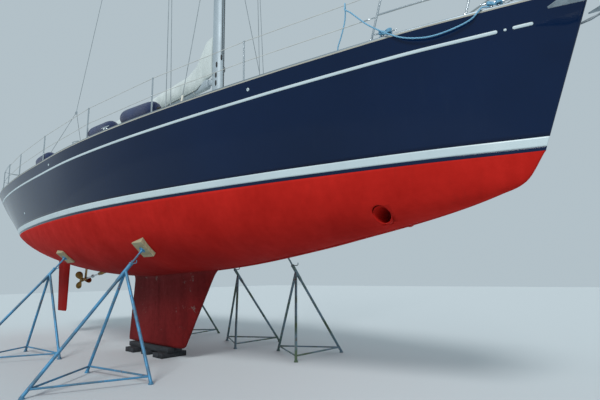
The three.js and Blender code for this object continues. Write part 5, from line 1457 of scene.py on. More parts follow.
@dataclass
class Rudder:
    """The spade rudder on its stock, its upper edge cut so that it clears the hull through its whole swing."""

    form: HullForm
    stock_x: float = -4.950
    stock_radius: float = 0.032
    bottom: float = 0.600
    top: float = 2.500
    lead: tuple[float, float] = (-4.740, -4.700)
    trail: tuple[float, float] = (-5.370, -5.625)
    thick: tuple[float, float] = (0.070, 0.118)
    clearance: float = 0.014
    swing_deg: float = 35.0
    stock_ends: tuple[float, float] = (1.900, 2.330)

    def roof(self, x: Array, y: Array) -> Array:
        """The lowest hull height over a point of the blade as it swings, less the clearance."""
        heights = []
        for angle in np.radians(np.linspace(-self.swing_deg, self.swing_deg, 15)):
            dx, dy = x - self.stock_x, y
            px = self.stock_x + dx * math.cos(angle) - dy * math.sin(angle)
            heights.append(self.form.under(px, np.abs(dx * math.sin(angle) + dy * math.cos(angle))))
        return np.min(np.stack(heights), axis=0) - self.clearance

    def build(self, locker: Locker) -> None:
        """Builds the blade: each column runs from the foot to the height that the hull leaves free."""
        section = foil(72)
        share = np.concatenate([[0.0, 0.004, 0.012, 0.025], np.linspace(0.045, 1.0, 44)])[:, None]
        z = np.broadcast_to(self.bottom + (self.top - self.bottom) * share, (len(share), len(section)))

        def place(height: Array) -> tuple[Array, Array]:
            """Place and breadth of each column at a height."""
            t = (height - self.bottom) / (self.top - self.bottom)
            nip = np.clip(1 - t / 0.04, 0.0, 1.0) ** 2
            lead = self.lead[0] + (self.lead[1] - self.lead[0]) * t - 0.030 * nip
            trail = self.trail[0] + (self.trail[1] - self.trail[0]) * t
            thick = (self.thick[0] + (self.thick[1] - self.thick[0]) * t) * (1 - 0.3 * nip)
            return lead + (trail - lead) * section[:, 0], thick * section[:, 1]

        for _ in range(4):
            x, y = place(z)
            roof = self.roof(x[-1], y[-1])
            z = self.bottom + (roof - self.bottom)[None] * share
        x, y = place(z)
        blade = loft(np.stack([x, y, z], axis=-1))
        stock = tube(np.array([[self.stock_x, 0.0, z] for z in self.stock_ends]), self.stock_radius, 32,
                     up=AHEAD)
        locker.add("rudder_blade", [blade], Body.RUDDER, "antifouling", ("rudder",))
        locker.add("rudder_stock", [stock], Body.RUDDER, "stainless")


@dataclass
class SternGear:
    """The shaft with its tube and bracket, a zinc anode and the three-bladed propeller."""

    x: float = -3.800
    z: float = 1.420
    slope_deg: float = 8.0
    shaft_radius: float = 0.018
    barrel_radius: float = 0.038
    hub_radius: float = 0.046
    hub_length: float = 0.170
    tip: float = 0.240
    chord: float = 0.175
    blades: int = 3
    tube_back: float = -2.780
    bracket_x: float = -3.600
    anode_x: float = -3.150
    shaft_front: float = -2.470
    rows: tuple[tuple[float, float, float], ...] = (
        (0.0, 0.50, 0.016), (0.14, 0.64, 0.015), (0.28, 0.80, 0.014), (0.42, 0.93, 0.013), (0.56, 1.0, 0.012),
        (0.70, 0.96, 0.011), (0.84, 0.80, 0.010), (0.95, 0.50, 0.009), (1.0, 0.22, 0.008))

    def on_shaft(self, x: float) -> Array:
        """A point of the shaft's line."""
        return np.array([x, 0.0, self.z + (x - self.x) * math.tan(math.radians(self.slope_deg))])

    def blade(self, turn: float) -> Surface:
        """One blade: at each radius a lens-shaped section, set at the pitch angle atan(0.26 * tip / radius).

        Args:
            turn: Its place round the hub, in radians.

        Returns:
            The closed blade.
        """
        table = np.array(self.rows)
        t = np.concatenate([np.linspace(0.0, 0.9, 22), [0.93, 0.955, 0.975, 0.99, 1.0]])
        chord = np.interp(t, table[:, 0], table[:, 1]) * self.chord
        thick = np.interp(t, table[:, 0], table[:, 2])
        chord[-4:] *= np.array([0.97, 0.92, 0.82, 0.6])
        angle = np.arange(32) * TAU / 32
        wide = 0.5 * np.sign(np.cos(angle)) * np.abs(np.cos(angle)) ** 0.8
        deep = 0.5 * np.sign(np.sin(angle)) * np.abs(np.sin(angle)) ** 1.1
        inner = self.hub_radius * 0.6
        radius = inner + (self.tip - inner) * t
        pitch = np.arctan2(0.26 * self.tip, radius)[:, None]
        w, d = chord[:, None] * wide, thick[:, None] * deep
        local = np.stack([w * np.cos(pitch) - d * np.sin(pitch), np.broadcast_to(radius[:, None], w.shape),
                          w * np.sin(pitch) + d * np.cos(pitch)], axis=-1)
        spin = np.array([[math.cos(turn), -math.sin(turn), 0.0], [math.sin(turn), math.cos(turn), 0.0],
                         [0.0, 0.0, 1.0]])
        tilt = math.radians(90.0 - self.slope_deg)
        lie = np.array([[math.cos(tilt), 0.0, math.sin(tilt)], [0.0, 1.0, 0.0],
                        [-math.sin(tilt), 0.0, math.cos(tilt)]])
        return loft(local @ (lie @ spin).T + self.on_shaft(self.x))

    def build(self, locker: Locker) -> None:
        """Builds the fixed tube and bracket, and the turning shaft, anode and propeller."""
        along = self.on_shaft(1.0) - self.on_shaft(0.0)
        along = along / np.linalg.norm(along)
        r, b, h = self.shaft_radius, self.barrel_radius, self.hub_radius
        bore = r + 0.0006
        tail = self.on_shaft(self.tube_back)
        pipe = hollow([(bore, 0.0), (b - 0.008, 0.0), (b - 0.003, 0.004), (b, 0.012), (b, 0.10),
                       (b + 0.006, 0.11), (b + 0.006, 0.18), (b, 0.19), (b, 1.08), (bore, 1.08)], tail, along)
        locker.add("stern_tube_turned", [pipe], Body.YACHT, "bronze", ("stern_tube",))
        middle = self.on_shaft(self.bracket_x)
        barrel = hollow([(bore, -0.08), (b - 0.010, -0.08), (b - 0.003, -0.072), (b, -0.055),
                         (b + 0.002, 0.0), (b, 0.055), (b - 0.003, 0.072), (b - 0.010, 0.08), (bore, 0.08)],
                        middle, along)
        t = np.linspace(0.0, 1.0, 24)[:, None]
        section = foil(40)
        cx, cz = self.bracket_x + 0.06 * t, 1.440 + 0.51 * t
        flare = 0.020 * np.exp(-t / 0.05)
        wide = 0.140 + 0.0 * t
        x = cx + wide / 2 - wide * section[:, 0]
        y = (0.024 + flare) * section[:, 1]
        strut = loft(np.stack([x, y, np.broadcast_to(cz, x.shape)], axis=-1))
        locker.add("shaft_bracket_cast", [barrel, strut], Body.YACHT, "bronze", ("shaft_bracket",))
        shaft = tube(np.stack([self.on_shaft(self.shaft_front), self.on_shaft(self.x - 0.13)]), r, 32)
        locker.add("propeller_shaft_bar", [shaft], Body.PROPELLER, "stainless", ("propeller_shaft",))
        anode = lathe([(0.022, -0.05), (0.034, -0.035), (0.040, 0.0), (0.034, 0.035), (0.022, 0.05)],
                      self.on_shaft(self.anode_x), along, 32)
        locker.add("shaft_anode", [anode], Body.PROPELLER, "galvanised")
        length = self.hub_length
        profile = [(0.0, -length / 2 - 0.046), (0.010, -length / 2 - 0.044), (0.020, -length / 2 - 0.034),
                   (0.022, -length / 2 - 0.008), (0.036, -length / 2 + 0.002),
                   (h - 0.006, -length / 2 + 0.02), (h - 0.001, -0.02), (h, 0.0),
                   (h - 0.001, length / 2 - 0.02), (h - 0.004, length / 2 - 0.004), (h - 0.010, length / 2),
                   (0.0, length / 2)]
        parts = [lathe(profile, self.on_shaft(self.x), along, 40)]
        parts += [self.blade(TAU * k / self.blades) for k in range(self.blades)]
        locker.add("propeller_cast", parts, Body.PROPELLER, "bronze", ("propeller",))


@dataclass
class KeelBlocks:
    """Rough timbers under the keel: short ones across, and two long ones on them."""

    rows: tuple[tuple[float, float, float, float, float, float], ...] = (
        (-0.685, -0.260, 0.0, -0.579, 0.258, 0.0885), (-0.574, -0.254, 0.0, -0.467, 0.260, 0.0890),
        (-0.462, -0.260, 0.0, -0.356, 0.252, 0.0880), (0.396, -0.256, 0.0, 0.503, 0.260, 0.0890),
        (0.508, -0.260, 0.0, 0.613, 0.255, 0.0884), (0.618, -0.252, 0.0, 0.724, 0.260, 0.0890),
        (-0.119, -0.219, 0.0, -0.003, 0.214, 0.0890), (0.003, -0.214, 0.0, 0.119, 0.219, 0.0887),
        (-0.750, -0.150, 0.0893, 0.744, -0.003, 0.1790), (-0.742, 0.003, 0.0893, 0.750, 0.150, 0.1786))

    def build(self, locker: Locker) -> None:
        """Builds each timber as a block with worn edges."""
        parts = [block(row[:3], row[3:], 0.007) for row in self.rows]
        locker.add("keel_block_timbers", parts, Body.YACHT, "timber", ("keel_blocks",))


@dataclass
class BoatStand:
    """A tripod stand: a board against the hull, a leaning threaded bar with a nut, and three legs with bars."""

    form: HullForm
    name: str
    x: float
    across: float
    side: float
    drop: float
    ahead: float
    out: float
    reach: float
    turn_deg: float
    paint: str
    pad: float = 0.330
    pad_thick: float = 0.045
    lean: float = 0.8
    leg: float = 0.0235
    bar: float = 0.014
    bar_share: float = 0.95
    screw: float = 0.016

    def seat(self, y: float, z: float, slope: float, down: Array, along: Array) -> tuple[Array, Array]:
        """A point of the pad's own axes: away from the hull, and along its slope."""
        run, rise = math.cos(slope), math.sin(slope)
        return self.side * (y + rise * down + run * along), z - run * down + rise * along

    def thread(self, start: Array, end: Array) -> Surface:
        """A threaded bar: a tube whose radius follows the sine of the turn less 360 degrees for each pitch."""
        length = float(np.linalg.norm(end - start))
        count = int(length / 0.0025)
        path = start + (end - start) * np.linspace(0.0, 1.0, count)[:, None]
        bar = tube(path, self.screw, 14, up=AHEAD)
        turn = np.arange(14) * TAU / 14
        along = np.linspace(0.0, length, count)
        factor = 1.0 - 0.09 * (0.5 - 0.5 * np.cos(along[:, None] / 0.014 * TAU - turn[None]))
        bar.points = path[:, None] + (bar.points - path[:, None]) * factor[..., None]
        return bar

    def board(self, y: float, z: float, slope: float) -> Surface:
        """The board: its upper face follows the hull's bottom, its lower face is flat."""
        half = self.pad / 2
        along = np.linspace(-half, half, 12)
        top_y = np.broadcast_to(self.seat(y, z, slope, 0.0, along)[0], (12, 12))
        top_x = np.broadcast_to(self.x + along[:, None], (12, 12))
        top_z = self.form.under(top_x, np.abs(top_y)) - 0.0015
        by, bz = self.seat(y, z, slope, self.pad_thick, along[::-1] * 0.97)
        under = np.stack([top_x, np.broadcast_to(by, (12, 12)), np.broadcast_to(bz, (12, 12))], axis=-1)
        return loft(np.concatenate([np.stack([top_x, top_y, top_z], axis=-1), under], axis=1))

    def build(self, locker: Locker) -> None:
        """Builds the board, the screw and its nut, the collar, the legs, the bars between them and the feet."""
        f, side = self.form, self.side
        y = self.across * float(f.at(self.x)[2])
        z = float(f.under(self.x, y))
        low = float(f.under(self.x, y - 0.06))
        high = float(f.under(self.x, y + 0.06))
        slope = math.atan2(high - low, 0.12)
        piece = put_mesh(self.name + "_board", [self.board(y, z, slope)])
        soften(piece, 0.003)
        locker.dress(piece, Body.YACHT, "pale timber")
        py, pz = self.seat(y, z, slope, self.pad_thick, 0.0)
        head = np.array([self.x, py + side * self.drop * self.lean, pz - self.drop])
        seat = np.array([self.x, *self.seat(y, z, slope, self.pad_thick - 0.002, 0.0)])
        axis = (seat - head) / np.linalg.norm(seat - head)
        parts = [self.thread(head + axis * 0.02, seat)]
        parts.append(lathe([(0.055, -0.012), (0.058, -0.006), (0.058, -0.001), (0.0, 0.0)], seat, axis, 28))
        parts.append(lathe([(0.022, -0.05), (0.026, -0.012)], seat, axis, 24))
        rise = math.hypot(1.0, self.lean)
        top, collar = head + axis * 0.090 * rise, 0.250 * rise
        parts.append(lathe([(0.026, 0.0), (0.030, 0.004), (0.030, collar - 0.004), (0.026, collar)], top,
                           -axis, 28))
        parts.append(lathe([(0.030, -0.034), (0.036, -0.028), (0.036, -0.006), (0.030, 0.0)], top, -axis, 6))
        for turn in (0.5, 2.6):
            arm = np.array([math.cos(turn), math.sin(turn), 0.12])
            path = bent([top + axis * 0.017 + arm * 0.02, top + axis * 0.017 + arm * 0.10,
                         top + axis * 0.017 + arm * 0.10 + np.array([0.0, 0.0, 0.045])], 0.02)
            parts.append(tube(path, 0.008, 12, up=(0.3, 0.2, 0.1)))
        angle = np.radians(self.turn_deg + np.array([0.0, 120.0, 240.0]))
        feet = np.stack([self.x + self.ahead + self.reach * np.cos(angle), head[1] + side * self.out
                         + self.reach * np.sin(angle), np.full(3, 0.022)], axis=1)
        nodes = head + (feet - head) * self.bar_share
        for k, p in enumerate(feet):
            parts.append(tube(np.linspace(head, p, 8), self.leg, 24))
            parts.append(lathe([(0.037, 0.0), (0.038, 0.003), (0.038, 0.009), (0.032, 0.013), (0.028, 0.030)],
                               (p[0], p[1], 0.0), UP, 28))
            parts.append(tube(np.linspace(nodes[k], nodes[(k + 1) % 3], 6), self.bar, 20))
        locker.add(self.name + "_frame", parts, Body.YACHT, self.paint, (self.name,))


STANDS: tuple[tuple[str, float, float, float, float, float, float, float, float, str], ...] = (
    ("boat_stand_starboard_forward", 1.480, 0.74, -1.0, 0.330, 0.200, 0.540, 0.880, 40.0, "stand paint blue"),
    ("boat_stand_starboard_aft", -1.750, 0.72, -1.0, 0.330, 0.250, 0.540, 0.880, 35.0, "stand paint blue"),
    ("boat_stand_port_forward", 2.450, 0.80, 1.0, 0.500, 0.000, 0.220, 0.720, -60.0, "stand paint"),
    ("boat_stand_port_middle", 0.500, 0.80, 1.0, 0.480, 0.000, 0.280, 0.720, -60.0, "stand paint"),
    ("boat_stand_port_aft", -1.700, 0.80, 1.0, 0.450, 0.000, 0.280, 0.740, -45.0, "stand paint"))


# Deck, deckhouse, hatches and cockpit


@dataclass
class HouseForm:
    """The deckhouse's surface, from the same sections as the part's source."""

    form: HullForm
    front: float = 3.950
    back: float = -1.900
    rows: Array = field(default_factory=lambda: np.array([
        [3.950, 0.330, 0.230, 0.075], [3.450, 0.510, 0.400, 0.170], [2.500, 0.700, 0.570, 0.290],
        [1.300, 0.860, 0.720, 0.370], [0.000, 0.960, 0.810, 0.410], [-1.900, 1.020, 0.870, 0.440]]))

    def at(self, x: Array) -> Array:
        """Half breadth at the foot, at the roof edge, and the rise, by a cubic through the rows."""
        return smooth_rows(self.rows, x)

    def ring(self, x: Array, inset: float = 0.0, foot_drop: float = -0.04) -> Array:
        """Sections at places x: a leaning side, a rounded roof edge and a crowned roof, from port to starboard.

        Args:
            x: Places, n.
            inset: How far the section is drawn in.
            foot_drop: Height of its foot against the deck edge line.

        Returns:
            A grid of points, n by 45 by 3.
        """
        foot, roof, rise = np.moveaxis(self.at(x), -1, 0)
        edge = self.form.deck_edge(x)[1]
        foot, roof, top = (foot - inset)[:, None], (roof - inset)[:, None], (edge + rise - inset)[:, None]
        low = (edge + foot_drop)[:, None]
        t = np.linspace(0.0, 1.0, 9)[None]
        side_y = foot + (roof + 0.020 - foot) * t
        side_z = low + (top - 0.045 - low) * t
        turn = np.linspace(0.0, math.pi / 2, 7)[None, 1:]
        edge_y = roof - 0.030 + 0.050 * np.cos(turn)
        edge_z = top - 0.045 + 0.043 * np.sin(turn)
        share = np.linspace(1.0, 0.0, 8)[None]
        crown = 0.07 * roof * (1 - ((roof - 0.030) * share / roof) ** 2)
        roof_y = (roof - 0.030) * share
        edge_drop = 0.07 * roof * (1 - ((roof - 0.030) / roof) ** 2)
        roof_z = top - 0.002 + crown - edge_drop * share ** 4
        y = np.concatenate([side_y, edge_y, roof_y[:, 1:]], axis=1)
        z = np.concatenate([side_z, edge_z, roof_z[:, 1:]], axis=1)
        y = np.concatenate([y, -y[:, -2::-1]], axis=1)
        z = np.concatenate([z, z[:, -2::-1]], axis=1)
        return np.stack([np.broadcast_to(x[:, None], y.shape), y, z], axis=-1)

    def roof(self, x: Array, y: Array) -> Array:
        """Height of the roof at a place."""
        roof, rise = self.at(np.asarray(x, dtype=float))[..., 1], self.at(np.asarray(x, dtype=float))[..., 2]
        return self.form.deck_edge(np.asarray(x, dtype=float))[1] + rise + 0.07 * roof * (1 - (y / roof) ** 2)

    def solid(self, front: float, back: float, inset: float, foot_drop: float, count: int = 70) -> Surface:
        """The closed form between two places."""
        x = np.linspace(front, back, count)
        return loft(self.ring(x, inset, foot_drop))


@dataclass
class Deck:
    """The crowned deck with its openings, and the rail that runs along its edge."""

    form: HullForm
    house: HouseForm
    inset: float = 0.008
    rail_width: float = 0.034
    rail_height: float = 0.042
    back: float = -6.310

    def skin(self, locker: Locker) -> None:
        """The deck: the edge's height plus the crown over a grid of place and share of the half breadth."""
        f = self.form
        x = np.concatenate([np.linspace(7.690, 7.2, 16)[:-1], np.linspace(7.2, self.back + 0.004, 150)])
        half, _ = f.deck_edge(x)
        share = np.linspace(-1.0, 1.0, 57)[None]
        y = share * np.maximum(half - self.inset, 0.004)[:, None]
        z = f.deck(np.broadcast_to(x[:, None], y.shape), y)
        top = np.stack([np.broadcast_to(x[:, None], y.shape), y, z], axis=-1)
        low = top[:, ::-1] - np.array([0.0, 0.0, 0.021])
        piece = put_mesh("deck_moulding", [loft(np.concatenate([top, low], axis=1))])
        cutters = [put_mesh("cut_house", [self.house.solid(3.60, -1.93, 0.020, -0.30, 50)]),
                   put_mesh("cut_cockpit", [block((-5.330, -1.040, 3.0), (-1.930, 1.040, 4.4), 0.02)]),
                   put_mesh("cut_fore_hatch", [block((4.455, -0.245, 3.0), (4.945, 0.245, 4.4), 0.02)])]
        cut(piece, cutters)
        locker.dress(piece, Body.YACHT, "deck paint", ("deck",))

    def rail(self, locker: Locker) -> None:
        """The toe rail: a rounded bar along each deck edge, a bridge at the stem and a low rail over the stern."""
        f = self.form
        w, h = self.rail_width, self.rail_height
        x = np.concatenate([np.linspace(7.700, 7.3, 14)[:-1], np.linspace(7.3, self.back + 0.012, 170)])
        half, edge = f.deck_edge(x)
        outer = np.maximum(half - self.inset, w)
        turn = np.linspace(0.0, math.pi, 9)
        py = np.concatenate([[0.0, -0.001], -w / 2 + w / 2 * np.cos(turn), [-w + 0.001, -w]])
        pz = np.concatenate([[-0.012, 0.0], h - 0.012 + 0.012 * np.sin(turn), [0.0, -0.012]])
        parts = []
        for side in (1.0, -1.0):
            y = side * (outer[:, None] + py[None])
            z = edge[:, None] + pz[None] + f.camber * 0.03
            parts.append(loft(np.stack([np.broadcast_to(x[:, None], y.shape), y, z], axis=-1)))
        nose = float(f.deck_edge(7.64)[1])
        parts.append(block((7.56, -0.058, nose + 0.020), (7.688, 0.058, nose + h), 0.006))
        y = np.linspace(-1.35, 1.35, 60)
        stern_half = float(f.deck_edge(-6.31)[0])
        y = y / 1.35 * (stern_half - 0.020)
        path = np.stack([np.full(60, -6.309), y, f.deck(np.full(60, -6.31), y) + h / 2 - 0.008], axis=1)
        bar = np.stack([0.5 * 0.034 * np.cos(np.arange(16) * TAU / 16),
                        0.5 * h * np.sin(np.arange(16) * TAU / 16)], 1)
        parts.append(loft(carry(path, np.sign(bar) * np.abs(bar) ** 0.6 * np.array([0.017, 0.021]) ** 0.4)))
        locker.add("toe_rail_extrusion", parts, Body.YACHT, "anodised rail", ("toe_rail",))

    def cleats(self, locker: Locker) -> None:
        """Horn cleats on the rail: a bar with drooping, tapering ends on two flared feet."""
        f = self.form
        parts = []
        t = np.linspace(-1.0, 1.0, 25)
        for x in (6.980, 5.950, 1.300, -5.600):
            half, edge = (float(v) for v in f.deck_edge(x))
            toe = float(f.deck_edge(x + 0.11)[0] - f.deck_edge(x - 0.11)[0]) / 2
            for side in (1.0, -1.0):
                y = side * (half - self.inset - self.rail_width / 2)
                top = edge + self.rail_height
                path = np.stack([x + 0.120 * t, y + side * toe * 1.1 * t, top + 0.044 + 0.004 * np.abs(t)
                                 ** 3], axis=1)
                parts.append(tube(path, 0.012, 16, scale=1.0 - 0.45 * np.abs(t) ** 2.5))
                for shift in (-0.032, 0.032):
                    parts.append(lathe([(0.021, -0.002), (0.021, 0.003), (0.014, 0.010), (0.010, 0.022),
                                        (0.011, 0.042), (0.0, 0.046)],
                                       (x + shift, y + side * toe * 0.3 * np.sign(shift), top), UP, 20))
        locker.add("mooring_cleats", parts, Body.YACHT, "stainless")

    def tracks(self, locker: Locker) -> None:
        """Sheet tracks on the side decks, each a low bar with a car, and small round fill and drain plates."""
        f = self.form
        parts = []
        for side in (1.0, -1.0):
            x = np.linspace(2.1, -1.2, 40)
            half = f.deck_edge(x)[0] - 0.235
            path = np.stack([x, side * half, f.deck(x, half) + 0.006], axis=1)
            bar = np.array([[0.016, -0.007], [0.016, 0.003], [0.008, 0.003], [0.008, 0.008], [-0.008, 0.008],
                            [-0.008, 0.003], [-0.016, 0.003], [-0.016, -0.007]])
            parts.append(loft(carry(path, bar)))
            for place in (1.45, 0.35):
                y = side * float(f.deck_edge(place)[0] - 0.235)
                z = float(f.deck(place, abs(y)))
                parts.append(block((place - 0.075, y - 0.025, z + 0.010),
                                   (place + 0.075, y + 0.025, z + 0.036), 0.006))
                parts.append(lathe([(0.034, -0.014), (0.038, -0.009), (0.026, 0.0), (0.038, 0.009),
                                    (0.034, 0.014)], (place, y, z + 0.066), PORT, 28))
                for shift in (-0.018, 0.018):
                    parts.append(block((place - 0.024, y + shift - 0.003, z + 0.030),
                                       (place + 0.024, y + shift + 0.003, z + 0.098), 0.002))
        for x, y in ((3.3, 1.05), (3.3, -1.05), (-5.75, 0.95), (-5.75, -0.95), (6.05, 0.0)):
            z = float(f.deck(x, abs(y)))
            parts.append(lathe([(0.042, -0.004), (0.042, 0.001), (0.036, 0.004), (0.026, 0.004),
                                (0.024, 0.002)], (x, y, z), UP, 32))
        locker.add("deck_tracks", parts, Body.YACHT, "stainless")

    def build(self, locker: Locker) -> None:
        """Builds the deck, its rail, cleats and tracks."""
        self.skin(locker)
        self.rail(locker)
        self.cleats(locker)
        self.tracks(locker)


@dataclass
class Deckhouse:
    """The coachroof with its windows, companionway, sea hood, handrails and vents."""

    form: HullForm
    house: HouseForm
    wall: float = 0.030
    window: tuple[float, float, float, float] = (-1.150, 1.500, 3.957, 4.087)
    companion_half: float = 0.340
    companion_front: float = -1.250
    vent: tuple[float, float] = (2.420, 0.360)

    def window_ring(self, grow: float) -> Array:
        """The window's outline as place and height: a bar with round ends, drawn in by grow."""
        back, front, low, high = self.window
        r = (high - low) / 2 - grow
        middle = (high + low) / 2
        turn = np.linspace(-math.pi / 2, math.pi / 2, 13)
        right = np.stack([front - r - grow + r * np.cos(turn), middle + r * np.sin(turn)], axis=1)
        left = np.stack([back + r + grow - r * np.cos(turn), middle - r * np.sin(turn)], axis=1)
        x = np.linspace(0.0, 1.0, 26)[1:-1, None]
        return np.concatenate([right, right[-1] + (left[0] - right[-1]) * x, left,
                               left[-1] + (right[0] - left[-1]) * x])

    def on_side(self, outline: Array, inset: float, side: float) -> Array:
        """Points of the house's side wall at places and heights, drawn in by inset."""
        foot, roof, rise = np.moveaxis(self.house.at(outline[..., 0]), -1, 0)
        edge = self.form.deck_edge(outline[..., 0])[1]
        low, top = edge - 0.040, edge + rise - 0.045
        t = (outline[..., 1] - low) / (top - low)
        y = foot + (roof + 0.020 - foot) * t - inset
        return np.stack([outline[..., 0], side * y, outline[..., 1]], axis=-1)

    def shell(self, locker: Locker) -> None:
        """The moulding: the sections' skin with a wall, closed at the back, cut for windows, hatch and door."""
        x = np.linspace(self.house.front, self.house.back, 90)
        rings = self.house.ring(x)
        middle = rings[-1].mean(axis=0)
        share = np.array([0.6, 0.05])[:, None, None]
        bulkhead = middle + share * (rings[-1][None] - middle)
        bow = rings[0].mean(axis=0)
        nose = bow + np.array([0.03, 0.5])[:, None, None] * (rings[0][None] - bow)
        skin = outward(Surface(np.concatenate([nose, rings, bulkhead]), wrap=True), (0.0, 0.0, 3.9))
        piece = put_mesh("coachroof_moulding", [skin], sharp_deg=50.0)
        thicken(piece, self.wall)
        cutters = []
        for side in (1.0, -1.0):
            ring = self.window_ring(0.0)
            rows = [np.stack([ring[:, 0], np.full(len(ring), side * y), ring[:, 1]], axis=1)
                    for y in (0.5, 1.2)]
            cutters.append(put_mesh("cut_window", [loft(np.stack(rows))]))
        half = self.companion_half
        roof = float(self.house.roof(-0.9, 0.0))
        boxes = [((-1.960, -half, 4.0), (self.companion_front, half, 4.6)),
                 ((-1.980, -half + 0.04, 3.880), (-1.790, half - 0.04, 4.5)),
                 ((-0.015, -0.215, 4.0), (0.415, 0.215, 4.5)), ((-1.85, -0.60, 3.50), (2.9, 0.60, 3.80))]
        for low, high in boxes:
            cutters.append(put_mesh("cut_box", [block(low, high, 0.012)]))
        cut(piece, cutters)
        locker.dress(piece, Body.YACHT, "white gelcoat", ("deckhouse",))
        rails = [block((-1.90, side * (half + 0.008) - 0.006, roof - 0.050),
                       (-0.66, side * (half + 0.008) + 0.006, roof + 0.0215), 0.003) for side in (1.0, -1.0)]
        locker.add("hatch_slides", rails, Body.YACHT, "stainless")

    def windows(self, locker: Locker) -> None:
        """Tinted panes bent to the wall, each with a dark gasket round it and two slim mullions."""
        for side, label in ((1.0, "port"), (-1.0, "starboard")):
            outline = self.window_ring(0.002)
            centre = np.array([(self.window[0] + self.window[1]) / 2, (self.window[2] + self.window[3]) / 2])
            flat = np.stack([centre + share * (outline - centre) for share in (1.0, 0.9, 0.6, 0.3, 0.02)])
            pane = outward(Surface(self.on_side(flat, 0.012, side), wrap=True, cap_last=True),
                           (0.0, 0.0, 4.0))
            locker.add("window_pane_" + label, [pane], Body.YACHT, "window glass", ("window_" + label,),
                       wall=0.008)
            rim = self.on_side(self.window_ring(-0.003), 0.0, side)
            rim = np.concatenate([rim, rim[:2]])
            section = circle(0.0075, 12)
            gasket = carry(rim, section, PORT)[:-1]
            bars = []
            for x in (-0.28, 0.62):
                ends = self.on_side(np.array([[x, self.window[2]], [x, self.window[3]]]), 0.006, side)
                bars.append(tube(ends, 0.011, 12, up=AHEAD))
            locker.add("window_gasket_" + label, [closed(Surface(gasket, wrap=True)), *bars], Body.YACHT,
                       "rubber")

    def sea_hood(self, locker: Locker) -> None:
        """The low cover that the companion hatch slides under, and the washboard with its vent slots."""
        roof = float(self.house.roof(-0.9, 0.0))
        y = np.linspace(-1.0, 1.0, 41)
        half = self.companion_half + 0.060
        side = np.sign(y) * np.abs(y) ** 0.9 * half
        drop = 0.125 * np.clip((np.abs(y) - 0.86) / 0.14, 0, 1) ** 2.2
        x = np.array([-1.250, -1.244, -1.0, -0.7, -0.625, -0.605, -0.600])
        low = np.array([0.004, 0.0, 0.0, 0.0, 0.006, 0.030, 0.070])
        z = roof + 0.072 - 0.006 * (y[None] ** 2) - drop[None] - low[:, None] * (1 - drop[None] / 0.125)
        grid = np.stack([np.broadcast_to(x[:, None], z.shape), np.broadcast_to(side[None], z.shape), z],
                        axis=-1)
        locker.add("sea_hood_moulding", [outward(Surface(grid), (-0.9, 0.0, 4.1))], Body.YACHT,
                   "white gelcoat", ("sea_hood",), sharp_deg=60.0, wall=0.014)
        board = [block((-1.922, -0.328, 3.802), (-1.9006, 0.328, 3.990), 0.004),
                 block((-1.922, -0.328, 3.992), (-1.9006, 0.328, 4.188), 0.004)]
        board += [block((-1.926, -0.11, 4.06 + 0.022 * k), (-1.921, 0.11, 4.068 + 0.022 * k), 0.002)
                  for k in range(4)]
        locker.add("washboards", board, Body.YACHT, "teak", ("washboard",))

    def companion_hatch(self, locker: Locker) -> None:
        """The sliding hatch: a teak-faced lid with rounded edges and a grip."""
        roof = float(self.house.roof(-0.9, 0.0))
        low, high = roof + 0.0222, roof + 0.046
        lid = block((-1.925, -0.355, low), (-1.210, 0.355, high), 0.008)
        grip = block((-1.924, -0.120, high - 0.004), (-1.896, 0.120, roof + 0.066), 0.008)
        locker.add("companion_lid", [lid, grip], Body.COMPANION, "teak", ("companion_hatch",))

    def fittings(self, locker: Locker) -> None:
        """Handrails, cowl vents and halyard clutches on the roof."""
        house = self.house
        metal, white = [], []
        for side in (1.0, -1.0):
            x = np.linspace(1.25, -1.05, 60)
            y = house.at(x)[:, 1] - 0.085
            wave = np.abs(np.cos(np.linspace(0.0, 4 * math.pi, 60))) ** 6
            z = house.roof(x, y) + 0.050 - 0.044 * wave
            metal.append(tube(np.stack([x, side * y, z], axis=1), 0.0125, 16))
            for k in range(5):
                xx = 1.25 - 2.30 * k / 4
                yy = float(house.at(xx)[1]) - 0.085
                metal.append(lathe([(0.026, -0.004), (0.026, 0.002), (0.016, 0.006)],
                                   (xx, side * yy, float(house.roof(xx, yy))), UP, 24))
            x0, y0 = self.vent
            z0 = float(house.roof(x0, y0))
            white.append(block((x0 - 0.16, side * y0 - 0.10, z0 - 0.02),
                               (x0 + 0.16, side * y0 + 0.10, z0 + 0.085), 0.022))
            path = bent([(x0 + 0.06, side * y0, z0 + 0.07), (x0 + 0.06, side * y0, z0 + 0.19),
                         (x0 + 0.17, side * y0, z0 + 0.19)], 0.07, 12)
            flare = np.concatenate([np.ones(len(path) - 3), [1.15, 1.4, 1.55]])
            white.append(tube(path, 0.045, 28, up=PORT, scale=flare))
            metal.append(lathe([(0.056, 0.0), (0.056, 0.008), (0.046, 0.012)],
                               (x0 + 0.06, side * y0, z0 + 0.083), UP, 28))
            for k in range(4):
                y1 = side * (0.47 + 0.042 * k)
                z1 = float(house.roof(-1.0, abs(y1)))
                metal.append(block((-1.10, y1 - 0.016, z1 - 0.004), (-0.93, y1 + 0.016, z1 + 0.038), 0.006))
                metal.append(block((-1.075, y1 - 0.011, z1 + 0.036), (-0.965, y1 + 0.011, z1 + 0.050), 0.004))
        locker.add("roof_fittings", metal, Body.YACHT, "stainless")
        locker.add("cowl_vents", white, Body.YACHT, "white gelcoat")

    def build(self, locker: Locker) -> None:
        """Builds the coachroof and all that is on it."""
        self.shell(locker)
        self.windows(locker)
        self.sea_hood(locker)
        self.companion_hatch(locker)
        self.fittings(locker)


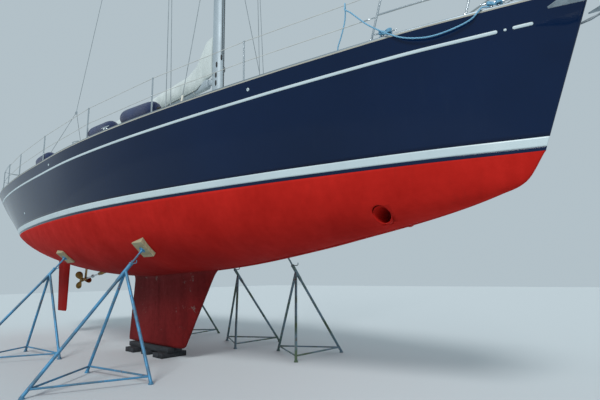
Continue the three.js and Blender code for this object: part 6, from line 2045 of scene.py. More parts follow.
@dataclass
class Hatch:
    """A deck hatch: an alloy rim, and a smoked lid with its own frame, handle and hinges that turns on its body."""

    name: str
    body: Body
    x: float
    size: float
    z: float
    node: str
    frame_node: str

    def build(self, locker: Locker) -> None:
        """Builds the rim, the lid's frame with its hinges and handles, and the pane."""
        half, z = self.size / 2, self.z

        def square(reach: float, height: float) -> Array:
            """A square outline with rounded corners."""
            turn = np.linspace(0.0, math.pi / 2, 7)
            parts = []
            for k, (sx, sy) in enumerate(((1, 1), (-1, 1), (-1, -1), (1, -1))):
                a = turn + k * math.pi / 2
                parts.append(np.stack([self.x + sx * (reach - 0.05) + 0.05 * np.cos(a),
                                       sy * (reach - 0.05) + 0.05 * np.sin(a), np.full(7, height)], axis=1))
            return np.concatenate(parts)

        def frame(outer: float, inner: float, low: float, high: float) -> Surface:
            """A square frame: outer and inner outlines at two heights, closed on itself."""
            rows = [square(outer, low), square(outer, high - 0.003), square(outer - 0.003, high),
                    square(inner, high), square(inner, low), square(outer, low)]
            return closed(Surface(np.stack(rows), wrap=True))

        rim = frame(half, half - 0.035, z - (0.022 if self.frame_node else 0.030), z + 0.0218)
        replaced = (self.frame_node,) if self.frame_node else ()
        locker.add(self.name + "_rim", [rim], Body.YACHT, "spar alloy", replaced)
        low = z + 0.0224
        lid = frame(half + 0.006, half - 0.045, low, low + 0.0255)
        hinges = [block((self.x + half - 0.045, y - 0.035, low + 0.020),
                        (self.x + half + 0.0055, y + 0.035, low + 0.040), 0.006) for y in (-0.16, 0.16)]
        grips = []
        for y in (-0.13, 0.13):
            grips.append(lathe([(0.018, 0.0), (0.018, 0.006), (0.008, 0.010)],
                               (self.x - half + 0.075, y, low + 0.0205), UP, 20))
            grips.append(block((self.x - half + 0.045, y - 0.008, low + 0.0265),
                               (self.x - half + 0.105, y + 0.008, low + 0.0355), 0.004))
        locker.add(self.name + "_frame", [lid, *hinges, *grips], self.body, "spar alloy")
        pane = block((self.x - half + 0.043, -half + 0.043, low + 0.004),
                     (self.x + half - 0.043, half - 0.043, low + 0.021), 0.006)
        locker.add(self.name + "_pane", [pane], self.body, "hatch acrylic", (self.node,))


@dataclass
class Cockpit:
    """The teak on the cockpit's sole and seats, and the locker lids."""

    front: float = -1.960
    back: float = -5.300
    seat_z: float = 3.600
    sole_z: float = 3.150
    well: tuple[float, float, float] = (-5.150, -2.050, 0.400)
    locker_x: tuple[float, float] = (-3.725, -2.475)
    locker_y: tuple[float, float] = (0.465, 0.8625)

    def teak(self, locker: Locker) -> None:
        """Teak laid on the sole and the seats: thin rounded panels with caulked seams."""
        panels = [block((self.well[0] + 0.03, -0.370, self.sole_z), (-4.260, 0.370, self.sole_z + 0.006),
                        0.002),
                  block((-3.980, -0.370, self.sole_z), (self.well[1] - 0.03, 0.370, self.sole_z + 0.006),
                        0.002)]
        for side in (1.0, -1.0):
            y = sorted((side * 0.430, side * 0.945))
            spans = ((self.back + 0.05, self.locker_x[0] - 0.015),
                     (self.locker_x[1] + 0.015, self.front - 0.05))
            for low, high in spans:
                panels.append(block((low, y[0], self.seat_z), (high, y[1], self.seat_z + 0.007), 0.003))
        panels.append(block((self.back + 0.05, -0.370, self.seat_z),
                            (self.well[0] - 0.02, 0.370, self.seat_z + 0.007), 0.003))
        locker.add("cockpit_teak", panels, Body.YACHT, "teak")

    def lids(self, locker: Locker) -> None:
        """The two seat locker lids, with a finger hole plate and hinges along the outer edge."""
        for side, label, body in ((1.0, "port", Body.LOCKER_PORT),
                                  (-1.0, "starboard", Body.LOCKER_STARBOARD)):
            y = sorted((side * self.locker_y[0], side * self.locker_y[1]))
            lid = block((self.locker_x[0], y[0], self.seat_z + 0.0004),
                        (self.locker_x[1], y[1], self.seat_z + 0.0182), 0.004)
            locker.add("locker_lid_board_" + label, [lid], body, "teak", ("locker_lid_" + label,))
            metal = []
            for x in (-3.45, -2.75):
                z = self.seat_z + 0.0178
                metal.append(block((x - 0.04, side * 0.842 - 0.018, z),
                                   (x + 0.04, side * 0.842 + 0.018, z + 0.003), 0.001))
                metal.append(tube(np.array([[x - 0.04, side * 0.8605, z + 0.001],
                                            [x + 0.04, side * 0.8605, z + 0.001]]), 0.0045, 12))
            metal.append(lathe([(0.030, -0.001), (0.030, 0.002), (0.024, 0.003), (0.016, 0.001)],
                               (-3.1, side * 0.53, self.seat_z + 0.018), UP, 28))
            locker.add("locker_hinges_" + label, metal, body, "stainless")

    def build(self, locker: Locker) -> None:
        """Builds the teak and the lids; the moulding keeps its own solid."""
        self.teak(locker)
        self.lids(locker)


@dataclass
class Helm:
    """The steering pedestal with its guard and compass, and the wheel that turns on it."""

    x: float = -4.120
    base_z: float = 3.1503
    top: float = 4.180
    wheel_x: float = -4.330
    wheel_z: float = 4.080
    wheel_radius: float = 0.520
    rim: float = 0.014
    spokes: int = 6

    def pedestal(self, locker: Locker) -> None:
        """The turned post, and the bent guard pipe over a compass bowl."""
        h = self.top - self.base_z
        profile = [(0.0, 0.0), (0.118, 0.0), (0.120, 0.006), (0.112, 0.026), (0.086, 0.044), (0.075, 0.070),
                   (0.070, 0.20), (0.064, h - 0.20), (0.072, h - 0.155), (0.094, h - 0.115),
                   (0.100, h - 0.09), (0.100, h - 0.022), (0.096, h - 0.012), (0.080, h + 0.004),
                   (0.070, h + 0.006), (0.0, h + 0.006)]
        locker.add("pedestal_post", [lathe(profile, (self.x, 0.0, self.base_z))], Body.YACHT, "white gelcoat",
                   ("steering_pedestal",))
        rise = np.linspace(0.0, math.pi / 2, 12)
        bowl = [(0.0, 0.0), (0.072, 0.0),
                (0.072, 0.012)] + [(0.066 * math.cos(a), 0.012 + 0.052 * math.sin(a)) for a in rise]
        locker.add("compass_bowl", [lathe(bowl, (self.x, 0.0, self.top + 0.005))], Body.YACHT, "window glass")
        x1 = self.x + 0.150
        guard = bent([(x1, -0.150, self.base_z + 0.0005), (x1, -0.150, 4.150), (x1 - 0.04, -0.110, 4.230),
                      (x1 - 0.04, 0.110, 4.230), (x1, 0.150, 4.150), (x1, 0.150, self.base_z + 0.0005)], 0.07,
                     9)
        parts = [tube(guard, 0.0128, 20, up=AHEAD),
                 tube(np.array([[x1, -0.150, 3.950], [x1, 0.150, 3.950]]), 0.011, 16),
                 tube(np.array([[self.x + 0.05, 0.0, 3.950], [x1, 0.0, 3.950]]), 0.011, 16),
                 lathe([(0.040, 0.0), (0.036, 0.02), (0.028, 0.03), (0.028, 0.161)],
                       (self.x, 0.0, self.wheel_z), (-1.0, 0.0, 0.0), 32)]
        for y in (-0.150, 0.150):
            parts.append(lathe([(0.034, 0.0), (0.034, 0.004), (0.020, 0.010), (0.014, 0.020)],
                               (x1, y, self.base_z), UP, 24))
        for side in (1.0, -1.0):
            parts.append(tube(bent([(self.x - 0.01, side * 0.09, self.top - 0.05),
                                    (self.x - 0.01, side * 0.145, self.top - 0.045),
                                    (self.x + 0.02, side * 0.150, self.top + 0.045)], 0.02), 0.006, 12,
                              up=(1.0, 0.1, 0.0)))
        locker.add("pedestal_guard", parts, Body.YACHT, "stainless")

    def wheel(self, locker: Locker) -> None:
        """The wheel: a ring, bent spokes and a stepped hub."""
        turn = np.arange(97) * TAU / 96
        rim = np.stack([np.full(97, self.wheel_x), self.wheel_radius * np.cos(turn),
                        self.wheel_z + self.wheel_radius * np.sin(turn)], axis=1)
        ring = carry(rim, circle(self.rim, 20), AHEAD)
        ring[0] = ring[-1] = (ring[0] + ring[-1]) / 2
        locker.add("wheel_rim", [closed(Surface(ring, wrap=True))], Body.WHEEL, "stainless",
                   ("steering_wheel",))
        parts = []
        t = np.linspace(0.0, 1.0, 14)
        for k in range(self.spokes):
            angle = TAU * k / self.spokes
            reach = 0.03 + (self.wheel_radius - 0.03) * t
            path = np.stack([self.wheel_x + 0.022 * np.sin(np.pi * t) * (1 - t), reach * math.cos(angle),
                             self.wheel_z + reach * math.sin(angle)], axis=1)
            parts.append(tube(path, 0.0085, 16, up=AHEAD, scale=1.15 - 0.25 * t))
        parts.append(lathe([(0.030, -0.048), (0.044, -0.040), (0.045, -0.012), (0.040, 0.0), (0.045, 0.010),
                            (0.036, 0.024), (0.018, 0.030)], (self.wheel_x, 0.0, self.wheel_z),
                           (-1.0, 0.0, 0.0), 40))
        locker.add("wheel_spokes", parts, Body.WHEEL, "stainless")

    def build(self, locker: Locker) -> None:
        """Builds the pedestal and the wheel."""
        self.pedestal(locker)
        self.wheel(locker)


# Canvas: the sprayhood, the sail cover, the furled sail and the fenders


@dataclass
class Sprayhood:
    """The canvas hood over the companionway, stretched over three bent bows, with clear panes in front."""

    rows: Array = field(default_factory=lambda: np.array([
        [-2.950, 0.980, 4.820, 0.50], [-2.500, 0.980, 4.860, 0.50], [-1.950, 0.950, 4.800, 0.52],
        [-1.430, 0.890, 4.600, 0.55], [-1.050, 0.790, 4.330, 0.60]]))
    bows: tuple[float, float, float] = (-2.925, -2.280, -1.640)
    panes: tuple[tuple[float, float], ...] = ((0.665, 1.195), (1.275, 1.867), (1.947, 2.477))
    pane_x: tuple[float, float] = (-1.560, -1.150)
    inside: tuple[float, float, float] = (-2.0, 0.0, 4.2)

    def shape(self, x: Array, angle: Array, inset: float = 0.0) -> Array:
        """The hood's surface.

        Half breadth is foot * |cos|^square and height is low + sin^0.7 * (top - low), where foot, top and square
        follow the rows by place. Between two bows the cloth sags by up to 14 mm, and small creases run from the feet.

        Args:
            x: Places, of any shape.
            angle: 0 at the port foot, pi at the starboard foot.
            inset: How far inside the cloth.

        Returns:
            Points.
        """
        table = self.rows
        foot, top, square = (np.interp(x, table[:, 0], table[:, k]) for k in (1, 2, 3))
        soft = np.linspace(table[0, 0], table[-1, 0], 60)
        top = np.interp(x, soft,
                        np.convolve(np.pad(np.interp(soft, table[:, 0], table[:, 2]), 5, mode="reflect",
                                           reflect_type="odd"), np.hanning(13)[1:-1] / 6.0, mode="valid"))
        step = np.clip((x + 1.98) / 0.12, 0.0, 1.0)
        low = 4.012 + 0.080 * step * step * (3 - 2 * step)
        c, s = np.cos(angle), np.clip(np.sin(angle), 0.0, None)
        places = np.array([self.bows[0], self.bows[1], self.bows[2], table[-1, 0]])
        k = np.clip(np.searchsorted(places, x) - 1, 0, 2)
        between = np.clip((x - places[k]) / (places[k + 1] - places[k]), 0.0, 1.0)
        sag = 0.014 * np.sin(np.pi * between) ** 2 * np.clip(s * 3, 0.0, 1.0)
        crease = 0.0022 * np.sin(31 * x + 9 * angle) * np.exp(-((s - 0.25) / 0.22) ** 2) \
            + 0.0015 * np.sin(17 * x - 23 * angle) * s
        inner = inset + sag + crease
        y = np.sign(c) * np.abs(c) ** square * (foot - inner)
        z = low + s ** 0.7 * (top - inner - low)
        return np.stack([x + 0.0 * y, y, z], axis=-1)

    def build(self, locker: Locker) -> None:
        """Builds the cloth, its bindings and clear panes, and the bows and grab rail under it."""
        x = np.concatenate([np.linspace(-2.950, self.pane_x[0], 44),
                            np.linspace(self.pane_x[0], self.pane_x[1], 15)[1:],
                            np.linspace(self.pane_x[1], -1.050, 6)[1:]])
        marks = np.unique(np.concatenate([np.linspace(0.0, math.pi, 109), np.array(self.panes).ravel()]))
        grid_x, grid_a = np.meshgrid(x, marks, indexing="ij")
        cell_x, cell_a = (grid_x[:-1, :-1] + grid_x[1:, 1:]) / 2, (grid_a[:-1, :-1] + grid_a[1:, 1:]) / 2
        holes = np.zeros(cell_x.shape, dtype=bool)
        for low, high in self.panes:
            holes |= (cell_x > self.pane_x[0]) & (cell_x < self.pane_x[1]) & (cell_a > low) & (cell_a < high)
        points = self.shape(grid_x, grid_a)
        cloth = outward(Surface(points, keep=~holes), self.inside)
        piece = locker.add("sprayhood_cloth", [cloth], Body.YACHT, "canvas", ("sprayhood",), sharp_deg=180.0,
                           wall=0.0014)
        clear, binding = [], []
        for low, high in self.panes:
            px, pa = np.meshgrid(np.linspace(self.pane_x[0] - 0.012, self.pane_x[1] + 0.012, 16),
                                 np.linspace(low - 0.012, high + 0.012, 22), indexing="ij")
            clear.append(outward(Surface(self.shape(px, pa, 0.0022)), self.inside))
            corner = np.array([[self.pane_x[0], low], [self.pane_x[1], low], [self.pane_x[1], high],
                               [self.pane_x[0], high], [self.pane_x[0], low]])
            t = np.linspace(0.0, 4.0, 97)
            k = np.clip(t.astype(int), 0, 3)
            ring = corner[k] + (corner[k + 1] - corner[k]) * (t - k)[:, None]
            centre = corner[:4].mean(axis=0)
            wide = [ring + (ring - centre) * g for g in (-0.035, 0.0, 0.05, 0.085)]
            strip = np.stack([self.shape(w[:, 0], w[:, 1], -h)
                              for w, h in zip(wide, (0.0004, 0.0016, 0.0016, 0.0002))])
            binding.append(outward(Surface(strip), self.inside))
        panes = locker.add("sprayhood_panes", clear, Body.YACHT, "clear vinyl", sharp_deg=180.0, wall=0.0008)
        around = np.linspace(0.0, math.pi, 90)
        for place in (-2.948, *self.bows[1:], -1.052):
            band = np.stack([self.shape(np.full(90, place + d), around, -h)
                             for d, h in ((-0.022, 0.0002), (-0.019, 0.0015), (0.019, 0.0015),
                                          (0.022, 0.0002)) if place + d > -2.9501])
            binding.append(outward(Surface(band), self.inside))
        trim = locker.add("sprayhood_binding", binding, Body.YACHT, "canvas", sharp_deg=180.0)
        frames = []
        for place in self.bows:
            frames.append(tube(self.shape(np.full(80, place), np.linspace(0.0, math.pi, 80), 0.016), 0.0115,
                               16, up=AHEAD))
            for angle in (0.0, math.pi):
                foot = self.shape(np.array(place), np.array(angle), 0.016)
                frames.append(lathe([(0.020, -0.012), (0.022, 0.0), (0.015, 0.028), (0.0, 0.030)], foot, UP,
                                    20))
        grip = self.shape(np.full(60, -2.935), np.linspace(0.95, math.pi - 0.95, 60), -0.045)
        ends = self.shape(np.full(2, -2.935), np.array([0.93, math.pi - 0.93]), 0.0)
        frames.append(tube(np.concatenate([ends[:1], grip, ends[1:]]), 0.0115, 16, up=AHEAD))
        locker.add("sprayhood_bows", frames, Body.YACHT, "stainless")


@dataclass
class SailCover:
    """The canvas cover over the flaked mainsail: one cloth over the boom, tied under it, high and narrow in front."""

    rows: Array = field(default_factory=lambda: np.array([
        [1.735, 0.040, 5.200, 5.995], [1.660, 0.060, 5.182, 5.985], [1.555, 0.085, 5.165, 5.960],
        [1.470, 0.120, 5.060, 5.800], [1.330, 0.150, 4.990, 5.560],
        [1.050, 0.165, 4.985, 5.440], [0.400, 0.165, 4.985, 5.400], [-1.200, 0.150, 4.990, 5.340],
        [-2.800, 0.125, 4.995, 5.280], [-3.700, 0.095, 5.005, 5.215]]))
    ties: int = 11
    inside: tuple[float, float, float] = (-1.0, 0.0, 5.15)

    def shape(self, x: Array, angle: Array) -> Array:
        """The cloth: an egg-shaped section about the boom, wide below and narrow above.

        Folds hang down from the ridge in slanting waves, the cloth draws in between the ties, and a soft bundle of
        sail shows as swellings along the top.
        """
        table = self.rows[::-1]
        half, low, high = (np.interp(x, table[:, 0], table[:, k]) for k in (1, 2, 3))
        s, c = np.sin(angle), np.cos(angle)
        width = half * np.where(s > 0, 1 - 0.35 * s * s, 1.0)
        swell = 0.010 * np.sin(5.1 * x + 0.7) + 0.006 * np.sin(11.7 * x)
        fold = 0.0075 * np.sin(13.0 * x + 3.0 * s + 1.6
                               * np.sin(2.3 * x)) * np.clip(1 - np.abs(s - 0.1), 0.0, 1.0)
        fold += 0.004 * np.sin(29.0 * x - 5.0 * s + 2.0
                               * np.sin(3.1 * x)) * np.clip(1.1 - np.abs(s), 0.0, 1.0)
        tie = -0.008 * np.sin(np.pi * np.clip((1.45 - x) / 5.1, 0, 1)
                              * self.ties) ** 2 * np.clip(-s, 0.0, 1.0)
        y = np.sign(c) * np.abs(c) ** 0.75 * (width - 0.012 + fold + tie)
        top = high - 0.014 + np.clip(s, 0, 1) * swell
        z = (low + top) / 2 + np.sign(s) * np.abs(s) ** 0.9 * (top - low) / 2
        return np.stack([x + 0.0 * y, y, z], axis=-1)

    def build(self, locker: Locker) -> None:
        """Builds the cloth with its drawn-in ends, the ridge seam, the hems and the ties."""
        x = np.concatenate([np.linspace(1.735, 1.30, 36), np.linspace(1.30, -3.70, 230)[1:]])
        reach = math.pi / 2 + np.interp(x, [1.46, 1.56], [1.12, 1.54])
        angle = math.pi / 2 + reach[:, None] * np.linspace(-1.0, 1.0, 73)
        points = self.shape(np.broadcast_to(x[:, None], angle.shape), angle)
        front = points[0].mean(axis=0)
        back = points[-1].mean(axis=0)
        nose = np.stack([front + (points[0] - front) * k + np.array([d, 0.0, 0.0])
                         for k, d in ((0.03, 0.010), (0.45, 0.009), (0.84, 0.006))])
        tail = np.stack([back + (points[-1] - back) * k + np.array([d, 0.0, 0.0])
                         for k, d in ((0.90, -0.018), (0.66, -0.030), (0.42, -0.030))])
        whole = np.concatenate([nose, points, tail])
        piece = locker.add("sail_cover_cloth", [outward(Surface(whole), self.inside)], Body.BOOM, "canvas",
                           ("sail_cover",), sharp_deg=180.0, wall=0.0013)
        trims, cords = [], []
        ridge = [self.shape(x, np.full(len(x), math.pi / 2 + d)) + np.array([0.0, 0.0, h])
                 for d, h in ((-0.10, 0.0006), (-0.08, 0.0022), (0.08, 0.0022), (0.10, 0.0006))]
        trims.append(outward(Surface(np.stack(ridge)), self.inside))
        for edge, sign in ((angle[:, 0], 1.0), (angle[:, -1], -1.0)):
            hem = [self.shape(x, edge + sign * d) * np.array([1.0, 1.0 + h, 1.0])
                   for d, h in ((0.0, 0.002), (0.01, 0.020), (0.13, 0.020), (0.15, 0.002))]
            trims.append(outward(Surface(np.stack(hem)), self.inside))
        trim = locker.add("sail_cover_seams", trims, Body.BOOM, "canvas", sharp_deg=180.0)
        for k in range(self.ties):
            place = 1.22 - 4.75 * k / (self.ties - 1)
            ends = self.shape(np.array([place, place]), angle[-1, [0, -1]] + np.array([0.06, -0.06]))
            low = 4.9615
            loop = np.array([ends[0], [place, 0.058, low + 0.012], [place, 0.040, low], [place, -0.040, low],
                             [place, -0.058, low + 0.012], ends[1]])
            cords.append(tube(spline(loop, 26), 0.0032, 10, up=AHEAD))
            for end in ends:
                cords.append(lathe([(0.009, -0.003), (0.010, 0.0), (0.006, 0.004), (0.0, 0.003)],
                                   end * np.array([1.0, 1.03, 1.0]), (0.0, float(np.sign(end[1])), 0.0), 16))
        ties = locker.add("sail_cover_ties", cords, Body.BOOM, "sailcloth")


@dataclass
class FurledGenoa:
    """The headsail rolled on its stay: a spiral of cloth on the foil, with the drum, its line and the swivel."""

    foot: tuple[float, float] = (7.520, 4.150)
    head: tuple[float, float] = (1.980, 20.900)
    radius: float = 0.072
    drum: float = 0.095
    rows: Array = field(default_factory=lambda: np.array([
        [0.045, 0.35], [0.070, 0.85], [0.120, 1.0], [0.350, 0.95], [0.700, 0.68], [0.930, 0.34], [0.950, 0.16]]))

    def at(self, t: Array) -> Array:
        """Points of the stay at shares of its length."""
        t = np.asarray(t, dtype=float)
        return np.stack([self.foot[0] + (self.head[0] - self.foot[0]) * t, 0.0 * t,
                         self.foot[1] + (self.head[1] - self.foot[1]) * t], axis=-1)

    def build(self, locker: Locker) -> None:
        """Builds the roll, whose radius steps up once each turn as the leech winds up it, and its gear."""
        t = np.concatenate([np.linspace(0.045, 0.075, 14)[:-1], np.linspace(0.075, 0.925, 420),
                            np.linspace(0.925, 0.950, 12)[1:]])
        path = self.at(t)
        turn = np.arange(36) * TAU / 36
        size = np.interp(t, self.rows[:, 0], self.rows[:, 1]) * self.radius
        length = math.hypot(self.head[0] - self.foot[0], self.head[1] - self.foot[1])
        phase = (turn[None] / TAU + (t * length / 1.35)[:, None]) % 1.0
        soft = 0.93 + 0.085 * phase - 0.075 * np.clip((phase - 0.94) / 0.06, 0.0, 1.0)
        soft = soft + 0.012 * np.sin(9 * turn[None] + 60 * t[:, None]) * np.sin(140 * t[:, None])
        grid = carry(path, circle(1.0, 36), PORT, size)
        grid = path[:, None] + (grid - path[:, None]) * soft[..., None]
        roll = loft(grid)
        locker.add("genoa_roll", [roll], Body.YACHT, "sailcloth", ("furled_genoa",), sharp_deg=60.0)
        along = (self.at(1.0) - self.at(0.0)) / length
        metal = [tube(self.at(np.array([0.010, 0.985])), 0.0165, 20, up=PORT)]
        base = self.at(0.0195)
        d = self.drum
        metal.append(lathe([(d - 0.004, 0.0), (d, 0.004), (d, 0.018), (d - 0.004, 0.022), (d * 0.6, 0.024),
                            (d * 0.55, 0.03), (d * 0.55, 0.128), (d * 0.6, 0.132), (d - 0.004, 0.134),
                            (d, 0.138), (d, 0.152), (d - 0.004, 0.156), (0.03, 0.160)], base, along, 48))
        metal.append(tube(self.at(np.array([-0.005, 0.017])), 0.011, 20, up=PORT))
        for share in (0.956, 0.036):
            metal.append(lathe([(0.0, -0.05), (0.030, -0.048), (0.034, -0.03), (0.028, -0.006),
                                (0.028, 0.006), (0.034, 0.03), (0.030, 0.048), (0.0, 0.05)], self.at(share),
                               along, 28))
        metal.append(tube(self.at(np.array([0.984, 0.9995])), 0.006, 12, up=PORT))
        metal.append(lathe([(0.012, -0.03), (0.014, -0.01), (0.014, 0.02), (0.008, 0.04)], self.at(0.9965),
                           along, 20))
        for side in (1.0, -1.0):
            toggle = bent([self.at(0.0) + np.array([0.0, side * 0.016, -0.045]),
                           self.at(0.0) + np.array([0.0, side * 0.016, 0.03]), self.at(0.006)], 0.02)
            metal.append(tube(toggle, 0.006, 12, up=AHEAD))
        locker.add("furler_gear", metal, Body.YACHT, "stainless")
        winds = np.linspace(0.0, 7 * TAU, 260)
        first = np.cross(along, PORT)
        coil = base + along * (0.036 + 0.080 * winds / winds[-1])[:, None] \
            + (d * 0.55 + 0.006) * (np.cos(winds)[:, None] * first + np.sin(winds)[:, None]
                                    * np.array([0.0, 1.0, 0.0]))
        locker.add("furling_line_turns", [tube(coil, 0.0055, 10, up=along)], Body.YACHT, "sailcloth")


@dataclass
class Fender:
    """An inflated fender in a knitted cover on the side deck: swollen, with creases where its ends draw in."""

    form: HullForm
    node: str
    x: float
    y: float
    radius: float
    length: float

    def build(self, locker: Locker) -> None:
        """Builds the swollen cover and its end eyes."""
        f = self.form
        half = self.length / 2
        yaw = math.atan2(float(f.deck_edge(self.x + 0.3)[0] - f.deck_edge(self.x - 0.3)[0]), -0.6)
        axis = np.array([math.cos(yaw), math.sin(yaw), 0.0])
        centre = np.array([self.x, self.y, float(f.deck(self.x, abs(self.y))) + self.radius - 0.0035])
        s = np.linspace(-1.0, 1.0, 81)
        r = self.radius * (1 - 0.012 * (1 - s ** 2)) * np.clip(1 - np.abs(s) ** 7.0, 0.0, 1.0) ** 0.42
        r = np.maximum(r, 0.024)
        height = s * half
        rows = np.concatenate([[[0.0, -half - 0.004]], np.stack([r, height], axis=1), [[0.0, half + 0.004]]])
        body = lathe(rows, centre, axis, 64)
        turn = np.arange(64) * TAU / 64
        near = np.concatenate([[1.0], np.clip((np.abs(s) - 0.72) / 0.28, 0.0, 1.0), [1.0]])[:, None]
        crease = 1 - near ** 1.5 * (0.035 + 0.03
                                    * np.sin(14 * turn + 2.0 * np.sin(3 * turn))[None]) * (near < 1.0)
        middle = centre + rows[:, 1:2] * axis
        body.points = middle[:, None] + (body.points - middle[:, None]) * crease[..., None]
        floor = centre[2] - self.radius + 0.0035
        flat = np.clip(floor + 0.004 - body.points[..., 2], 0.0, None)
        body.points[..., 2] += flat
        body.uv_size = (self.length, TAU * self.radius)
        piece = locker.add(self.node + "_cover", [body], Body.YACHT, "fender cover", (self.node,),
                           sharp_deg=70.0)
        eyes = []
        for sign in (-1.0, 1.0):
            start = centre + axis * sign * (half - 0.006)
            eyes.append(lathe([(0.030, 0.0), (0.027, 0.022), (0.022, 0.034), (0.020, 0.050), (0.014, 0.058),
                               (0.0, 0.060)], start, axis * sign, 28))
        locker.add(self.node + "_ends", eyes, Body.YACHT, "rubber")


# Spars, standing rigging, rails and deck gear


def rod(start: Sequence[float], end: Sequence[float], radius: float, sides: int = 10) -> Surface:
    """A straight round rod between two points."""
    path = np.linspace(np.asarray(start, dtype=float), np.asarray(end, dtype=float), 5)
    along = np.abs(path[-1] - path[0])
    return tube(path, radius, sides, up=AHEAD if along[0] < along.max() else PORT)


def rigging_screw(foot: Sequence[float], head: Sequence[float], length: float,
                  radius: float) -> list[Surface]:
    """A bottlescrew on a wire: toggle, lower screw, body with two hexagon ends, upper screw and swaged terminal.

    Args:
        foot: Where the wire is pinned.
        head: Where the wire leads.
        length: From the pin to the top of the swage.
        radius: Of its thickest place.

    Returns:
        The turned parts.
    """
    base = np.asarray(foot, dtype=float)
    along = np.asarray(head, dtype=float) - base
    along /= np.linalg.norm(along)
    r, n = radius, length
    body = lathe([(0.50 * r, 0.16 * n), (0.50 * r, 0.26 * n), (0.92 * r, 0.262 * n), (0.98 * r, 0.275 * n),
                  (0.98 * r, 0.30 * n), (0.70 * r, 0.315 * n), (0.66 * r, 0.42 * n), (0.70 * r, 0.53 * n),
                  (0.98 * r, 0.545 * n), (0.98 * r, 0.57 * n), (0.92 * r, 0.583 * n), (0.50 * r, 0.585 * n),
                  (0.50 * r, 0.70 * n), (0.74 * r, 0.705 * n), (0.74 * r, 0.76 * n), (0.60 * r, 0.765 * n),
                  (0.57 * r, 0.985 * n), (0.40 * r, n)], base, along, 20)
    fork = lathe([(0.70 * r, 0.0), (0.95 * r, 0.012 * n), (0.95 * r, 0.05 * n), (0.62 * r, 0.07 * n),
                  (0.62 * r, 0.09 * n), (0.95 * r, 0.11 * n), (0.95 * r, 0.14 * n), (0.6 * r, 0.165 * n)],
                 base, along, 20)
    across = np.cross(along, AHEAD)
    across /= np.linalg.norm(across)
    pins = [rod(base + along * n * s - across * 0.96 * r, base + along * n * s + across * 0.96 * r, 0.24 * r,
                12) for s in (0.03, 0.125)]
    return [fork, body, *pins]


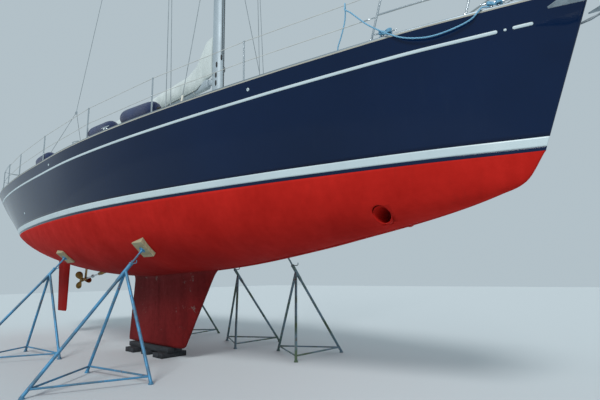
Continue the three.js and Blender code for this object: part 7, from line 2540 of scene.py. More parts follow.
@dataclass
class Mast:
    """The mast on the deckhouse roof: a grooved oval section, three pairs of swept spreaders and its fittings."""

    house: HouseForm
    x: float = 1.930
    half_length: float = 0.132
    half_width: float = 0.095
    straight_top: float = 17.0
    top: float = 21.2
    top_share: float = 0.72
    spreaders: tuple[tuple[float, float, float], ...] = ((8.9, 1.0, 0.12), (13.2, 0.8, 0.095),
                                                         (17.2, 0.56, 0.07))
    boom_z: float = 5.060
    boom_x: float = 1.740

    def section(self) -> Array:
        """The spar's section: y = b sin a, x = -a cos a, with a slot of 12 by 14 mm at the back."""
        turn = np.linspace(0.075, TAU - 0.075, 62)
        oval = np.stack([self.half_width * np.sin(turn), -self.half_length * np.cos(turn)], axis=1)
        back = -self.half_length
        slot = np.array([[-0.006, back + 0.001], [-0.006, back + 0.010], [-0.012, back + 0.014],
                         [-0.012, back + 0.024], [0.0, back + 0.028], [0.012, back + 0.024],
                         [0.012, back + 0.014], [0.006, back + 0.010], [0.006, back + 0.001]])
        return np.concatenate([oval, slot])

    def spar(self, locker: Locker) -> None:
        """Builds the tube, which draws in above the upper spreaders, its foot casting and its collar."""
        foot = float(self.house.roof(self.x, 0.0))
        z = np.concatenate([np.linspace(foot + 0.012, self.straight_top, 40),
                            np.linspace(self.straight_top, self.top, 14)[1:]])
        share = np.interp(z, [self.straight_top, self.top], [1.0, self.top_share])
        path = np.stack([np.full(len(z), self.x), 0.0 * z, z], axis=1)
        tube_skin = loft(carry(path, self.section(), AHEAD, share))
        locker.add("mast_spar", [tube_skin], Body.YACHT, "spar alloy", ("mast",), sharp_deg=35.0)
        turn = np.arange(56) * TAU / 56
        rings = []
        for grow, height in ((0.0445, None), (0.0445, 0.008), (0.040, 0.016), (0.036, 0.018), (0.034, 0.054),
                             (0.030, 0.060), (0.012, 0.063), (0.002, 0.064)):
            x = self.x + (self.half_length + grow) * np.cos(turn)
            y = (self.half_width + grow) * np.sin(turn)
            low = self.house.roof(x, np.abs(y)) + 0.0004
            rings.append(np.stack([x, y, low if height is None else np.full(56, foot + height)], axis=1))
        locker.add("mast_collar", [loft(np.stack(rings))], Body.YACHT, "spar alloy")

    def arms(self, locker: Locker) -> None:
        """Builds the spreaders: a streamlined section that narrows outwards, on a root bracket, with a rounded end."""
        arms, roots, ends = [], [], []
        profile = foil(28)
        flat = np.stack([(0.5 - profile[:, 0]) * 2, profile[:, 1] / 0.445], axis=1)
        for z, half, sweep in self.spreaders:
            t = np.array([0.0, 0.3, 0.55, 0.8, 0.96, 0.99, 1.0])
            path = np.stack([self.x - sweep * t, 0.04 + (half - 0.04) * t, z + 0.04 * t], axis=1)
            size = np.stack([np.interp(t, [0, 0.55, 1], [0.046, 0.040, 0.024]) * np.where(t > 0.985, 0.86, 1),
                             np.interp(t, [0, 0.55, 1], [0.017, 0.014, 0.011]) * np.where(t > 0.985, 0.7, 1)],
                            axis=1)
            arm = loft(carry(path, flat, UP, size))
            share = self.half_width * (self.top_share if z > self.straight_top + 3 else 1.0)
            root = block((self.x - 0.058, share - 0.006, z - 0.024),
                         (self.x + 0.050, share + 0.075, z + 0.026), 0.008)
            tip = (self.x - sweep, half, z + 0.04)
            cup = lathe([(0.0, -0.030), (0.012, -0.028), (0.016, -0.010), (0.015, 0.018), (0.009, 0.030),
                         (0.0, 0.032)], tip, (0.0, 1.0, 0.1), 20)
            arms += [arm, mirrored(arm)]
            roots += [root, mirrored(root)]
            ends += [cup, mirrored(cup)]
        locker.add("mast_spreaders", arms, Body.YACHT, "spar alloy", sharp_deg=50.0)
        locker.add("spreader_roots", roots, Body.YACHT, "stainless")
        locker.add("spreader_ends", ends, Body.YACHT, "rubber")

    def fittings(self, locker: Locker) -> None:
        """Builds the gooseneck, the tangs, the masthead box, the halyards and the exits that they lead from."""
        metal = []
        for z in (self.boom_z - 0.062, self.boom_z + 0.054):
            metal.append(lathe([(0.025, 0.0), (0.026, 0.001), (0.026, 0.011), (0.025, 0.012)],
                               (self.boom_x, 0.0, z), UP, 32))
            metal.append(block((self.boom_x, -0.0215, z + 0.0003),
                               (self.x - self.half_length + 0.01, 0.0215, z + 0.0117), 0.003))
        metal.append(block((self.x - self.half_length - 0.006, -0.040, self.boom_z - 0.115),
                           (self.x - self.half_length + 0.016, 0.040, self.boom_z + 0.115), 0.008))
        metal.append(block((1.830, -0.0135, 20.941), (1.930, 0.0135, 21.029), 0.006))
        metal.append(block((1.930, -0.0135, 20.881), (2.119, 0.0135, 20.989), 0.006))
        metal.append(block((1.621, -0.0295, 21.141), (2.179, 0.0295, 21.2095), 0.006))
        for x in (1.660, 2.140):
            metal.append(lathe([(0.022, -0.034), (0.024, -0.030), (0.018, -0.024), (0.018, 0.024),
                                (0.024, 0.030), (0.022, 0.034)], (x, 0.0, 21.166), PORT, 24))
        for side in (1.0, -1.0):
            for place, z in ((0.030, 8.78), (0.012, 13.11)):
                metal.append(lathe([(0.020, -0.012), (0.022, -0.006), (0.016, 0.004), (0.0, 0.006)],
                                   (self.x + place, side * (self.half_width - 0.003), z), (0, side, 0), 20))
        locker.add("mast_fittings", metal, Body.YACHT, "stainless")
        exits, lines = [], []
        for z, turn in ((5.300, 2.05), (5.100, 1.95), (4.945, 1.95), (5.44, 2.85), (5.25, 4.1)):
            c, s = math.cos(turn), math.sin(turn)
            point = np.array([self.x - self.half_length * c, -self.half_width * s, z])
            out = np.array([-c / self.half_length, -s / self.half_width, 0.0])
            out /= np.linalg.norm(out)
            path = point + out * 0.001 + np.linspace(-0.055, 0.055, 9)[:, None] * np.array([0.0, 0.0, 1.0])
            bulge = np.array([0.35, 0.75, 0.95, 1.0, 1.0, 1.0, 0.95, 0.75, 0.35])
            exits.append(tube(path, 0.017, 14, up=tuple(out), scale=bulge))
        for turn, low, high in ((2.90, 5.40, 21.12), (3.30, 4.45, 21.12)):
            c, s = math.cos(turn), math.sin(turn)
            z = np.linspace(low, high, 60)
            share = np.interp(z, [self.straight_top, self.top], [1.0, self.top_share])
            path = np.stack([self.x - (self.half_length * share + 0.010) * c,
                             -(self.half_width * share + 0.010) * s, z], axis=1)
            lines.append(tube(path, 0.0055, 10, up=AHEAD))
        locker.add("halyard_exits", exits, Body.YACHT, "rubber")
        locker.add("halyards", lines, Body.YACHT, "rubber")

    def build(self, locker: Locker) -> None:
        """Builds the whole mast."""
        self.spar(locker)
        self.arms(locker)
        self.fittings(locker)
        LOG.info("mast with spreaders and fittings")


@dataclass
class Boom:
    """The boom under its cover: a deep grooved section with end castings, the vang and the bails."""

    axis: tuple[float, float] = (1.740, 5.060)
    half: tuple[float, float] = (0.056, 0.095)
    vang_foot: tuple[float, float, float] = (1.670, 0.0, 4.390)
    vang_head: tuple[float, float, float] = (0.490, 0.0, 4.990)
    sleeve: tuple[tuple[float, float, float], ...] = ((1.700, 0.0, 4.375), (1.040, 0.0, 4.711))
    bails: tuple[float, float] = (-2.300, -3.550)

    def build(self, locker: Locker) -> None:
        """Builds the spar, a rounded box of y = cos^0.7, z = sin^0.7 with slots along its sides, and its gear."""
        turn = np.arange(64) * TAU / 64
        c, s = np.cos(turn), np.sin(turn)
        y = np.sign(c) * np.abs(c) ** 0.7 * self.half[0]
        z = np.sign(s) * np.abs(s) ** 0.7 * self.half[1]
        groove = np.exp(-((s - 0.45) / 0.05) ** 2) * 0.004
        profile = np.stack([y * (1 - groove / self.half[0]), z], axis=1)
        x = np.array([1.6195, 1.600, 0.5, -1.5, -3.790, -3.8095])
        path = np.stack([x, 0 * x, np.full(len(x), self.axis[1])], axis=1)
        spar = loft(carry(path, profile, UP))
        locker.add("boom_spar", [spar], Body.BOOM, "spar alloy", ("boom",))
        front = np.array([1.6495, 1.6480, 1.6200, 1.6190])
        back = np.array([-3.8100, -3.8110, -3.8400, -3.8495])
        caps = []
        for place, share in ((front, (0.72, 0.80, 1.0, 1.004)), (back, (1.004, 1.0, 0.92, 0.82))):
            line = np.stack([place, 0 * place, np.full(4, self.axis[1])], axis=1)
            rounded = np.stack([y, z], axis=1)
            caps.append(loft(carry(line, rounded, UP, np.array(share))))
        caps.append(lathe([(0.018, -0.0495), (0.019, -0.048), (0.019, 0.052), (0.018, 0.0535)],
                          (self.axis[0], 0.0, self.axis[1]), UP, 28))
        caps.append(block((1.640, -0.0148, self.axis[1] - 0.0455),
                          (self.axis[0], 0.0148, self.axis[1] + 0.0495), 0.004))
        locker.add("boom_castings", caps, Body.BOOM, "spar alloy")
        low, high = np.array(self.vang_foot), np.array(self.vang_head)
        vang = [tube(np.linspace(low, high, 5), 0.029, 24, up=PORT),
                tube(np.linspace(*self.sleeve, 5), 0.0375, 24, up=PORT)]
        along = (high - low) / np.linalg.norm(high - low)
        for share in (0.03, 0.525):
            vang.append(lathe([(0.040, -0.014), (0.042, -0.010), (0.042, 0.010), (0.040, 0.014)],
                              np.array(self.sleeve[0]) + along * (share * 1.32), along, 28))
        vang.append(block((0.455, -0.022, 4.950), (0.535, 0.022, 4.985), 0.006))
        locker.add("boom_vang", vang, Body.BOOM, "spar alloy")
        gear = []
        for place in self.bails:
            hoop = bent([(place, 0.030, 4.975), (place, 0.030, 4.928), (place, -0.030, 4.928),
                         (place, -0.030, 4.975)], 0.02)
            gear.append(tube(hoop, 0.0045, 12, up=AHEAD))
        for offset in (-0.018, 0.018):
            gear.append(lathe([(0.028, -0.006), (0.030, -0.004), (0.024, 0.0), (0.030, 0.004),
                               (0.028, 0.006)], (-3.815, offset, 5.115), PORT, 28))
        locker.add("boom_bails", gear, Body.BOOM, "stainless")
        LOG.info("boom with vang")


@dataclass
class Rigging:
    """The wires that hold the mast: shrouds to the chain plates on each side deck, and the split backstay."""

    form: HullForm
    mast: Mast
    foot_half: float = 1.050
    places: tuple[float, float, float] = (1.950, 2.110, 2.330)
    wire: float = 0.006
    screw: float = 0.017
    split: tuple[float, float, float] = (-5.080, 0.0, 6.300)
    masthead: tuple[float, float, float] = (1.630, 0.0, 21.135)

    def shrouds(self, locker: Locker, side: float, name: str) -> None:
        """Builds one side: the cap shroud over all spreaders, the intermediate one and the lower one."""
        m, f = self.mast, self.form
        z = float(f.deck(self.places[2], self.foot_half)) + 0.0003
        y = side * self.foot_half
        tips = [(m.x - sweep, side * (half + 0.024), high + 0.04) for high, half, sweep in m.spreaders]
        feet = [np.array([x, y, z]) for x in self.places]
        cap = np.array([feet[0], *tips, (m.x - 0.010, side * 0.066, 20.700)])
        pair = np.array([feet[1], (tips[0][0] + 0.022, tips[0][1], tips[0][2]),
                         (m.x + 0.012, side * 0.096, 13.110)])
        lower = np.array([feet[2], (m.x + 0.030, side * 0.096, 8.780)])
        wires, screws, sleeves = [], [], []
        for line in (cap, pair, lower):
            wires.append(tube(line, self.wire, 10, up=AHEAD))
            length = 0.085 * float(np.linalg.norm(line[1] - line[0]))
            screws += rigging_screw(line[0], line[1], length, self.screw)
        for x in self.places:
            screws.append(block((x - 0.020, y - 0.008, z - 0.004), (x + 0.020, y + 0.008, z + 0.011), 0.003))
        screws.append(block((self.places[0] - 0.088, y - 0.030, z - 0.008),
                            (self.places[2] + 0.088, y + 0.030, z + 0.006), 0.003))
        along = lower[1] - lower[0]
        share = np.array([0.012, 0.014, 0.02, 0.090, 0.096, 0.098])[:, None]
        sleeves.append(tube(lower[0] + share * along, 0.0172, 20, up=AHEAD,
                            scale=np.array([0.5, 0.93, 1.0, 1.0, 0.93, 0.45])))
        for tip, sweep in zip(tips, m.spreaders):
            sleeves.append(lathe([(0.009, -0.05), (0.013, -0.03), (0.013, 0.03), (0.009, 0.05)], tip, UP, 16))
        locker.add("shroud_wires_" + name, wires, Body.YACHT, "wire rope", ("shrouds_" + name,))
        locker.add("rigging_screws_" + name, screws, Body.YACHT, "wire rope")
        locker.add("shroud_sleeves_" + name, sleeves, Body.YACHT, "sailcloth")

    def backstay(self, locker: Locker) -> None:
        """Builds the backstay's two legs with their screws, the plate where they join and the long upper wire."""
        split = np.array(self.split)
        parts, screws = [], []
        for side in (1.0, -1.0):
            z = float(self.form.deck(-6.050, 0.900))
            foot = np.array([-6.050, side * 0.900, z + 0.0003])
            top = split + np.array([0.0, side * 0.016, -0.030])
            parts.append(rod(foot, top, self.wire))
            screws += rigging_screw(foot, split, 0.16 * float(np.linalg.norm(split - foot)), 0.016)
            screws.append(block((-6.108, side * 0.9 - 0.038, z - 0.004),
                                (-5.992, side * 0.9 + 0.038, z + 0.008), 0.004))
        parts.append(rod(split + np.array([0.0, 0.0, 0.03]), self.masthead, self.wire))
        locker.add("backstay_wires", parts, Body.YACHT, "wire rope", ("backstay",))
        plate = block((-5.103, -0.028, 6.256), (-5.055, 0.028, 6.344), 0.006)
        for side in (1.0, -1.0):
            screws.append(lathe([(0.010, -0.012), (0.011, -0.010), (0.011, 0.010), (0.010, 0.012)],
                                (-5.079, side * 0.016, 6.272), AHEAD, 16))
        upper = np.array(self.masthead) - split
        upper /= np.linalg.norm(upper)
        screws.append(lathe([(0.009, 0.0), (0.010, 0.01), (0.009, 0.15), (0.006, 0.16)], split + upper * 0.03,
                            upper, 16))
        screws.append(block((1.617, -0.0105, 21.096), (1.661, 0.0105, 21.1395), 0.004))
        locker.add("backstay_fittings", [plate, *screws], Body.YACHT, "stainless")

    def build(self, locker: Locker) -> None:
        """Builds both sides and the backstay."""
        self.shrouds(locker, 1.0, "port")
        self.shrouds(locker, -1.0, "starboard")
        self.backstay(locker)
        LOG.info("shrouds and backstay")


@dataclass
class Rails:
    """The rails round the deck: pulpit, pushpit, stanchions and two guard wires on each side."""

    form: HullForm
    height: float = 0.590
    lower: float = 0.300
    pipe: float = 0.0135
    thin_pipe: float = 0.0105
    leg: float = 0.0125
    stanchions: tuple[float, ...] = (4.110, 2.400, 0.600, -1.550, -3.450)

    def point(self, x: float, side: float, height: float, forward: float = 0.0,
              inset: float = 0.076) -> Array:
        """A point over the deck's edge, inset from it, at a height over the deck."""
        half = float(self.form.deck_edge(x)[0]) - inset
        return np.array([x + forward, side * half, float(self.form.deck(x, half)) + height])

    def socket(self, x: float, side: float, inset: float = 0.076, lean: Sequence[float] = UP) -> Surface:
        """A turned foot with a flange, a fillet and a collar."""
        return lathe([(0.040, 0.0002), (0.041, 0.005), (0.028, 0.008), (0.021, 0.013), (0.019, 0.042),
                      (0.016, 0.045)], self.point(x, side, 0.0, 0.0, inset), lean, 28)

    def guard(self, locker: Locker, side: float, name: str) -> None:
        """Builds the stanchions with their feet, caps and ferrules, and the wires with their end screws."""
        parts = []
        for x in self.stanchions:
            parts.append(rod(self.point(x, side, 0.002), self.point(x, side, self.height - 0.006), self.leg,
                             20))
            parts.append(lathe([(self.leg, -0.006), (0.0115, 0.001), (0.007, 0.005), (0.0, 0.006)],
                               self.point(x, side, self.height - 0.004), UP, 20))
            parts.append(self.socket(x, side))
            for height in (self.height - 0.008, self.lower):
                parts.append(lathe([(0.0085, -0.017), (0.0095, -0.014), (0.0095, 0.014), (0.0085, 0.017)],
                                   self.point(x, side, height), AHEAD, 16))
        wires = []
        for height, front in ((self.height - 0.008, 5.900), (self.lower, 5.828)):
            line = np.array([self.point(x, side, height) for x in (front, *self.stanchions, -4.936)])
            wires.append(tube(line, 0.0045, 10))
            for end, toward in ((line[0], line[1]), (line[-1], line[-2])):
                along = (toward - end) / np.linalg.norm(toward - end)
                parts.append(lathe([(0.0055, 0.0), (0.0075, 0.01), (0.0075, 0.035), (0.005, 0.04),
                                    (0.005, 0.06), (0.0080, 0.064), (0.0080, 0.13), (0.0055, 0.136),
                                    (0.0055, 0.19)], end + along * 0.004, along, 14))
        locker.add("stanchions_" + name, parts, Body.YACHT, "stainless", ("guardrail_" + name,))
        locker.add("guard_wires_" + name, wires, Body.YACHT, "rope white")

    def pulpit(self, locker: Locker) -> None:
        """Builds the bow rail: a top rail round the stem, legs, mid rails and feet."""
        p = self.point
        port = [p(x, 1.0, 0.610) for x in (5.920, 6.300, 6.850, 7.350)] + [np.array([7.700, 0.190, 4.690])]
        whole = port + [np.array([7.780, 0.0, 4.700])] + [q * OTHER_SIDE for q in port[::-1]]
        parts = [tube(spline(whole, 150), self.pipe, 18)]
        for side in (1.0, -1.0):
            for low, high, radius in ((p(5.760, side, 0.001), p(5.920, side, 0.610), self.pipe),
                                      (p(6.700, side, 0.001), p(6.850, side, 0.610), self.pipe),
                                      (p(7.200, side, 0.001, 0.0, 0.085),
                                       np.array([7.640, side * 0.186, 4.687]), self.leg)):
                parts.append(rod(low, high, radius, 18))
            for x, inset in ((5.760, 0.076), (6.700, 0.076), (7.200, 0.085)):
                parts.append(self.socket(x, side, inset))
            middle = [p(5.840, side, 0.320), p(6.300, side, 0.320), p(6.775, side, 0.320),
                      p(7.450, side, 0.320, 0.050, 0.020)]
            parts.append(tube(spline(middle, 60), self.thin_pipe, 16))
        locker.add("pulpit_rail", parts, Body.YACHT, "stainless", ("pulpit",))

    def pushpit(self, locker: Locker) -> None:
        """Builds the stern rail: two runs round the quarters and the transom, legs and feet."""
        p = self.point
        parts = []
        for height, radius in ((0.600, self.pipe), (0.310, self.thin_pipe)):
            side = [p(-4.950, 1.0, height), p(-5.500, 1.0, height), p(-6.120, 1.0, height),
                    np.array([-6.290, 1.180, 3.850 + height])]
            run = side + [q * OTHER_SIDE for q in side[::-1]]
            parts.append(tube(bent(run, 0.10), radius, 18))
        for side in (1.0, -1.0):
            for x in (-4.950, -6.120):
                parts.append(rod(p(x, side, 0.001), p(x, side, 0.600), self.pipe, 18))
                parts.append(self.socket(x, side))
            low = np.array([-6.250, side * 0.620, float(self.form.deck(-6.250, 0.620)) + 0.001])
            parts.append(rod(low, (-6.290, side * 0.620, 4.450), self.leg, 18))
            parts.append(lathe([(0.036, 0.0002), (0.037, 0.005), (0.024, 0.009), (0.018, 0.040),
                                (0.0, 0.041)], low, UP, 24))
        locker.add("pushpit_rail", parts, Body.YACHT, "stainless", ("pushpit",))

    def build(self, locker: Locker) -> None:
        """Builds all rails."""
        self.guard(locker, 1.0, "port")
        self.guard(locker, -1.0, "starboard")
        self.pulpit(locker)
        self.pushpit(locker)
        LOG.info("rails round the deck")


@dataclass
class BowGear:
    """The gear at the stem: the roller with its cheeks, the claw anchor, the windlass and its chain."""

    form: HullForm
    shift: float = -0.098

    def roller(self, locker: Locker) -> None:
        """Builds the cheeks as plates with rounded edges, the base, the grooved roller, the pin and the stay."""
        stem = self.stem()
        side = np.array([[7.300, 0.0], [7.960, 0.0], [8.010, 0.040], [7.990, 0.095], [7.900, 0.095],
                         [7.700, 0.040], [7.300, 0.030]])
        t = np.linspace(0.0, 7.0, 71)[:-1]
        k = t.astype(int)
        outline = side[k] + (side[(k + 1) % 7] - side[k]) * (t - k)[:, None]
        soft = (np.roll(outline, 1, axis=0) + 2 * outline + np.roll(outline, -1, axis=0)) / 4
        centre = soft.mean(axis=0)
        parts = []
        for y in (0.062, -0.062):
            rings = [np.stack([w[:, 0], np.full(70, y + d + self.shift), w[:, 1] + stem], axis=1)
                     for w, d in ((centre + (soft - centre) * 0.985, -0.004), (soft, -0.0025), (soft, 0.0025),
                                  (centre + (soft - centre) * 0.985, 0.004))]
            parts.append(loft(np.stack(rings)))
        parts.append(block((7.302, -0.060 + self.shift, stem + 0.0003),
                           (7.958, 0.060 + self.shift, stem + 0.0075), 0.002))
        parts.append(rod((7.950, -0.072 + self.shift, stem + 0.052),
                         (7.950, 0.072 + self.shift, stem + 0.052), 0.009, 20))
        for y in (-0.070, 0.070):
            parts.append(lathe([(0.015, -0.005), (0.016, -0.003), (0.016, 0.003), (0.015, 0.005)],
                               (7.950, y + self.shift, stem + 0.052), PORT, 6))
        parts.append(block((7.441, -0.0085 + self.shift, stem + 0.006),
                           (7.559, 0.0085 + self.shift, stem + 0.0745), 0.004))
        locker.add("bow_roller_cheeks", parts, Body.YACHT, "stainless", ("bow_roller",))
        wheel = lathe([(0.039, -0.0555), (0.0415, -0.052), (0.034, -0.032), (0.027, -0.018), (0.026, 0.0),
                       (0.027, 0.018), (0.034, 0.032), (0.0415, 0.052), (0.039, 0.0555)],
                      (7.950, self.shift, stem + 0.052), PORT, 40)
        locker.add("bow_roller_wheel", [wheel], Body.YACHT, "rubber", sharp_deg=60.0)

    def stem(self) -> float:
        """Height of the deck at the stem, where the roller is bolted down."""
        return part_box("bow_roller")[0][2]

    def blade(self, points: Sequence[Sequence[float]], guide: Sequence[float]) -> Surface:
        """A claw along a path, its section a flat lens that is cupped towards a guide direction.

        Args:
            points: Rows of place, half width, half thickness, y and z under the shank's top.
            guide: The direction that the hollow side looks in.

        Returns:
            The closed surface.
        """
        rows = np.asarray(points, dtype=float)
        t = np.linspace(0, len(rows) - 1, 40)
        rows = np.stack([np.interp(t, np.arange(len(rows)), rows[:, k]) for k in range(5)], axis=1)
        path = np.stack([rows[:, 0], rows[:, 3] + self.shift, rows[:, 4] + self.stem() + 0.099], axis=1)
        along = directions(path)
        toward = np.asarray(guide, dtype=float)
        normal = toward - (along @ toward)[:, None] * along
        normal /= np.linalg.norm(normal, axis=1, keepdims=True)
        across = np.cross(along, normal)
        turn = np.arange(24) * TAU / 24
        c, s = np.cos(turn), np.sin(turn)
        wide = (rows[:, 1:2] * c)[..., None] * across[:, None]
        thick = (rows[:, 2:3] * np.sign(s) * np.abs(s) ** 0.75)[..., None] * normal[:, None]
        return loft(path[:, None] + wide + thick)

    def anchor(self, locker: Locker) -> None:
        """Builds the claw anchor: a bent shank and three claws forged into it."""
        top = self.stem() + 0.099
        shank = np.array([[7.060, 0.004, 0.020, 0.0], [7.900, 0.006, 0.026, 0.1], [8.060, -0.010, 0.030, 0.5],
                          [8.150, -0.090, 0.030, 0.9], [8.165, -0.230, 0.034, 1.0]])
        t = np.linspace(0, 4, 60)
        x, drop, tall, turn = (np.interp(t, np.arange(5), shank[:, k]) for k in range(4))
        around = np.arange(24) * TAU / 24
        a = np.sign(np.cos(around)) * np.abs(np.cos(around)) ** 0.4
        b = np.sign(np.sin(around)) * np.abs(np.sin(around)) ** 0.4
        px = x[:, None] + b[None] * (tall * turn)[:, None]
        pz = top + drop[:, None] + b[None] * (tall * (1 - turn))[:, None]
        py = np.broadcast_to(a[None] * 0.011 + self.shift, px.shape)
        bar = loft(np.stack([px, py, pz], axis=-1))
        middle = self.blade([(8.175, 0.050, 0.015, 0, -0.180), (8.120, 0.070, 0.013, 0, -0.300),
                             (8.000, 0.085, 0.012, 0, -0.385), (7.850, 0.070, 0.010, 0, -0.425),
                             (7.700, 0.009, 0.006, 0, -0.440)], (0.4, 0, 1))
        wing = [(8.160, 0.046, 0.015, 0.006, -0.190), (8.060, 0.078, 0.013, 0.130, -0.266),
                (7.900, 0.096, 0.011, 0.222, -0.322), (7.700, 0.084, 0.009, 0.268, -0.362),
                (7.440, 0.010, 0.005, 0.278, -0.393)]
        port = self.blade(wing, (0.3, -0.7, 1))
        starboard = self.blade([(x, w, h, -y, z) for x, w, h, y, z in wing], (0.3, 0.7, 1))
        locker.add("anchor_claw", [bar, middle, port, starboard], Body.YACHT, "galvanised", ("anchor",))
        eye = tube(bent([(7.050, self.shift, top + 0.024), (7.015, self.shift, top + 0.03),
                         (6.995, self.shift, top), (7.015, self.shift, top - 0.024),
                         (7.055, self.shift, top - 0.012)], 0.02), 0.0055, 12, up=PORT)
        links = []
        stations = np.linspace([6.985, self.shift, top], [6.545, -0.090, self.windlass_z() + 0.124], 15)
        for k, (a0, a1) in enumerate(zip(stations[:-1], stations[1:])):
            along = (a1 - a0) / np.linalg.norm(a1 - a0)
            lift = np.array([0.0, 0.0, 1.0]) if k % 2 else np.cross(along, UP)
            turn = np.linspace(0.0, TAU, 21)
            loop = (a0 + a1) / 2 + np.cos(turn)[:, None] * along * 0.0195 + np.sin(turn)[:, None] * lift * 0.0105
            skin = carry(loop[:-1], circle(0.004, 8), tuple(np.cross(along, lift)))
            links.append(closed(Surface(np.concatenate([skin, skin[:1]]), wrap=True)))
        locker.add("anchor_chain", [eye, *links], Body.YACHT, "galvanised")

    def windlass_z(self) -> float:
        """Where the windlass stands."""
        return float(self.form.deck(6.5, 0.0)) - 0.010

    def windlass(self, locker: Locker) -> None:
        """Builds the windlass: a moulded case with soft shoulders, a rope drum and a chain wheel with pockets."""
        z = self.windlass_z()
        x = np.array([6.382, 6.390, 6.402, 6.450, 6.540, 6.575, 6.592, 6.599])
        high = np.array([0.050, 0.062, 0.070, 0.080, 0.080, 0.070, 0.055, 0.044])
        turn = np.linspace(0.0, math.pi, 25)
        y = np.sign(np.cos(turn)) * np.abs(np.cos(turn)) ** 0.35 * 0.074
        lift = np.sin(turn) ** 0.35
        grid = np.stack([np.broadcast_to(x[:, None], (8, 25)), y[None] * (1 - 0.12 * lift[None])
                         * np.array([0.93, 0.98, 1, 1, 1, 1, 0.97, 0.92])[:, None],
                         z + 0.0105 + (high[:, None] - 0.0105) * lift[None]], axis=-1)
        case = loft(grid)
        locker.add("windlass_case", [case], Body.YACHT, "white gelcoat", ("windlass",))
        centre = (6.480, 0.0, z + 0.070)
        drum = lathe([(0.030, 0.058), (0.046, 0.064), (0.048, 0.070), (0.036, 0.084), (0.034, 0.110),
                      (0.036, 0.128), (0.047, 0.142), (0.046, 0.1485), (0.020, 0.1495)], centre, PORT, 40)
        wheel = lathe([(0.050, 0.058), (0.054, 0.062), (0.054, 0.068), (0.042, 0.080), (0.036, 0.088),
                       (0.042, 0.096), (0.054, 0.108), (0.054, 0.114), (0.050, 0.1175)], centre, (0, -1, 0),
                      60)
        angle = np.arange(60) * TAU / 60
        notch = 1 + 0.06 * np.cos(6 * angle)
        middle = np.array(centre) + np.array([0.0, -1.0, 0.0]) * np.array(
            [0.058, 0.058, 0.062, 0.068, 0.080, 0.088, 0.096, 0.108, 0.114, 0.1175, 0.1175])[:, None]
        dip = np.array([0, 0, 0, 0, 1, 1, 1, 0, 0, 0, 0])[:, None]
        factor = 1 + (notch[None] - 1) * dip
        wheel.points = middle[:, None] + (wheel.points - middle[:, None]) * factor[..., None]
        axle = rod((6.480, -0.060, z + 0.070), (6.480, 0.060, z + 0.070), 0.029, 24)
        locker.add("windlass_drums", [drum, wheel, axle], Body.YACHT, "stainless")

    def build(self, locker: Locker) -> None:
        """Builds the roller, the anchor and the windlass."""
        self.roller(locker)
        self.anchor(locker)
        self.windlass(locker)
        LOG.info("bow roller, anchor and windlass")


@dataclass
class Winch:
    """A self-tailing sheet winch on the cockpit coaming."""

    side: float
    name: str
    place: tuple[float, float] = (-2.350, 1.080)
    seat: float = 4.010
    scale: float = 1.15

    def build(self, locker: Locker) -> None:
        """Builds the flange, the drum, the line jaws and the socketed top."""
        k = self.scale
        rows = [(0.0, 0.0003), (0.077, 0.0003), (0.078, 0.002), (0.078, 0.008), (0.076, 0.010),
                (0.070, 0.011), (0.067, 0.022), (0.060, 0.027), (0.054, 0.040), (0.050, 0.058),
                (0.0495, 0.078), (0.052, 0.094), (0.060, 0.106), (0.0655, 0.115), (0.066, 0.1185),
                (0.058, 0.122), (0.050, 0.1245), (0.050, 0.1275), (0.058, 0.130), (0.066, 0.1335),
                (0.0655, 0.138), (0.060, 0.141), (0.040, 0.1455), (0.030, 0.1495), (0.012, 0.1498),
                (0.011, 0.136), (0.0, 0.136)]
        base = (self.place[0], self.side * self.place[1], self.seat)
        drum = lathe([(r * k, h * k) for r, h in rows], base, UP, 72)
        locker.add(self.name + "_drum", [drum], Body.YACHT, "stainless", (self.name,), sharp_deg=35.0)
        LOG.info("%s", self.name)


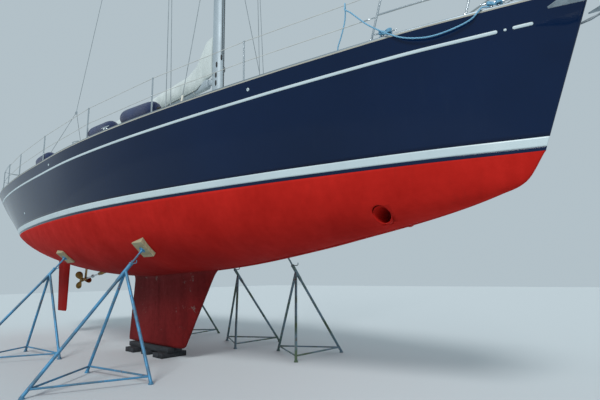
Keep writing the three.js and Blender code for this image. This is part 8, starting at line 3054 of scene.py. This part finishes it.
NODE_FINISHES: dict[str, tuple[str, ...]] = {
    "antifouling": ("hull_bottom", "rudder"),
    "navy gelcoat": ("boot_line", "hull_topsides"),
    "white stripe": ("boot_stripe", "cove_stripe_port", "cove_stripe_starboard"),
    "anodised rail": ("toe_rail",),
    "deck paint": ("deck",),
    "white gelcoat": ("deckhouse", "cockpit", "locker_bin_port", "locker_bin_starboard", "sea_hood",
                      "steering_pedestal"),
    "window glass": ("window_port", "window_starboard"),
    "joinery": ("cabin_lining", "forecabin_lining", "washboard"),
    "teak": ("companion_hatch", "locker_lid_port", "locker_lid_starboard"),
    "spar alloy": ("fore_hatch_frame", "mast", "boom"),
    "hatch acrylic": ("fore_hatch_lid", "saloon_hatch_lid"),
    "stainless": ("steering_wheel", "propeller_shaft", "backstay", "shrouds_port", "shrouds_starboard",
                  "pulpit", "pushpit", "guardrail_port", "guardrail_starboard", "bow_roller", "windlass",
                  "winch_port", "winch_starboard"),
    "canvas": ("sprayhood", "sail_cover"),
    "keel paint": ("fin_keel",),
    "timber": ("keel_blocks",),
    "stand paint": ("boat_stand_starboard_forward", "boat_stand_starboard_aft", "boat_stand_port_forward",
                    "boat_stand_port_middle", "boat_stand_port_aft"),
    "bronze": ("stern_tube", "shaft_bracket", "propeller"),
    "sailcloth": ("furled_genoa",),
    "galvanised": ("anchor",),
    "fender cover": ("fender_forward", "fender_middle", "fender_aft"),
    "rope": ("mooring_rope",),
}

FENDERS: tuple[tuple[str, float, float, float, float], ...] = (
    ("fender_forward", 1.950, -1.480, 0.145, 0.860), ("fender_middle", 0.850, -1.590, 0.130, 0.760),
    ("fender_aft", -1.850, -1.640, 0.135, 0.760))


def main() -> None:
    """Builds the studio, the rope and every sub-assembly in order."""
    Studio().build()
    locker = Locker()
    form = HullForm()
    MooringRope(form).build(locker)
    Hull(form).build(locker)
    FinKeel(form).build(locker)
    Rudder(form).build(locker)
    SternGear().build(locker)
    KeelBlocks().build(locker)
    for row in STANDS:
        BoatStand(form, *row).build(locker)
    house = HouseForm(form)
    Deck(form, house).build(locker)
    Deckhouse(form, house).build(locker)
    Hatch("fore_hatch", Body.FORE_HATCH, 4.700, 0.560, float(form.deck(4.7, 0.0)), "fore_hatch_lid",
          "fore_hatch_frame").build(locker)
    Hatch("saloon_hatch", Body.SALOON_HATCH, 0.200, 0.500, float(house.roof(0.2, 0.0)), "saloon_hatch_lid",
          "").build(locker)
    Cockpit().build(locker)
    Helm().build(locker)
    Sprayhood().build(locker)
    SailCover().build(locker)
    FurledGenoa().build(locker)
    mast = Mast(house)
    mast.build(locker)
    Boom().build(locker)
    Rigging(form, mast).build(locker)
    Rails(form).build(locker)
    BowGear(form).build(locker)
    Winch(1.0, "winch_port").build(locker)
    Winch(-1.0, "winch_starboard").build(locker)
    for node, x, y, radius, length in FENDERS:
        Fender(form, node, x, y, radius, length).build(locker)
    for finish, nodes in NODE_FINISHES.items():
        for node in nodes:
            locker.dress_node(node, finish)


if __name__ == "__main__":
    main()
